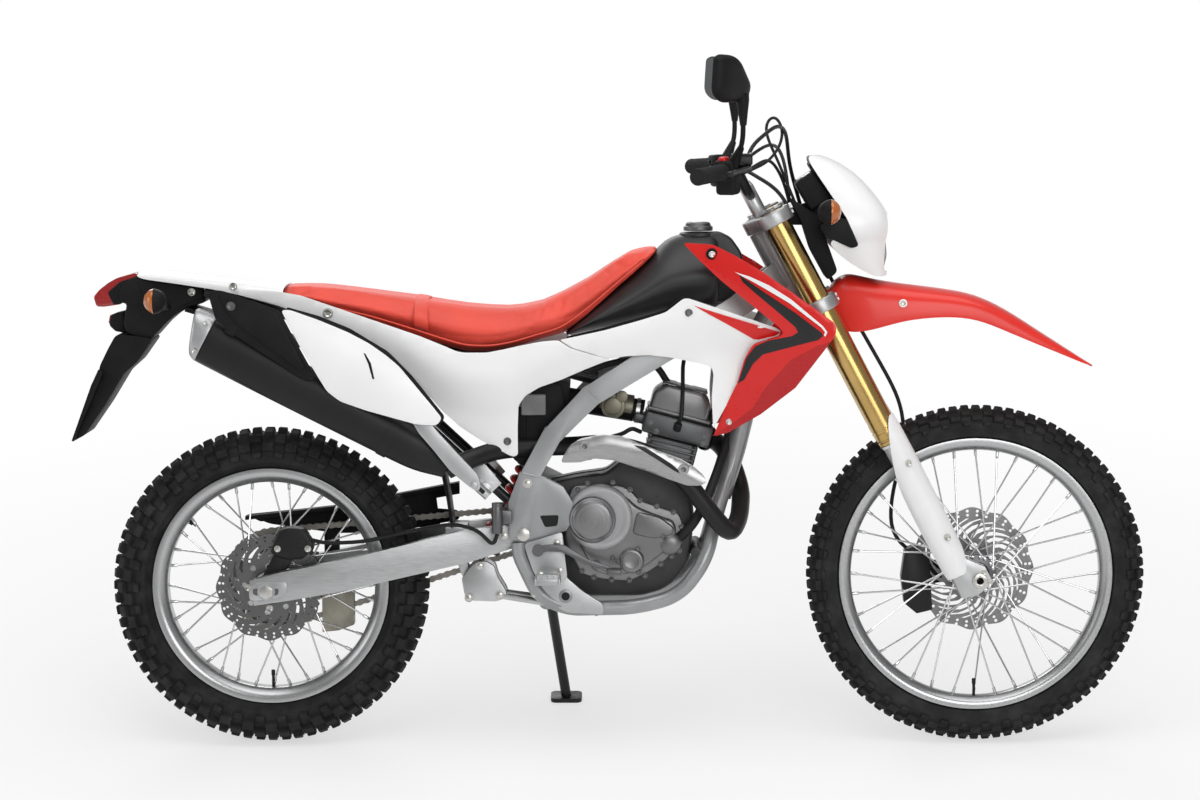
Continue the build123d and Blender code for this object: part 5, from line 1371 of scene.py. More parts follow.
def makeGuards():
    # a moulded guard that wraps the front and the outer side of each leg, narrow at its foot and its top
    spans = [(388, 70, 160, 31), (404, 48, 168, 32), (440, 16, 172, 32.4), (480, -30, 174, 32.8),
        (540, -66, 174, 32.8), (600, -90, 160, 32.8), (645, -84, 130, 32.8), (686, -62, 104, 32.6),
        (714, -34, 84, 32.2), (734, -4, 66, 31.4), (743, 18, 46, 30.8)]
    sheets = []
    for side in (1, -1):
        rows = []
        for up, low, high, radius in spans:
            high = min(high, 104) if side > 0 else high
            rows.append([legPoint(side, up, radians(low + (high - low) * t / 12), radius) for t in range(13)])
        sheet = skin("guard", rows, closed=False, level=2)
        centre = metres(forkPoint(leg["ahead"], side * leg["across"], 570))
        turnOver(sheet, lambda face: face.normal.dot(face.center - centre))
        sheets.append(thicken(sheet, 2.6, 0.7))
    steer(join("forkGuards", sheets), whitePlastic, ["fork_guards"])
    spots = [(legPoint(side, up, radians(72), 32.4), side) for side in (1, -1) for up in (470, 640)]
    pads = [place(boltHead(5.0, 2.6, 1.5, True),
        aim(spot, legPoint(side, 600, radians(72), 100) - legPoint(side, 600))) for spot, side in spots]
    steer(join("guardBolts", pads), zincSteel)


def makeClamps():
    refine("triple_clamps", "tripleClamps", castAlloy, 3.0, 3, 30)
    heads = []
    for side in (1, -1):
        for low, spread in ((988, 9), (988, 19), (1187, 9), (1187, 19)):
            spot = forkPoint(leg["ahead"] + 36.2, side * (leg["across"] - 8), low + spread)
            heads.append(place(boltHead(4.4, 3.2, 1.3, True), aim(spot, forkAhead)))
    nut = place(boltHead(15, 8, 1.25), aim(forkPoint(0, 0, 1215), forkUp))
    heads.append(nut)
    steer(join("clampBolts", heads), zincSteel)


def makeFender():
    # x, crown, side edge, half width
    rows = [(1134, 912, 872, 61), (1152, 948, 858, 64), (1179, 965, 846, 72), (1215, 955, 848, 79),
        (1264, 945, 862, 80.5), (1306, 939.5, 873, 80.5), (1380, 930, 879, 80.5), (1440, 920, 873.5, 79.5),
        (1501, 891, 847, 73), (1560, 852, 822, 66), (1620, 813.5, 797, 57), (1660, 787.5, 780, 49),
        (1677, 777, 775, 44)]
    shape = []
    for x, top, low, half in rows:
        drop = top - low
        side = [(half, 0), (half, 0.34), (half - 2, 0.62), (half * 0.88, 0.84), (half * 0.62, 0.95),
            (half * 0.30, 0.99)]
        shape.append([(x, y, low + drop * share)
            for y, share in side] + [(x, 0, top)] + [(x, -y, low + drop * share) for y, share in side[::-1]])
    sheet = skin("fenderSheet", shape, closed=False, level=2)
    thicken(turnOver(sheet, lambda face: face.normal.z), 2.8, 0.8)
    mount = plate("fenderMount", rounded([(1142, 905), (1160, 945), (1182, 954), (1184, 884), (1152, 846),
        (1140, 870)], 6, 2), -29, 29, 3)
    steer(join("frontFender", [sheet, mount]), fenderPlastic, ["front_fender"])
    heads = [place(boltHead(5.5, 2.4, 1.5, True), aim((1290, side * 81.0, 906), (0, side, 0)))
        for side in (1, -1)]
    steer(join("fenderBolts", heads), zincSteel)


def makeCowl():
    # height, front, rear edge, half width
    rows = [(1203, 1127, 1103, 36), (1198, 1143, 1099, 50), (1186, 1169, 1104, 65), (1159, 1208, 1121, 82),
        (1117, 1243, 1149, 99), (1086, 1265, 1170, 108), (1062, 1269, 1184, 109), (1043, 1271, 1162, 108),
        (1032, 1270, 1140, 105.5), (1020, 1269.5, 1144, 101), (1000, 1267, 1166, 93), (978, 1264.5, 1196, 83),
        (960, 1261, 1232, 72)]
    shape = []
    for z, front, rear, half in rows:
        row = []
        for step in range(17):
            t = (step / 8 - 1) * pi / 2
            across = copysign(abs(sin(t)) ** 0.92, sin(t))
            row.append((rear + (front - rear) * max(0.0, cos(t)) ** 0.72, half * across, z))
        shape.append(row)
    sheet = skin("cowlSheet", shape, closed=False, level=2)
    thicken(turnOver(sheet, lambda face: face.normal.x), 2.8, 0.7)
    window = plate("window", rounded([(-52, 966), (-58, 1050), (-46, 1082), (46, 1082), (58, 1050),
        (52, 966)], 16, 5), 0, 60, 0)
    place(window, moved((1290, 0, 0)) @ Matrix.Rotation(radians(90), 4, "Z"))
    cut(sheet, window)
    rib = [(1120, 1060), (1150, 1082), (1176, 1076), (1199, 1023), (1184, 1018), (1132, 1042)]
    ribs = twoPlates("cowlRib", rounded(rib, 5, 2), 62, 109.5, 2)
    steer(smooth(join("headlightCowl", [sheet]), 34), whitePlastic, ["headlight_cowl"])
    cover = rounded([(1060, 1120), (1089, 1101), (1135, 1073), (1136, 1035), (1160, 968), (1139, 950),
        (1105, 1012), (1088, 1066)], 8, 3)
    ribs.append(plate("loomCover", cover, -46, 46, 5, 3))
    steer(join("cowlRibs", ribs), blackPlastic)
    # inner black housing that shows behind the cowl's rear edge
    inner = [(1099, 1186), (1112, 1192), (1150, 1178), (1200, 1110), (1226, 1060), (1222, 1010), (1192, 1004),
        (1150, 1034), (1137, 1044), (1170, 1040), (1184, 1044), (1180, 1062), (1156, 1110), (1146, 1112)]
    liner = plate("cowlLiner", rounded(inner, 6, 2), -52, 52, 3)
    steer(liner, blackPlastic)
    body = plate("lampBody", rounded([(1160, 1048), (1168, 1108), (1206, 1116), (1236, 1078), (1250, 1036),
        (1244, 976), (1206, 994)], 14, 4), -64, 64, 10, 4)
    face = plate("lampLens", rounded([(1228, 1078), (1238, 1079), (1256, 1036), (1259, 1000), (1252, 972),
        (1240, 978), (1240, 1036)], 6, 4), -50, 50, 4, 4)
    bowl = lathe("lampBowl", [(-2, 0.2), (-2, 38), (2, 42), (5, 42), (5, 38), (0.5, 0.2)], (1236, 0, 1026),
        40, (1, 0, 0))
    steer(body, blackPlastic, ["front_lights"])
    steer(face, clearLens)
    steer(bowl, mirrorGlass)
    for side in (1, -1):
        turnSignal("front", (1138, side * 168, 1094), (1136, side * 224, 1095), (1140, side * 104, 1092), 27,
            "steering")


def makeMeter():
    box = plate("meterCase", rounded([(1110, 1173), (1149, 1118), (1105, 1091), (1072, 1147)], 9, 4), -55, 55,
        5, 3)
    bracket = plate("meterBracket", rounded([(1040, 1062), (1052, 1090), (1096, 1106), (1160, 1102),
        (1178, 1088), (1178, 1052), (1110, 1061)], 6, 3), -15, 15, 2.5)
    rim = Vector((1110 - 1072, 0, 1173 - 1147)).normalized()
    steer(join("instrumentPanel", [box, bracket]), blackPlastic, ["instrument_panel"])
    middle = Vector((1091, 0, 1160))
    out = Vector((-rim.z, 0, rim.x))
    turn = Vector((0, 0, 1)).rotation_difference(out).to_matrix().to_4x4()
    screen = softBox("meterScreen", (32, 92, 2.2), 0.9, moved(middle + out * 0.1) @ turn, 2)
    steer(screen, screenGlass)


makeFork()
makeGuards()
makeClamps()
makeFender()
makeCowl()
makeMeter()
print("fork, fender and cowl done")

# Handlebar, grips, levers and mirrors
bar = [(870, 405, 1170), (952, 200, 1180), (976, 118, 1130), (983, 60, 1124)]


def barSpot(y):
    (endX, endY, endZ), (bendX, bendY, bendZ) = bar[:2]
    share = (endY - abs(y)) / (endY - bendY)
    return Vector((endX + (bendX - endX) * share, y, endZ + (bendZ - endZ) * share))


def makeBars():
    (x0, y0, z0), (x1, y1, z1), (x2, y2, z2), (x3, y3, z3) = bar
    half = [(x0, y0, z0), barSpot(340), barSpot(250), (x1 - 5, y1 + 16, z1 - 1), (x1 + 1, y1 - 6, z1 - 5),
        (x2 - 7, y2 + 24, z2 + 15), (x2 - 1, y2 + 4, z2 + 3), (x3 - 1, y3 + 20, z3 + 1), (x3, y3 - 20, z3)]
    half = [tuple(p) for p in half]
    route = half + [(x, -y, z) for x, y, z in half[::-1]]
    tube = pipe("handlebarTube", route, 11, resolution=8, sides=8)
    steer(tube, blackPaint, ["handlebar"])
    risers = []
    for side in (1, -1):
        foot, top = forkPoint(11, side * 46, 1215), forkPoint(11, side * 46, 1281)
        risers.append(drum("riser", foot, top, 14.8, 2.0, 32))
        risers.append(place(boltHead(4.5, 3.4, 1.2, True), aim(forkPoint(2, side * 46, 1281), forkUp)))
        risers.append(place(boltHead(4.5, 3.4, 1.2, True), aim(forkPoint(20, side * 46, 1281), forkUp)))
    steer(smooth(join("barRisers", risers), 35), castAlloy)


def gripShape(side):
    start, end = barSpot(side * 404), barSpot(side * 278)
    line = (end - start).normalized()
    length = (end - start).length
    profile = [(0, 11.2), (0, 13), (1, 16.3), (4, 16.5), (5, 15.4)]
    along = 8.0
    while along < length - 12:
        profile += [(along, 15.4), (along + 0.9, 16.2), (along + 2.6, 16.2), (along + 3.5, 15.4)]
        along += 5.4
    profile += [(length - 5, 15.4), (length - 4, 16.5), (length - 0.5, 16.5), (length, 14), (length, 11.2)]
    grip = lathe("grip", profile, (0, 0, 0), 40, tuple(line))
    plug = lathe("barEnd", [(-1, 0.2), (-1, 10), (0.6, 12), (3, 12), (3, 0.2)], (0, 0, 0), 32, tuple(line))
    for part in (grip, plug):
        place(part, moved(start))
    return [grip, plug]


def barFrame(y):
    # across along the bar, ahead and up, at a place on the bar
    right, left = (200, 405) if y > 0 else (-405, -200)
    line = (barSpot(left) - barSpot(right)).normalized()
    up = Vector((0, 0, 1))
    ahead = line.cross(up).normalized()
    rise = ahead.cross(line)
    return moved(barSpot(y)) @ Matrix((ahead, line, rise)).transposed().to_4x4()


def makeHands():
    grips, switches, levers, metal = [], [], [], []
    for side in (1, -1):
        grips += gripShape(side)
        spot = barFrame(side * 255)
        for rise in (1, -1):
            switches.append(softBox("switchHalf", (43, 44, 21), 6, spot @ moved((0, 0, rise * 10.9))))
        for across, rise in ((-10, 6), (10, 6), (0, -9)):
            switches.append(softBox("switchKey", (4, 11, 7), 1.4, spot @ moved((-22.4, across, rise)), 2))
        switches.append(softBox("switchFoot", (42, 38, 42), 8, spot @ moved((2, 2, -25))))
        perch = [Vector((944, side * 246, 1178)), Vector((974, side * 250, 1184))]
        metal.append(drum("perch", perch[0], perch[1], 8.8, 2.2, 28))
        metal.append(drum("perchRing", barSpot(side * 240), barSpot(side * 252), 15.5, 2.0, 36))
        metal.append(drum("leverPivot", (972, side * 252, 1176), (972, side * 252, 1193), 6.5, 1.2, 24))
        route = [(974, side * 248, 1184), (970, side * 278, 1183), (958, side * 322, 1180),
            (944, side * 366, 1177.5), (936, side * 392, 1176.3), (934.5, side * 406, 1176)]
        levers.append(pipe("lever", route, 5.8, resolution=6, sides=5,
            widths=[1.0, 0.95, 0.85, 0.85, 0.8, 0.8]))
        bpy.ops.mesh.primitive_uv_sphere_add(segments=20, ring_count=12, radius=6.0 * mm)
        ball = nameIt("leverBall")
        levers.append(place(smooth(ball, 60), moved((934.5, side * 406, 1176))))
    reservoir = softBox("reservoir", (40, 42, 21), 4.5, moved((961, -240, 1199)))
    lid = softBox("reservoirLid", (41.5, 43.5, 4), 1.6, moved((961, -240, 1209.6)))
    metal += [reservoir, lid]
    steer(join("grips", grips), gripRubber)
    steer(join("switches", switches), blackPlastic, ["hand_controls"])
    steer(join("leverPerches", metal), blackPaint)
    steer(join("levers", levers), blackPaint)
    stop = softBox("stopSwitch", (16, 26, 12), 4, barFrame(-255) @ moved((-6, 0, 22.5)))
    steer(stop, redPlastic)
    spots = [(961 + x, -240 + y, 1211.4) for x in (-15, 15) for y in (-16, 16)]
    steer(bolts("lidScrews", spots, (0, 0, 1), 2.6, 1.2, True, 1.1), zincSteel)


mirror = {"centre": (931, 334, 1350), "turn": 35, "outline": [(-62, -5), (-50, -36), (28, -38), (60, -20),
    (60, 50), (44, 56), (-8, 54)]}


def makeMirrors():
    shells, panes, stems = [], [], []
    outline = rounded(mirror["outline"], 26, 6)
    for side in (1, -1):
        a = radians(mirror["turn"])
        out = Vector((-sin(a), side * cos(a), 0))
        back = Vector((cos(a), side * sin(a), -0.08)).normalized()
        up = Vector((0, 0, 1)) - back * back.z
        up.normalize()
        centre = Vector((mirror["centre"][0], side * mirror["centre"][1], mirror["centre"][2]))

        def spot(u, v, depth):
            return centre + out * u + up * v + back * depth

        rows = []
        for scale, depth in ((0.955, 1.6), (0.985, 0.6), (1.0, 2.2), (1.0, 6), (0.97, 13), (0.88, 19.5),
                (0.70, 23.5), (0.42, 25.4), (0.12, 25.8)):
            rows.append([tuple(spot(u * scale, v * scale + 4 * (1 - scale), depth)) for u, v in outline])
        shells.append(skin("mirrorShell", rows, level=1))
        face = [spot(u * 0.955, v * 0.955, 1.2) for u, v in outline]
        bpy.ops.mesh.primitive_circle_add(vertices=len(face), radius=0.05, fill_type="NGON")
        pane = nameIt("mirrorPane")
        for vertex, point in zip(pane.data.vertices, face):
            vertex.co = metres(point)
        with editing(pane):
            bpy.ops.mesh.extrude_region_move(TRANSFORM_OT_translate={"value": tuple(back * -0.8 * mm)})
        panes.append(fillOut(pane))
        stems.append(pipe("mirrorStem", [(940, side * 258, 1186), (950, side * 274, 1206),
            (960, side * 298, 1230), (961, side * 309, 1262), (960, side * 315, 1300),
            (959, side * 317, 1322)], 5, resolution=6, sides=5))
        neck = taperedNeck("mirrorNeck", (961, side * 312, 1268), (959, side * 317, 1328), 6.5, 13)
        stems.append(neck)
        stems.append(taperedNeck("mirrorBoot", (957, side * 290, 1224), (941, side * 259, 1188), 6.5, 11.5))
        stems.append(drum("mirrorFoot", (940, side * 257, 1181), (940, side * 257.5, 1196), 9, 1.6, 6))
    steer(join("mirrors", shells + stems), blackPlastic, ["mirrors"])
    steer(join("mirrorGlass", panes), mirrorGlass)


def taperedNeck(name, start, end, small, large):
    # a tapered round neck between two points
    start, end = Vector(start), Vector(end)
    length = (end - start).length
    piece = lathe(name, [(0, 0.2), (0, small), (length * 0.3, small + (large - small) * 0.35),
        (length * 0.8, large), (length, large), (length, 0.2)], (0, 0, 0), 32,
        tuple((end - start).normalized()))
    return place(piece, moved(start))


def makeFrontLines():
    hose = [(972, -240, 1204), (978, -226, 1226), (1004, -196, 1246), (1036, -130, 1270), (1058, -40, 1250),
        (1062, 40, 1190), (1084, 86, 1120), (1104, 92, 1048), (1134, 94, 980), (1168, 95, 922),
        (1212, 96, 848), (1260, 97, 764), (1302, 92, 688), (1306, 62, 610), (1288, 57, 540), (1272, 57, 462),
        (1282, 64, 410), (1312, 70, 386)]
    steer(pipe("frontBrakeLine", hose, 4.0, resolution=5, sides=4), hoseRubber,
        ["front_brake_hose"])
    wires = [
        [(962, 236, 1174), (990, 200, 1196), (1030, 140, 1232), (1052, 60, 1210), (1060, 22, 1160),
            (1064, 14, 1110)],
        [(962, -236, 1172), (986, -206, 1186), (1010, -150, 1200), (1030, -90, 1190), (1052, -40, 1150),
            (1062, -20, 1108)],
        [(962, -236, 1172), (990, -170, 1182), (1014, -100, 1188), (1042, -66, 1220), (1049, -60, 1252),
            (1038, -58, 1279), (1023, -58, 1281), (1012, -60, 1262), (1018, -62, 1234), (1037, -58, 1196),
            (1058, -46, 1145), (1080, -38, 1092)],
        [(958, 234, 1168), (978, 190, 1170), (1000, 130, 1156), (1030, 80, 1140), (1050, 40, 1120),
            (1060, 24, 1100)],
    ]
    looms = [pipe("wire", route, radius, resolution=6, sides=4)
        for route, radius in zip(wires, (3.6, 3.2, 3.0, 4.0))]
    steer(join("barLines", looms), hoseRubber)
    refine("front_caliper", "frontCaliper", blackPaint, 3.0, 3, 30)
    pins = bolts("caliperPins", [(1337, 80.4, 366), (1333, 80.4, 290)], (0, 1, 0), 6.0, 4.0)
    steer(pins, zincSteel)


makeBars()
makeHands()
makeMirrors()
makeFrontLines()
print("handlebar and controls done")

# Engine, intake and exhaust
head = {"foot": (800, 560), "ahead": (0.967, -0.254), "up": (0.254, 0.967)}


def headSpot(u, w):
    (x, z), (ax, az), (ux, uz) = head["foot"], head["ahead"], head["up"]
    return x + ax * u + ux * w, z + az * u + uz * w


def headPlace(u, w, y):
    x, z = headSpot(u, w)
    return x, y, z


def headPlate(name, low, high, left, right, half, bevel, chamfer=0):
    # a slab of the cylinder between two heights up its axis
    corners = [(left, low), (right, low)]
    if chamfer:
        corners += [(right, high - chamfer), (right - chamfer, high), (left + chamfer, high),
            (left, high - chamfer)]
    else:
        corners += [(right, high), (left, high)]
    return plate(name, [headSpot(u, w) for u, w in corners], -half, half, bevel, 3)


def makeEngine():
    case = [(556, 332), (572, 318), (600, 307), (680, 307), (760, 307), (800, 318), (826, 335), (848, 362),
        (861, 388), (867, 470), (860, 520), (846, 559), (830, 578), (812, 589), (752, 599), (716, 582),
        (690, 560), (630, 552), (575, 540), (557, 500)]
    shell = plate("crankcase", rounded(case, 10, 2), -59, 59, 7, 3)
    ribs = [plate("caseRib", rounded([(560 + 34 * i, 312 + 3 * abs(4 - i)),
        (566 + 34 * i, 312 + 3 * abs(4 - i)), (566 + 34 * i, 330), (560 + 34 * i, 330)], 2, 1), -54, 54, 1)
        for i in range(1, 8)]
    seam = plate("caseSeam", rounded([(x + (3 if x > 700 else -3) * 0.6, z + (2 if z > 450 else -0.5))
        for x, z in case], 10, 2), -2.5, 2.5, 0.8, 1)
    mounts = [drum("caseMount", (x, -87.5, z), (x, 87.5, z), 11.5, 2, 28)
        for x, z in ((560, 520), (872, 400))]
    finish(join("crankcase", [shell, seam] + ribs + mounts), engineAlloy, ["engine"])
    barrel = headPlate("barrel", 6, 72, -38, 54, 50, 8)
    fins = [headPlate("fin", w, w + 4.5, -43, 59, 55, 1.6) for w in (24, 36, 48, 60)]
    top = headPlate("headBlock", 72, 117, -60, 82, 58, 7)
    port = headPlate("headPort", 84, 106, -82, -50, 30, 6)
    front = headPlate("headFront", 26, 70, 50, 62, 40, 5)
    finish(join("cylinder", [barrel, top, port, front] + fins), headAlloy)
    gasket = headPlate("headGasket", 117, 119.5, -56, 77, 57, 0.6)
    finish(gasket, gripRubber)
    cover = headPlate("headCover", 119.5, 180, -55, 66, 55, 9, 22)
    rib = [headPlate("coverRib", 130, 181, u, u + 7, 50, 2.5, 20) for u in (-30, 34)]
    step = headPlate("coverStep", 119.5, 127, -59, 72, 57.5, 2.5)
    finish(join("headCover", [cover, step] + rib), coverAlloy)
    spots = [headPlace(u, w, -58) for u, w in ((-46, 94), (68, 94), (68, 80), (-30, 80), (10, 96))]
    finish(bolts("headBolts", spots, (0, -1, 0), 4.6, 3.6), darkSteel)
    plug = bent("plugLead", [headPlace(10, 108, -62), headPlace(12, 122, -70), headPlace(4, 165, -60),
        (846, -30, 790), (880, -10, 850)], 4.2, 24, 5)
    cap = drum("plugCap", headPlace(10, 92, -57), headPlace(10, 108, -63), 8, 2, 24)
    hose = bent("coolantHose", [headPlace(60, 104, -14), (920, -20, 690), (948, 12, 716), (966, 62, 752)], 11,
        22, 7)
    lower = bent("lowerHose", [(830, -78, 424), (862, -84, 452), (890, -76, 500), (916, -52, 560),
        (944, 20, 640), (966, 76, 700)], 10, 30, 7)
    breather = bent("breather", [headPlace(-30, 176, 10), (796, 6, 770), (770, -4, 790), (700, -20, 782),
        (640, -30, 760)], 7, 26, 6)
    loom = bent("throttleCable", [(706, -44, 714), (730, -50, 752), (790, -46, 788), (860, -40, 820),
        (930, -34, 880)], 3.4, 40, 5)
    loom2 = bent("wireLoom", [(760, -40, 642), (742, -58, 652), (724, -56, 640), (690, -50, 630),
        (650, -66, 620), (626, -70, 590)], 4.4, 20, 5)
    finish(join("engineHoses", [plug, cap, hose, lower, breather, loom, loom2]), hoseRubber)


coverBolts = [(632, 529), (652, 541), (703, 543), (738, 528), (758, 506), (792, 494), (826, 482), (842, 452),
    (838, 420), (822, 392), (800, 376), (768, 352), (736, 343), (700, 344), (664, 349), (640, 362)]


filterSpot = (741, 385)


def makeCovers():
    base = [(606, 500), (606, 424), (622, 386), (641, 354), (690, 344), (737, 341), (776, 360), (809, 383),
        (832, 408), (848, 433), (845, 460), (838, 479), (798, 492), (758, 506), (740, 526), (720, 537),
        (660, 539), (622, 536)]
    layer = [(632, 490), (630, 430), (646, 396), (664, 368), (700, 360), (736, 356), (768, 372), (800, 396),
        (828, 424), (832, 450), (826, 466), (786, 480), (752, 494), (730, 516), (690, 526), (650, 522)]
    parts = [plate("coverBase", rounded(base, 10, 3), -79.5, -60, 3.5, 3),
        plate("coverLayer", rounded(layer, 12, 3), -95, -70, 7, 4)]
    parts.append(plate("coverWeb", rounded([(752, 486), (800, 474), (828, 452), (824, 438), (786, 430),
        (742, 440)], 10, 3), -99, -90, 4, 3))
    parts.append(disc("waterPump", (819, 419), [(-80, 0.2), (-80, 24), (-93, 22), (-97, 18), (-100, 9),
        (-100, 0.2)]))
    parts.append(disc("filterCover", filterSpot, [(-80, 0.2), (-80, 27), (-99, 25.5), (-103, 22), (-104, 17),
        (-102.5, 14), (-102.5, 0.2)]))
    parts.append(disc("filterRib", filterSpot, [(-96, 14), (-96, 20), (-106, 18), (-106, 15)]))
    ears = around(filterSpot, 27, 3, -97, 0.5)
    for x, _, z in ears:
        parts.append(disc("filterEar", (x, z), [(-80, 0.2), (-80, 7), (-97, 6.4), (-97, 0.2)], 24))
    parts.append(bent("coverPassage", [(664, -92, 372), (690, -93, 362), (716, -93, 362)], 6, 12, 6))
    left = [disc("leftCover", (745, 436), [(60, 0.2), (60, 71.5), (84, 71), (91, 66), (93, 58), (96, 50),
        (97.5, 46), (97.5, 0.2)], 64)]
    left.append(plate("sprocketCover", rounded([(655, 402), (700, 397), (700, 480), (655, 488)], 8, 3), 60,
        91.5, 5, 3))
    finish(smooth(join("engineCovers", parts), 35), coverAlloy, ["engine_covers"])
    finish(smooth(join("leftCovers", left), 35), leftTurned)
    rimRing = disc("clutchRing", (677, 473), [(-78, 30), (-78, 67), (-93, 67), (-98, 64.5), (-101.5, 60),
        (-102, 57), (-100, 51), (-99, 46), (-99, 30)], 72)
    finish(rimRing, boxAlloy)
    dome = disc("clutchCover", (662, 470), [(-96, 0.2), (-96, 47.5), (-107, 47), (-111, 45), (-112.5, 42.5),
        (-111.8, 41), (-114.5, 38), (-115.6, 33), (-115.8, 0.2)], 72)
    finish(dome, clutchTurned)
    glass = disc("sightRing", (669, 376), [(-94, 6), (-94, 10.5), (-98, 10), (-98, 6)], 32)
    finish(glass, darkSteel)
    finish(disc("sightGlass", (669, 376), [(-94, 0.2), (-94, 7), (-96.8, 6.4), (-96.8, 0.2)], 28), brass)
    rimBolts = bolts("coverBolts", [(x, -79.6, z) for x, z in coverBolts], (0, -1, 0), 4.2, 4.4)
    high = bolts("layerBolts", [(703, -95, 391)] + ears + [(805, -96, 436), (838, -84, 404)], (0, -1, 0), 4.4,
        4.0)
    leftBolts = bolts("leftBolts", around((745, 436), 62, 8, 92.2, 0.2), (0, 1, 0), 4.6, 4.0)
    finish(join("coverBolts", [rimBolts, high, leftBolts]), darkSteel)


def makeIntake():
    refine("intake", "airbox", blackPlastic, 5.0, 3, 25)
    throttle = [drum("throttleBody", (704, -8, 696), (704, -52, 696), 25, 3, 36),
        drum("throttleCap", (704, -50, 696), (704, -57.5, 696), 18, 2.5, 32),
        drum("throttleSpout", (676, 0, 700), (744, 0, 688), 25.5, 2, 36),
        drum("pulley", (722, -52, 716), (722, -57.8, 716), 12, 1.5, 28)]
    finish(smooth(join("throttleBody", throttle), 35), brassDark)
    rings = [lathe("hoseClamp", [(-4, 23.8), (-4, 26.2), (4, 26.2), (4, 23.8)], spot, 40, (156, 0, -26))
        for spot in ((640, 0, 701), (754, 0, 682))]
    finish(join("intakeClamps", rings), zincSteel)
    side = [(508, 768), (600, 742), (606, 690), (560, 646), (544, 600), (524, 574), (500, 590), (486, 640),
        (478, 700), (484, 750)]
    sides = twoPlates("airboxSide", rounded(side, 10, 3), 63, 70, 2)
    ribs = [softBox("airboxRib", (4, 3, 90), 1, moved((x, -70.5, 650))) for x in (512, 530)]
    starter = [drum("starter", (652, -52, 606), (652, 30, 606), 21, 3, 36),
        drum("starterEnd", (652, -57, 606), (652, -50, 606), 14, 2, 28)]
    finish(join("airboxSide", sides + ribs + starter), blackPlastic)
    relay = [softBox("relay", (50, 15, 42), 3, moved((543, -79, 702))),
        softBox("relayEar", (10, 8, 14), 2, moved((513, -76, 705)))]
    finish(join("relay", relay), greyPlastic)


canRows = [((372, 581), 20.5, 20.5), ((371, 581.6), 21, 21), ((360, 589), 25, 25), ((332, 606), 36, 36),
    ((308, 621), 41, 41), ((290, 631), 42.3, 42.6), ((200, 679), 43.5, 44.8), ((40, 764), 45.8, 48.6),
    ((-104, 842), 47.4, 51.2), ((-105.8, 843), 47.2, 51), ((-106.4, 843.3), 46.4, 50.2)]
capRows = [((-106.5, 843.4), 46.2, 50, 0), ((-107, 843.6), 47.6, 51.4, 0), ((-112, 846.3), 47.8, 51.6, 0.03),
    ((-130, 856), 46.5, 50, 0.24), ((-134.5, 858.4), 44, 47.5, 0.27), ((-136, 859.2), 38, 41, 0.28),
    ((-136.2, 859.3), 10, 11, 0.28)]


can = {"across": -152, "slant": 28.2, "square": 0.72, "tip": (-133, -152, 856)}


def canRing(centre, half, rise, lean=0.0, count=40):
    # a rounded section of the silencer, square to its slanted axis unless it leans
    a = radians(can["slant"]) - lean * 1.2
    ups = (sin(a), cos(a))
    row = []
    for turn in ring(count):
        c, s = cos(turn), sin(turn)
        across = copysign(abs(c) ** can["square"], c) * half
        up = copysign(abs(s) ** can["square"], s) * rise
        row.append((centre[0] + ups[0] * up, can["across"] + across, centre[1] + ups[1] * up))
    return row


def coverFace(x, z):
    # the outer face of the panels beside the silencer, falling away above and below
    middle = 855 - 0.52 * x
    return 206.6 - 0.0016 * (z - middle) ** 2


def shieldFace(x, z):
    ridge = level([(600, 606), (640, 618), (690, 628), (770, 612), (846, 570), (900, 540)], x)
    return 156 - 0.010 * (z - ridge) ** 2


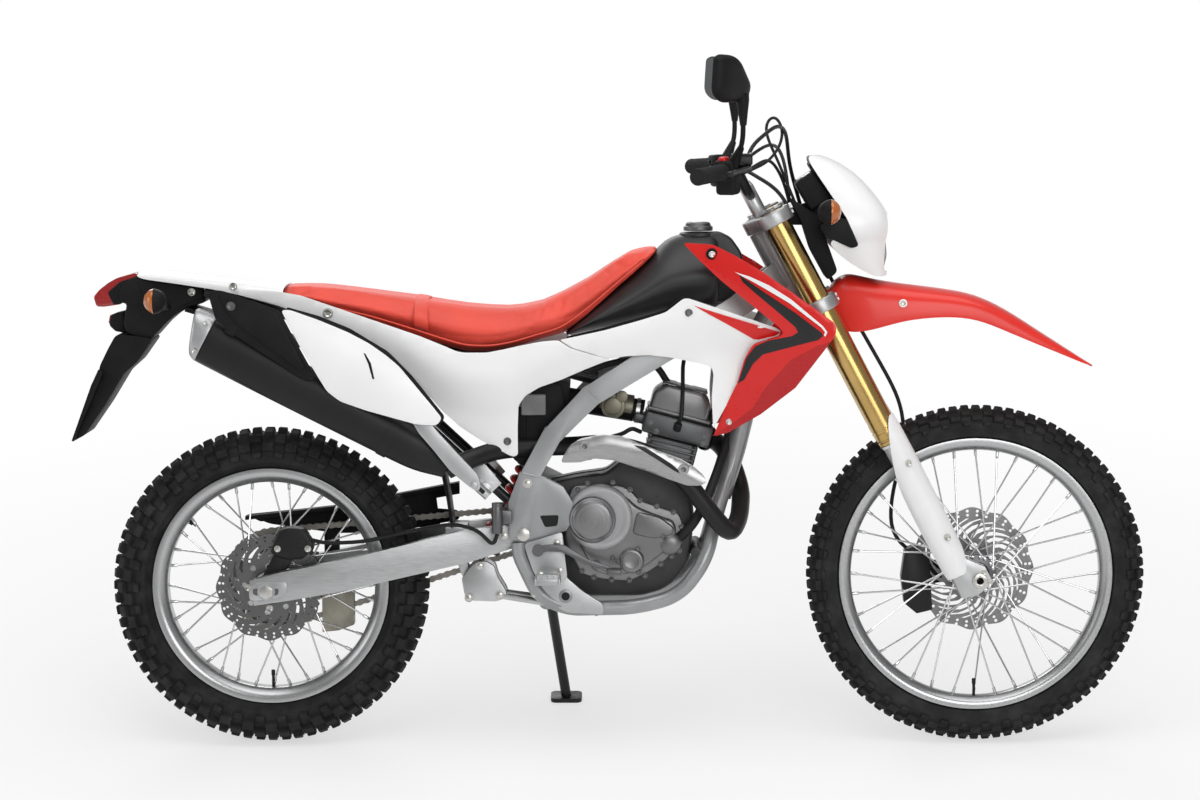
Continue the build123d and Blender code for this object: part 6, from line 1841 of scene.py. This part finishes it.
def makeExhaust():
    route = [(878, 12, 632), (922, 44, 612), (950, 54, 566), (967, 28, 512), (961, -50, 466),
        (940, -112, 438), (890, -128, 500), (846, -130, 560), (770, -130, 612), (690, -124, 628),
        (622, -62, 616), (560, -60, 614), (470, -94, 612), (412, -138, 596), (372, -152, 578)]
    header = bent("headerPipe", route, 18.8, 60, 10)
    flange = lathe("headerFlange", [(0, 18), (0, 27), (7, 27), (7, 18)], (898, 26, 622), 32, (-44, -32, 20))
    finish(join("headerPipe", [header, flange]), headerSteel, ["exhaust_header"])
    body = skin("silencer", [canRing(*row) for row in canRows], level=1)
    band = [canRing((258 + s, 648 - 0.53 * s), 42.9 + lift, 43.6 + lift)
        for s, lift in ((-9, 0.2), (-9, 1.6), (9, 1.6), (9, 0.2))]
    clampRing = skin("silencerBand", band, caps=False, level=0)
    finish(join("silencer", [body, clampRing]), canPaint, ["muffler"])
    cap = skin("silencerCap", [canRing(*row) for row in capRows], level=1)
    finish(cap, castAlloy)
    a = radians(can["slant"])
    back = (-cos(a), 0, sin(a))
    outlet = lathe("outlet", [(-14, 12), (-14, 15.6), (0, 15.6), (0, 12)], can["tip"], 32, back)
    finish(outlet, darkSteel)
    bore = lathe("outletBore", [(-13, 0.2), (-13, 12.5), (-5, 12.5), (-5, 0.2)], can["tip"], 28, back)
    finish(bore, headerSteel)
    finish(bolts("capRivets", [(-128, -199.1, 822), (-104, -199.1, 878)], (0, -1, 0), 4.0, 1.6, True, 1.2),
        zincSteel)
    lowLayer = [(-99, 938), (-84, 944), (-69, 942), (42, 903), (112, 772), (106, 762), (86, 766), (-44, 852),
        (-84, 884)]
    topLayer = [(-78, 938), (-66, 936), (36, 900), (94, 786), (80, 786), (-36, 872), (-62, 900)]
    black = [panel("silencerCover", rounded(lowLayer, 7, 3), lambda x, z: coverFace(x, z) - 3.2, 2.6, 16,
        0.8), panel("silencerCoverTop", rounded(topLayer, 8, 3), coverFace, 5.0, 16, 1.4)]
    pad = plate("coverMount", rounded([(-60, 880), (-40, 870), (-48, 850), (-68, 860)], 4, 2), 197, 204, 1)
    finish(join("silencerCover", [otherSide(piece) for piece in black + [pad]]), blackPlastic,
        ["exhaust_shields"])
    white = [(46, 903), (62, 904), (120, 883), (179, 858), (220, 836), (254, 812), (280, 790), (300, 766),
        (350, 706), (364, 688), (358, 677), (350, 673), (314, 675), (213, 703), (162, 721), (136, 741),
        (120, 768), (86, 826)]
    finish(otherSide(panel("heatPanel", rounded(white, 8, 3), coverFace, 3.0, 16, 1.0)), whitePlastic)
    # a black plate behind the white heat panel, larger than it, so that a dark rim shows round its edge: painted
    # shade of the gap between the panels
    gapShadeOutline = [(54, 910), (120, 891), (181, 866), (257, 820), (305, 772), (371, 690), (362, 674), (314, 680),
        (160, 730), (92, 830)]
    finish(otherSide(panel("gapShadeBacking", rounded(gapShadeOutline, 8, 3), lambda x, z: coverFace(x, z) - 3.4, 2.0,
        24, 0)), blackPlastic)
    slit = [(209, 818), (213, 816), (224, 797), (231, 766), (227, 766), (219, 795)]
    finish(otherSide(decal("heatPanelSlit", slit, coverFace, 0.4, 10)), blackPlastic)
    shield = [(600, 592), (606, 608), (617, 626), (638, 640), (681, 649), (724, 645), (749, 634), (842, 598),
        (866, 584), (886, 566), (893, 552), (878, 545), (853, 545), (817, 557), (710, 595), (667, 600),
        (638, 592)]
    finish(otherSide(panel("headerShield", rounded(shield, 6, 3), shieldFace, 2.0, 9, 0.7)), shieldSteel)
    slot = [(744, 628), (768, 624), (824, 588), (846, 566), (826, 576), (790, 600)]
    finish(otherSide(decal("shieldSlot", rounded(slot, 5, 2), shieldFace, 0.4, 9)), headerSteel)
    dish = [disc("screwDish", spot, [(-156.9, 5), (-156.9, 10.5), (-153, 11.5), (-153, 5)], 32)
        for spot in ((648, 625), (846, 578))]
    finish(join("screwDishes", dish), shieldSteel)
    finish(bolts("shieldScrews", [(648, -155.6, 625), (846, -155.6, 578)], (0, -1, 0), 5.4, 1.6, True, 1.2),
        darkSteel)
    finish(bolts("silencerBolts", [(-53, -206.0, 912)], (0, -1, 0), 6.0, 2.4, True, 1.5), darkSteel)


makeEngine()
makeCovers()
makeIntake()
makeExhaust()
print("engine and exhaust done")

# Frame, suspension, rear brake and foot controls
def hexHead(name, spot, across, radius, height):
    return scatter(name, boltHead(radius, height, 1.0), [aim(spot, (0, across, 0))])


def makeFrame():
    refine("main_frame", "frameSpars", framePaint, 5.0, 3, 30)
    refine("cradle", "downTube", framePaint, 0)
    refine("subframe_rails", "subframeRails", blackPaint, 0)
    refine("subframe_struts", "subframeStruts", blackPaint, 0)
    welds = []
    for side in (1, -1):
        for x0, z0, x1, z1 in ((649, 741, 675, 715), (520, 566, 561, 556)):
            middle = ((x0 + x1) / 2, side * 105.8, (z0 + z1) / 2)
            welds.append(bent("weld", [(x0, side * 105.4, z0), middle, (x1, side * 105.4, z1)], 2.3, 10, 5))
    welds += [lathe("railWeld", [(-3.5, 13), (-3.5, 15.6), (0, 16.8), (3.5, 15.6), (3.5, 13)],
        (669, side * 88, 287), 32, (1, 0, 0.02)) for side in (1, -1)]
    plates = [drum("linkBoss", (607, side * 98, 314), (607, side * 107, 314), 14, 1.5, 32)
        for side in (1, -1)]
    finish(join("frameWelds", welds + plates), framePaint)
    # dark plates over the frame's windows and dark discs in the link bosses are painted shade of these openings
    window = rounded([(555, 479), (594, 480), (591, 458), (566, 455)], 4, 2)
    windows = [plate("window", window, low, low + 1.6, 0.5, 1) for low in (105, -106.6)]
    windows += [drum("bossHoleShade", (607, side * 106, 314), (607, side * 107.8, 314), 8.5, 0.6, 24)
        for side in (1, -1)]
    finish(join("frameOpeningShades", windows), gripRubber)
    heads = [(531, 545), (483, 438), (545, 318)]
    parts = [bolts("plateBolts", [(x, side * (106 if z > 400 else 103), z) for x, z in heads], (0, side, 0),
        6.2, 3.6) for side in (1, -1)]
    parts += [disc("plateDish", (531, 545), [(side * 105, 0.2), (side * 105, 11), (side * 107.2, 10),
        (side * 107.2, 0.2)], 28) for side in (1, -1)]
    finish(join("plateBolts", parts), zincSteel)


def makeArm():
    refine("swingarm", "swingarm", armAlloy, 4.0, 3, 30)
    end = [(-34, 306), (30, 312), (42, 326), (42, 346), (-20, 345), (-36, 330)]
    ends = twoPlates("axlePlate", rounded(end, 8, 3), 112, 114.4, 0.8)
    # the dark plate over each axle slot is painted shade in the recessed slot
    slots = twoPlates("paintedSlotShade", rounded([(-26, 318), (24, 318), (26, 332), (-28, 332)], 6, 3), 112, 115.2,
        0.4, 1)
    screws = []
    for side in (1, -1):
        washer = [(side * 112, 8), (side * 112, 17.8), (side * 115.6, 17.8), (side * 115.6, 8)]
        ends.append(disc("axleWasher", (0, 325), washer, 36))
        screws += [drum("adjuster", (34, side * 99, 342), (52, side * 99, 345), 5, 1, 24),
            drum("adjusterEnd", (-36, side * 99, 323), (-28, side * 99, 324), 6, 1, 6)]
    finish(join("axlePlates", ends), castAlloy)
    finish(join("paintedSlotShades", slots), darkSteel)
    nuts = [hexHead("axleNut", (0, 114.2 if side > 0 else -114.2, 325), side, 14.5, 4.4) for side in (1, -1)]
    nuts += [hexHead("pivotHead", (522, side * 106, 440), side, 13.4, 5.6) for side in (1, -1)]
    shaft = [drum("axleShaft", (0, -118.6, 325), (0, 118.6, 325), 9.9, 1.2, 36),
        drum("pivotShaft", (522, -113.6, 440), (522, 113.6, 440), 8.9, 1.2, 32)]
    for low, high, radius in ((82, 86, 15.8), (-86, -67, 15.8), (-60, -58.2, 13.8)):
        shaft.append(drum("axleSpacer", (0, low, 325), (0, high, 325), radius, 0.4, 36))
    finish(join("rearAxle", nuts + shaft + screws), zincSteel, ["rear_axle_and_pivot_bolt"])
    rocker = rounded([(392, 341), (398, 306), (412, 294), (462, 292), (486, 300), (484, 314), (466, 344),
        (460, 366), (440, 377), (418, 373)], 6, 3)
    links = twoPlates("rocker", rocker, 23, 33.5, 2.5)
    for side in (1, -1):
        links.append(drum("linkRod", (474, side * 28, 304), (590, side * 28, 285), 7, 1.5, 24))
        links.append(disc("rodEye", (599, 284), [(side * 21, 0.2), (side * 21, 11.5), (side * 34, 11.5),
            (side * 34, 0.2)], 28))
    links.append(plate("rockerBlock", rounded([(374, 395), (401, 395), (409, 338), (393, 342)], 4, 2), -19.5,
        19.5, 2, 2))
    links += [drum("linkPin", (x, -33, z), (x, 33, z), 8.5, 0.5, 24)
        for x, z in ((407, 304), (470, 306), (430, 366))]
    finish(smooth(join("shockLink", links), 35), castAlloy, ["shock_linkage"])
    spots = [(407, 300), (470, 306), (430, 366), (598, 284)]
    finish(join("linkBolts", [bolts("linkBolts", [(x, side * 34, z) for x, z in spots], (0, side, 0), 6.5,
        4.0) for side in (1, -1)]), zincSteel)


# spring: its turns, its radius, its wire's and the shares of the shock's length where it starts and ends
shock = {"foot": (430, 0, 366), "top": (574, 0, 648), "turns": 8.5, "coil": 22.4, "wire": 5.2, "start": 0.12,
    "end": 0.70}


def makeShock():
    foot, top = Vector(shock["foot"]), Vector(shock["top"])
    axis = (top - foot).normalized()
    reach = (top - foot).length

    def along(share):
        return foot + (top - foot) * share
    coil = []
    side = axis.cross(Vector((0, 1, 0)))
    perTurn = 20
    steps = int(shock["turns"] * perTurn)
    for step in range(steps + 1):
        a = 2 * pi * step / perTurn
        rise = shock["start"] + (shock["end"] - shock["start"]) * step / steps
        coil.append(along(rise) + (side * cos(a) + Vector((0, 1, 0)) * sin(a)) * shock["coil"])
    spring = pipe("spring", coil, shock["wire"], order=3, resolution=1, sides=4)
    finish(spring, springPaint, ["rear_shock"])
    body = lathe("damper", [(0.2 * reach, 0.2), (0.2 * reach, 8), (0.115 * reach, 8), (0.115 * reach, 27.4),
        (0.10 * reach, 27.4), (0.10 * reach, 0.2)], foot, 36, axis)
    can = lathe("damperCan", [(0.40 * reach, 0.2), (0.40 * reach, 15), (0.70 * reach, 15),
        (0.70 * reach, 27.4), (0.718 * reach, 27.4), (0.718 * reach, 21.6), (0.74 * reach, 21.6),
        (0.92 * reach, 21.6), (0.93 * reach, 19), (0.93 * reach, 0.2)], foot, 40, axis)
    rod = drum("damperRod", along(0.0), along(0.42), 7.5, 0.5, 28)
    eyes = [disc("shockEye", (574, 648), [(-14, 0.2), (-14, 16.8), (14, 16.8), (14, 0.2)], 32),
        disc("shockFoot", (430, 366), [(-20, 0.2), (-20, 8.8), (20, 8.8), (20, 0.2)], 32)]
    finish(smooth(join("damper", [body, can] + eyes), 35), darkSteel)
    finish(rod, spokeSteel)


def makeChainGuard():
    guard = refine("chain_guard", "chainGuard", blackPlastic, 1.2, 2, 35)
    guard.data.materials.append(creamPlastic)
    local = parked.inverted() @ guard.matrix_world
    for face in guard.data.polygons:
        x, _, z = (local @ face.center) / mm
        face.material_index = 1 if 90 < x < 170 and 236 < z < 345 else 0
    side = [(-62, 458), (120, 476), (196, 484), (249, 500), (315, 506), (330, 470), (381, 466), (383, 446),
        (240, 419), (125, 418), (-14, 438)]
    finish(plate("chainGuardSide", rounded(side, 8, 3), 89.5, 93.5, 1.2, 2), blackPlastic)
    finish(plate("chainGuide", rounded([(99, 330), (161, 338), (161, 300), (99, 288)], 5, 2), 92, 93.6, 0.6,
        1), creamPlastic)
    refine("inner_fender", "innerFender", blackPlastic, 0.8, 1, 50)
    refine("radiator", "radiator", radiatorAlloy, 3.0, 2, 40)
    slats = []
    up = Vector((sin(radians(9)), 0, cos(radians(9))))
    ahead = Vector((up.z, 0, -up.x))
    for step in range(17):
        spot = Vector((962, 98, 690)) + up * (12 + step * 8.5) + ahead * 14.6
        slats.append(moved(spot) @ Matrix.Rotation(radians(9), 4, "Y"))
    fin = plate("slat", [(-1, -1.4), (1.4, -0.2), (1.4, 0.6), (-1, 1.4)], -36, 36, 0)
    slat = scatter("radiatorSlats", fin, slats)
    finish(slat, darkSteel)
    refine("rear_brake_hose", "rearBrakeHose", hoseRubber, 0)


def makeRearBrake():
    outline = [(4, 399), (22, 444), (40, 451), (72, 449), (96, 414), (72, 387), (40, 385)]
    body = plate("rearCaliper", rounded(outline, 8, 3), -77.5, -56.5, 3, 3)
    inner = plate("rearCaliperInner", rounded(outline, 8, 3), -47.5, -38.5, 2, 2)
    bridge = plate("rearCaliperBridge", rounded([(22, 443), (40, 450.5), (72, 448.5), (84, 434), (40, 439.5)],
        3, 2), -74, -40, 1.5, 2)
    bracket = plate("rearBracket", rounded([(-18, 318), (-14, 348), (20, 410), (60, 400), (28, 352),
        (20, 312)], 5, 2), -66.8, -60.2, 1.2, 2)
    hub = cut(disc("rearBracketEye", (0, 325), [(-66.9, 11), (-66.9, 23.8), (-60.1, 23.8), (-60.1, 11)], 40),
        drum("cut", (0, -80, 325), (0, -50, 325), 10.4))
    pistons = [disc("pistonCap", (x, z), [(-77, 0.2), (-77, 13), (-77.8, 12), (-77.8, 9), (-76.4, 8),
        (-76.4, 0.2)], 28) for x, z in ((36, 416), (68, 420))]
    finish(smooth(join("rearCaliper", [body, inner, bridge, bracket, hub] + pistons), 35), blackPaint,
        ["rear_caliper"])
    finish(bolts("caliperBolts", [(20, -77.4, 408), (82, -77.4, 408)], (0, -1, 0), 5, 3.0, True), zincSteel)


def makeHangers():
    # the cast gusset below each rider's peg, and the bracket that hangs a passenger's peg beside the silencer
    gusset = rounded([(512, 426), (541, 430), (574, 415), (591, 378), (612, 350), (642, 324), (684, 298),
        (684, 276), (609, 280), (562, 306), (536, 346), (522, 393)], 8, 3)
    cast = twoPlates("gusset", gusset, 98, 105.4, 3, 3)
    hanger = [(304, 680), (334, 686), (356, 658), (398, 612), (436, 572), (441, 548), (434, 538), (414, 552),
        (380, 580), (347, 622), (318, 656)]
    cast.append(plate("pegHanger", rounded(hanger, 7, 3), -197.5, -190.5, 2, 3))
    cast.append(drum("hangerPin", (427, -112, 552), (427, -200, 552), 7.5, 1.5, 24))
    finish(join("castHangers", cast), castAlloy)


def makePegs():
    bracket = [(523, 422), (601, 447), (606, 400), (611, 353), (600, 343), (553, 343), (539, 372)]
    parts = twoPlates("pegBracket", rounded(bracket, 7, 3), 106.2, 113.8, 1.5)
    teeth = []
    for side in (1, -1):
        parts.append(softBox("pegHinge", (42, 16, 16), 3, moved((573, side * 121, 353.6))))
        for x in (549, 596):
            parts.append(softBox("pegRail", (5, 66, 13), 1.2, moved((x, side * 164, 355))))
        for y in (132, 147, 162, 177, 191.5):
            parts.append(softBox("pegBar", (50, 5, 13), 1.2, moved((572.5, side * y, 355))))
        bpy.ops.mesh.primitive_cone_add(vertices=4, radius1=2.6 * mm, radius2=1.0 * mm, depth=3 * mm)
        tooth = nameIt("tooth")
        spots = [(x, side * y, 361.4) for x in (549, 596) for y in range(136, 196, 8)] + [(x, side * y, 361.4)
            for x in (560, 572, 584) for y in (132, 162, 191)]
        teeth.append(scatter("teeth", tooth, [moved(spot) for spot in spots]))
    finish(join("riderPegs", parts + teeth), castAlloy, ["footpegs"])
    refine("passenger_pegs", "passengerPegs", castAlloy, 2.5, 2, 30)
    rubberPad = [softBox("pegRubber", (11, 9, 56), 3, aim((424, side * 120, 546), (-56, 0, 52)))
        for side in (1, -1)]
    finish(join("pegRubbers", rubberPad), gripRubber)
    finish(join("bracketBolts", [bolts("bracketBolts", [(x, side * 113.8, z)
        for x, z in ((545, 412), (590, 425), (596, 368), (556, 360))], (0, side, 0), 5.5, 3.2)
        for side in (1, -1)]), zincSteel)


def makeControls():
    pedal = plate("pedalArm", rounded([(545, 405), (548, 419), (578, 423), (606, 422), (650, 394), (706, 375),
        (706, 367), (646, 383), (600, 408), (570, 409)], 4, 2), -129.6, -122.4, 1.6, 2)
    pad = softBox("pedalPad", (30, 42, 10), 2, moved((706, -144.6, 370)))
    ribs = [softBox("pedalRib", (3, 36, 3), 0.6, moved((x, -145, 375.0))) for x in (697, 703, 709, 715)]
    hub = disc("pedalHub", (552, 410), [(-129.8, 0.2), (-129.8, 11.8), (-114.4, 11.8), (-114.4, 0.2)], 32)
    cylinder = [drum("masterCylinder", (470, -124, 445), (470, -124, 507), 10.8, 2, 36),
        drum("masterCap", (470, -124, 500), (470, -124, 507.6), 11, 1, 36)]
    low = plate("masterFoot", rounded([(465, 463), (499, 463), (499, 491), (465, 491)], 4, 2), -117.8, -106.3,
        1.5, 2)
    lever = plate("shiftArm", rounded([(638, 337), (636, 351), (660, 355), (752, 373), (754, 363),
        (660, 341)], 4, 2), 110.3, 117.7, 1.6, 2)
    tip = [disc("shiftTip", (748, 368), [(117, 0.2), (117, 5), (120, 5), (120, 7.8), (154, 7.8), (155.8, 6),
        (155.8, 0.2)], 32), disc("shiftHub", (646, 344), [(60.5, 0.2), (60.5, 7.8), (118, 7.8), (118, 0.2)],
        32)]
    finish(smooth(join("footControls", [pedal, pad, hub, lever] + ribs + cylinder + [low] + tip), 35),
        darkSteel, ["foot_controls"])
    finish(bolts("masterBolts", [(470, -124.4, 470)], (0, -1, 0), 4, 2.4, True), zincSteel)
    refine("side_stand", "sideStand", blackPaint, 1.5, 2, 35)


makeFrame()
makeArm()
makeShock()
makeChainGuard()
makeRearBrake()
makeHangers()
makePegs()
makeControls()
print("chassis done")

# CAD nodes that keep their own mesh
plain = {"main_frame": framePaint, "cradle": framePaint}
for node, piece in frame["nodes"].items():
    if not piece.hide_render:
        coat(piece, plain.get(node, blackPlastic))
print("carried nodes finished")

# Camera, floor and plain studio light
camera = {"place": (765.68, -7014.61, 1364.44), "yaw": -0.012668, "pitch": -0.093910, "roll": -0.003595,
    "lens": 103.219, "sensor": 36}


def makeCamera():
    yaw, pitch, roll = camera["yaw"], camera["pitch"], camera["roll"]
    forward = Vector((sin(yaw) * cos(pitch), cos(yaw) * cos(pitch), sin(pitch)))
    flat = forward.cross(Vector((0, 0, 1))).normalized()
    rise = flat.cross(forward)
    right = flat * cos(roll) + rise * sin(roll)
    up = rise * cos(roll) - flat * sin(roll)
    bpy.ops.object.camera_add()
    eye = bpy.context.active_object
    eye.data.lens, eye.data.sensor_width = camera["lens"], camera["sensor"]
    eye.data.clip_end = 60
    turn = Matrix((right, up, -forward)).transposed().to_4x4()
    eye.matrix_world = parked @ moved(camera["place"]) @ turn
    bpy.context.scene.camera = eye


def makeFloor():
    bpy.ops.mesh.primitive_plane_add(size=60)
    floor = nameIt("floor")
    look = Finish("floorPaper")
    x, y, _ = look.split(look.place)
    away = (x * x + y * y) ** 0.5
    rays = [look.node("ShaderNodeLightPath", output=name) for name in ("Is Camera Ray", "Is Glossy Ray",
        "Is Transmission Ray")]
    seen = (rays[0] + rays[1] + rays[2]).maths("MINIMUM", 1.0)
    look.set(Base_Color=look.mix((0.86, 0.86, 0.86), (0.88, 0.88, 0.88), look.noise(3, 2)), Roughness=0.9,
        Specular_IOR_Level=0.1)
    glow = look.node("ShaderNodeEmission", None, {"Color": (1.0, 1.0, 1.0), "Strength": 1.0})
    paper = look.node("ShaderNodeMixShader", None, [seen * (away.between(0.9, 2.8) * 0.4 + 0.6),
        Wire(look, look.shader.outputs[0]), glow])
    look.tree.links.new(paper.socket, look.tree.nodes["Material Output"].inputs["Surface"])
    floor.data.materials.append(look.material)


lamps = {
    "overhead": {"place": (0.2, -0.6, 4.6), "size": (5.0, 3.6), "power": 124, "aim": (0, 0, 0.5)},
    "frontSide": {"place": (1.6, -4.8, 2.6), "size": (3.2, 2.2), "power": 84, "aim": (0, 0, 0.6)},
    "leftSide": {"place": (-1.2, 4.6, 2.6), "size": (3.2, 2.2), "power": 66, "aim": (0, 0, 0.6)},
    "tail": {"place": (-4.4, -1.6, 2.0), "size": (2.0, 2.0), "power": 26, "aim": (0, 0, 0.6)},
}


def makeLight():
    for name, lamp in lamps.items():
        spot = Vector(lamp["place"])
        bpy.ops.object.light_add(type="AREA", location=spot)
        light = bpy.context.active_object
        light.name = name
        light.data.shape = "RECTANGLE"
        light.data.size, light.data.size_y = lamp["size"]
        light.data.energy = lamp["power"]
        light.rotation_euler = (Vector(lamp["aim"]) - spot).to_track_quat("-Z", "Y").to_euler()
    world = bpy.data.worlds.new("studio")
    bpy.context.scene.world = world
    world.use_nodes = True
    tree = world.node_tree
    sky = tree.nodes["Background"]
    sky.inputs["Color"].default_value = (1, 1, 1, 1)
    path = tree.nodes.new("ShaderNodeLightPath")
    lit = tree.nodes.new("ShaderNodeMapRange")
    total = tree.nodes.new("ShaderNodeMath")
    total.operation = "ADD"
    tree.links.new(path.outputs["Is Camera Ray"], total.inputs[0])
    tree.links.new(path.outputs["Is Transmission Ray"], total.inputs[1])
    tree.links.new(total.outputs[0], lit.inputs["Value"])
    lit.inputs["To Min"].default_value = 0.34
    tree.links.new(lit.outputs[0], sky.inputs["Strength"])


makeCamera()
makeFloor()
makeLight()
bpy.context.scene.view_settings.view_transform = "Standard"
print("camera, floor and light set")
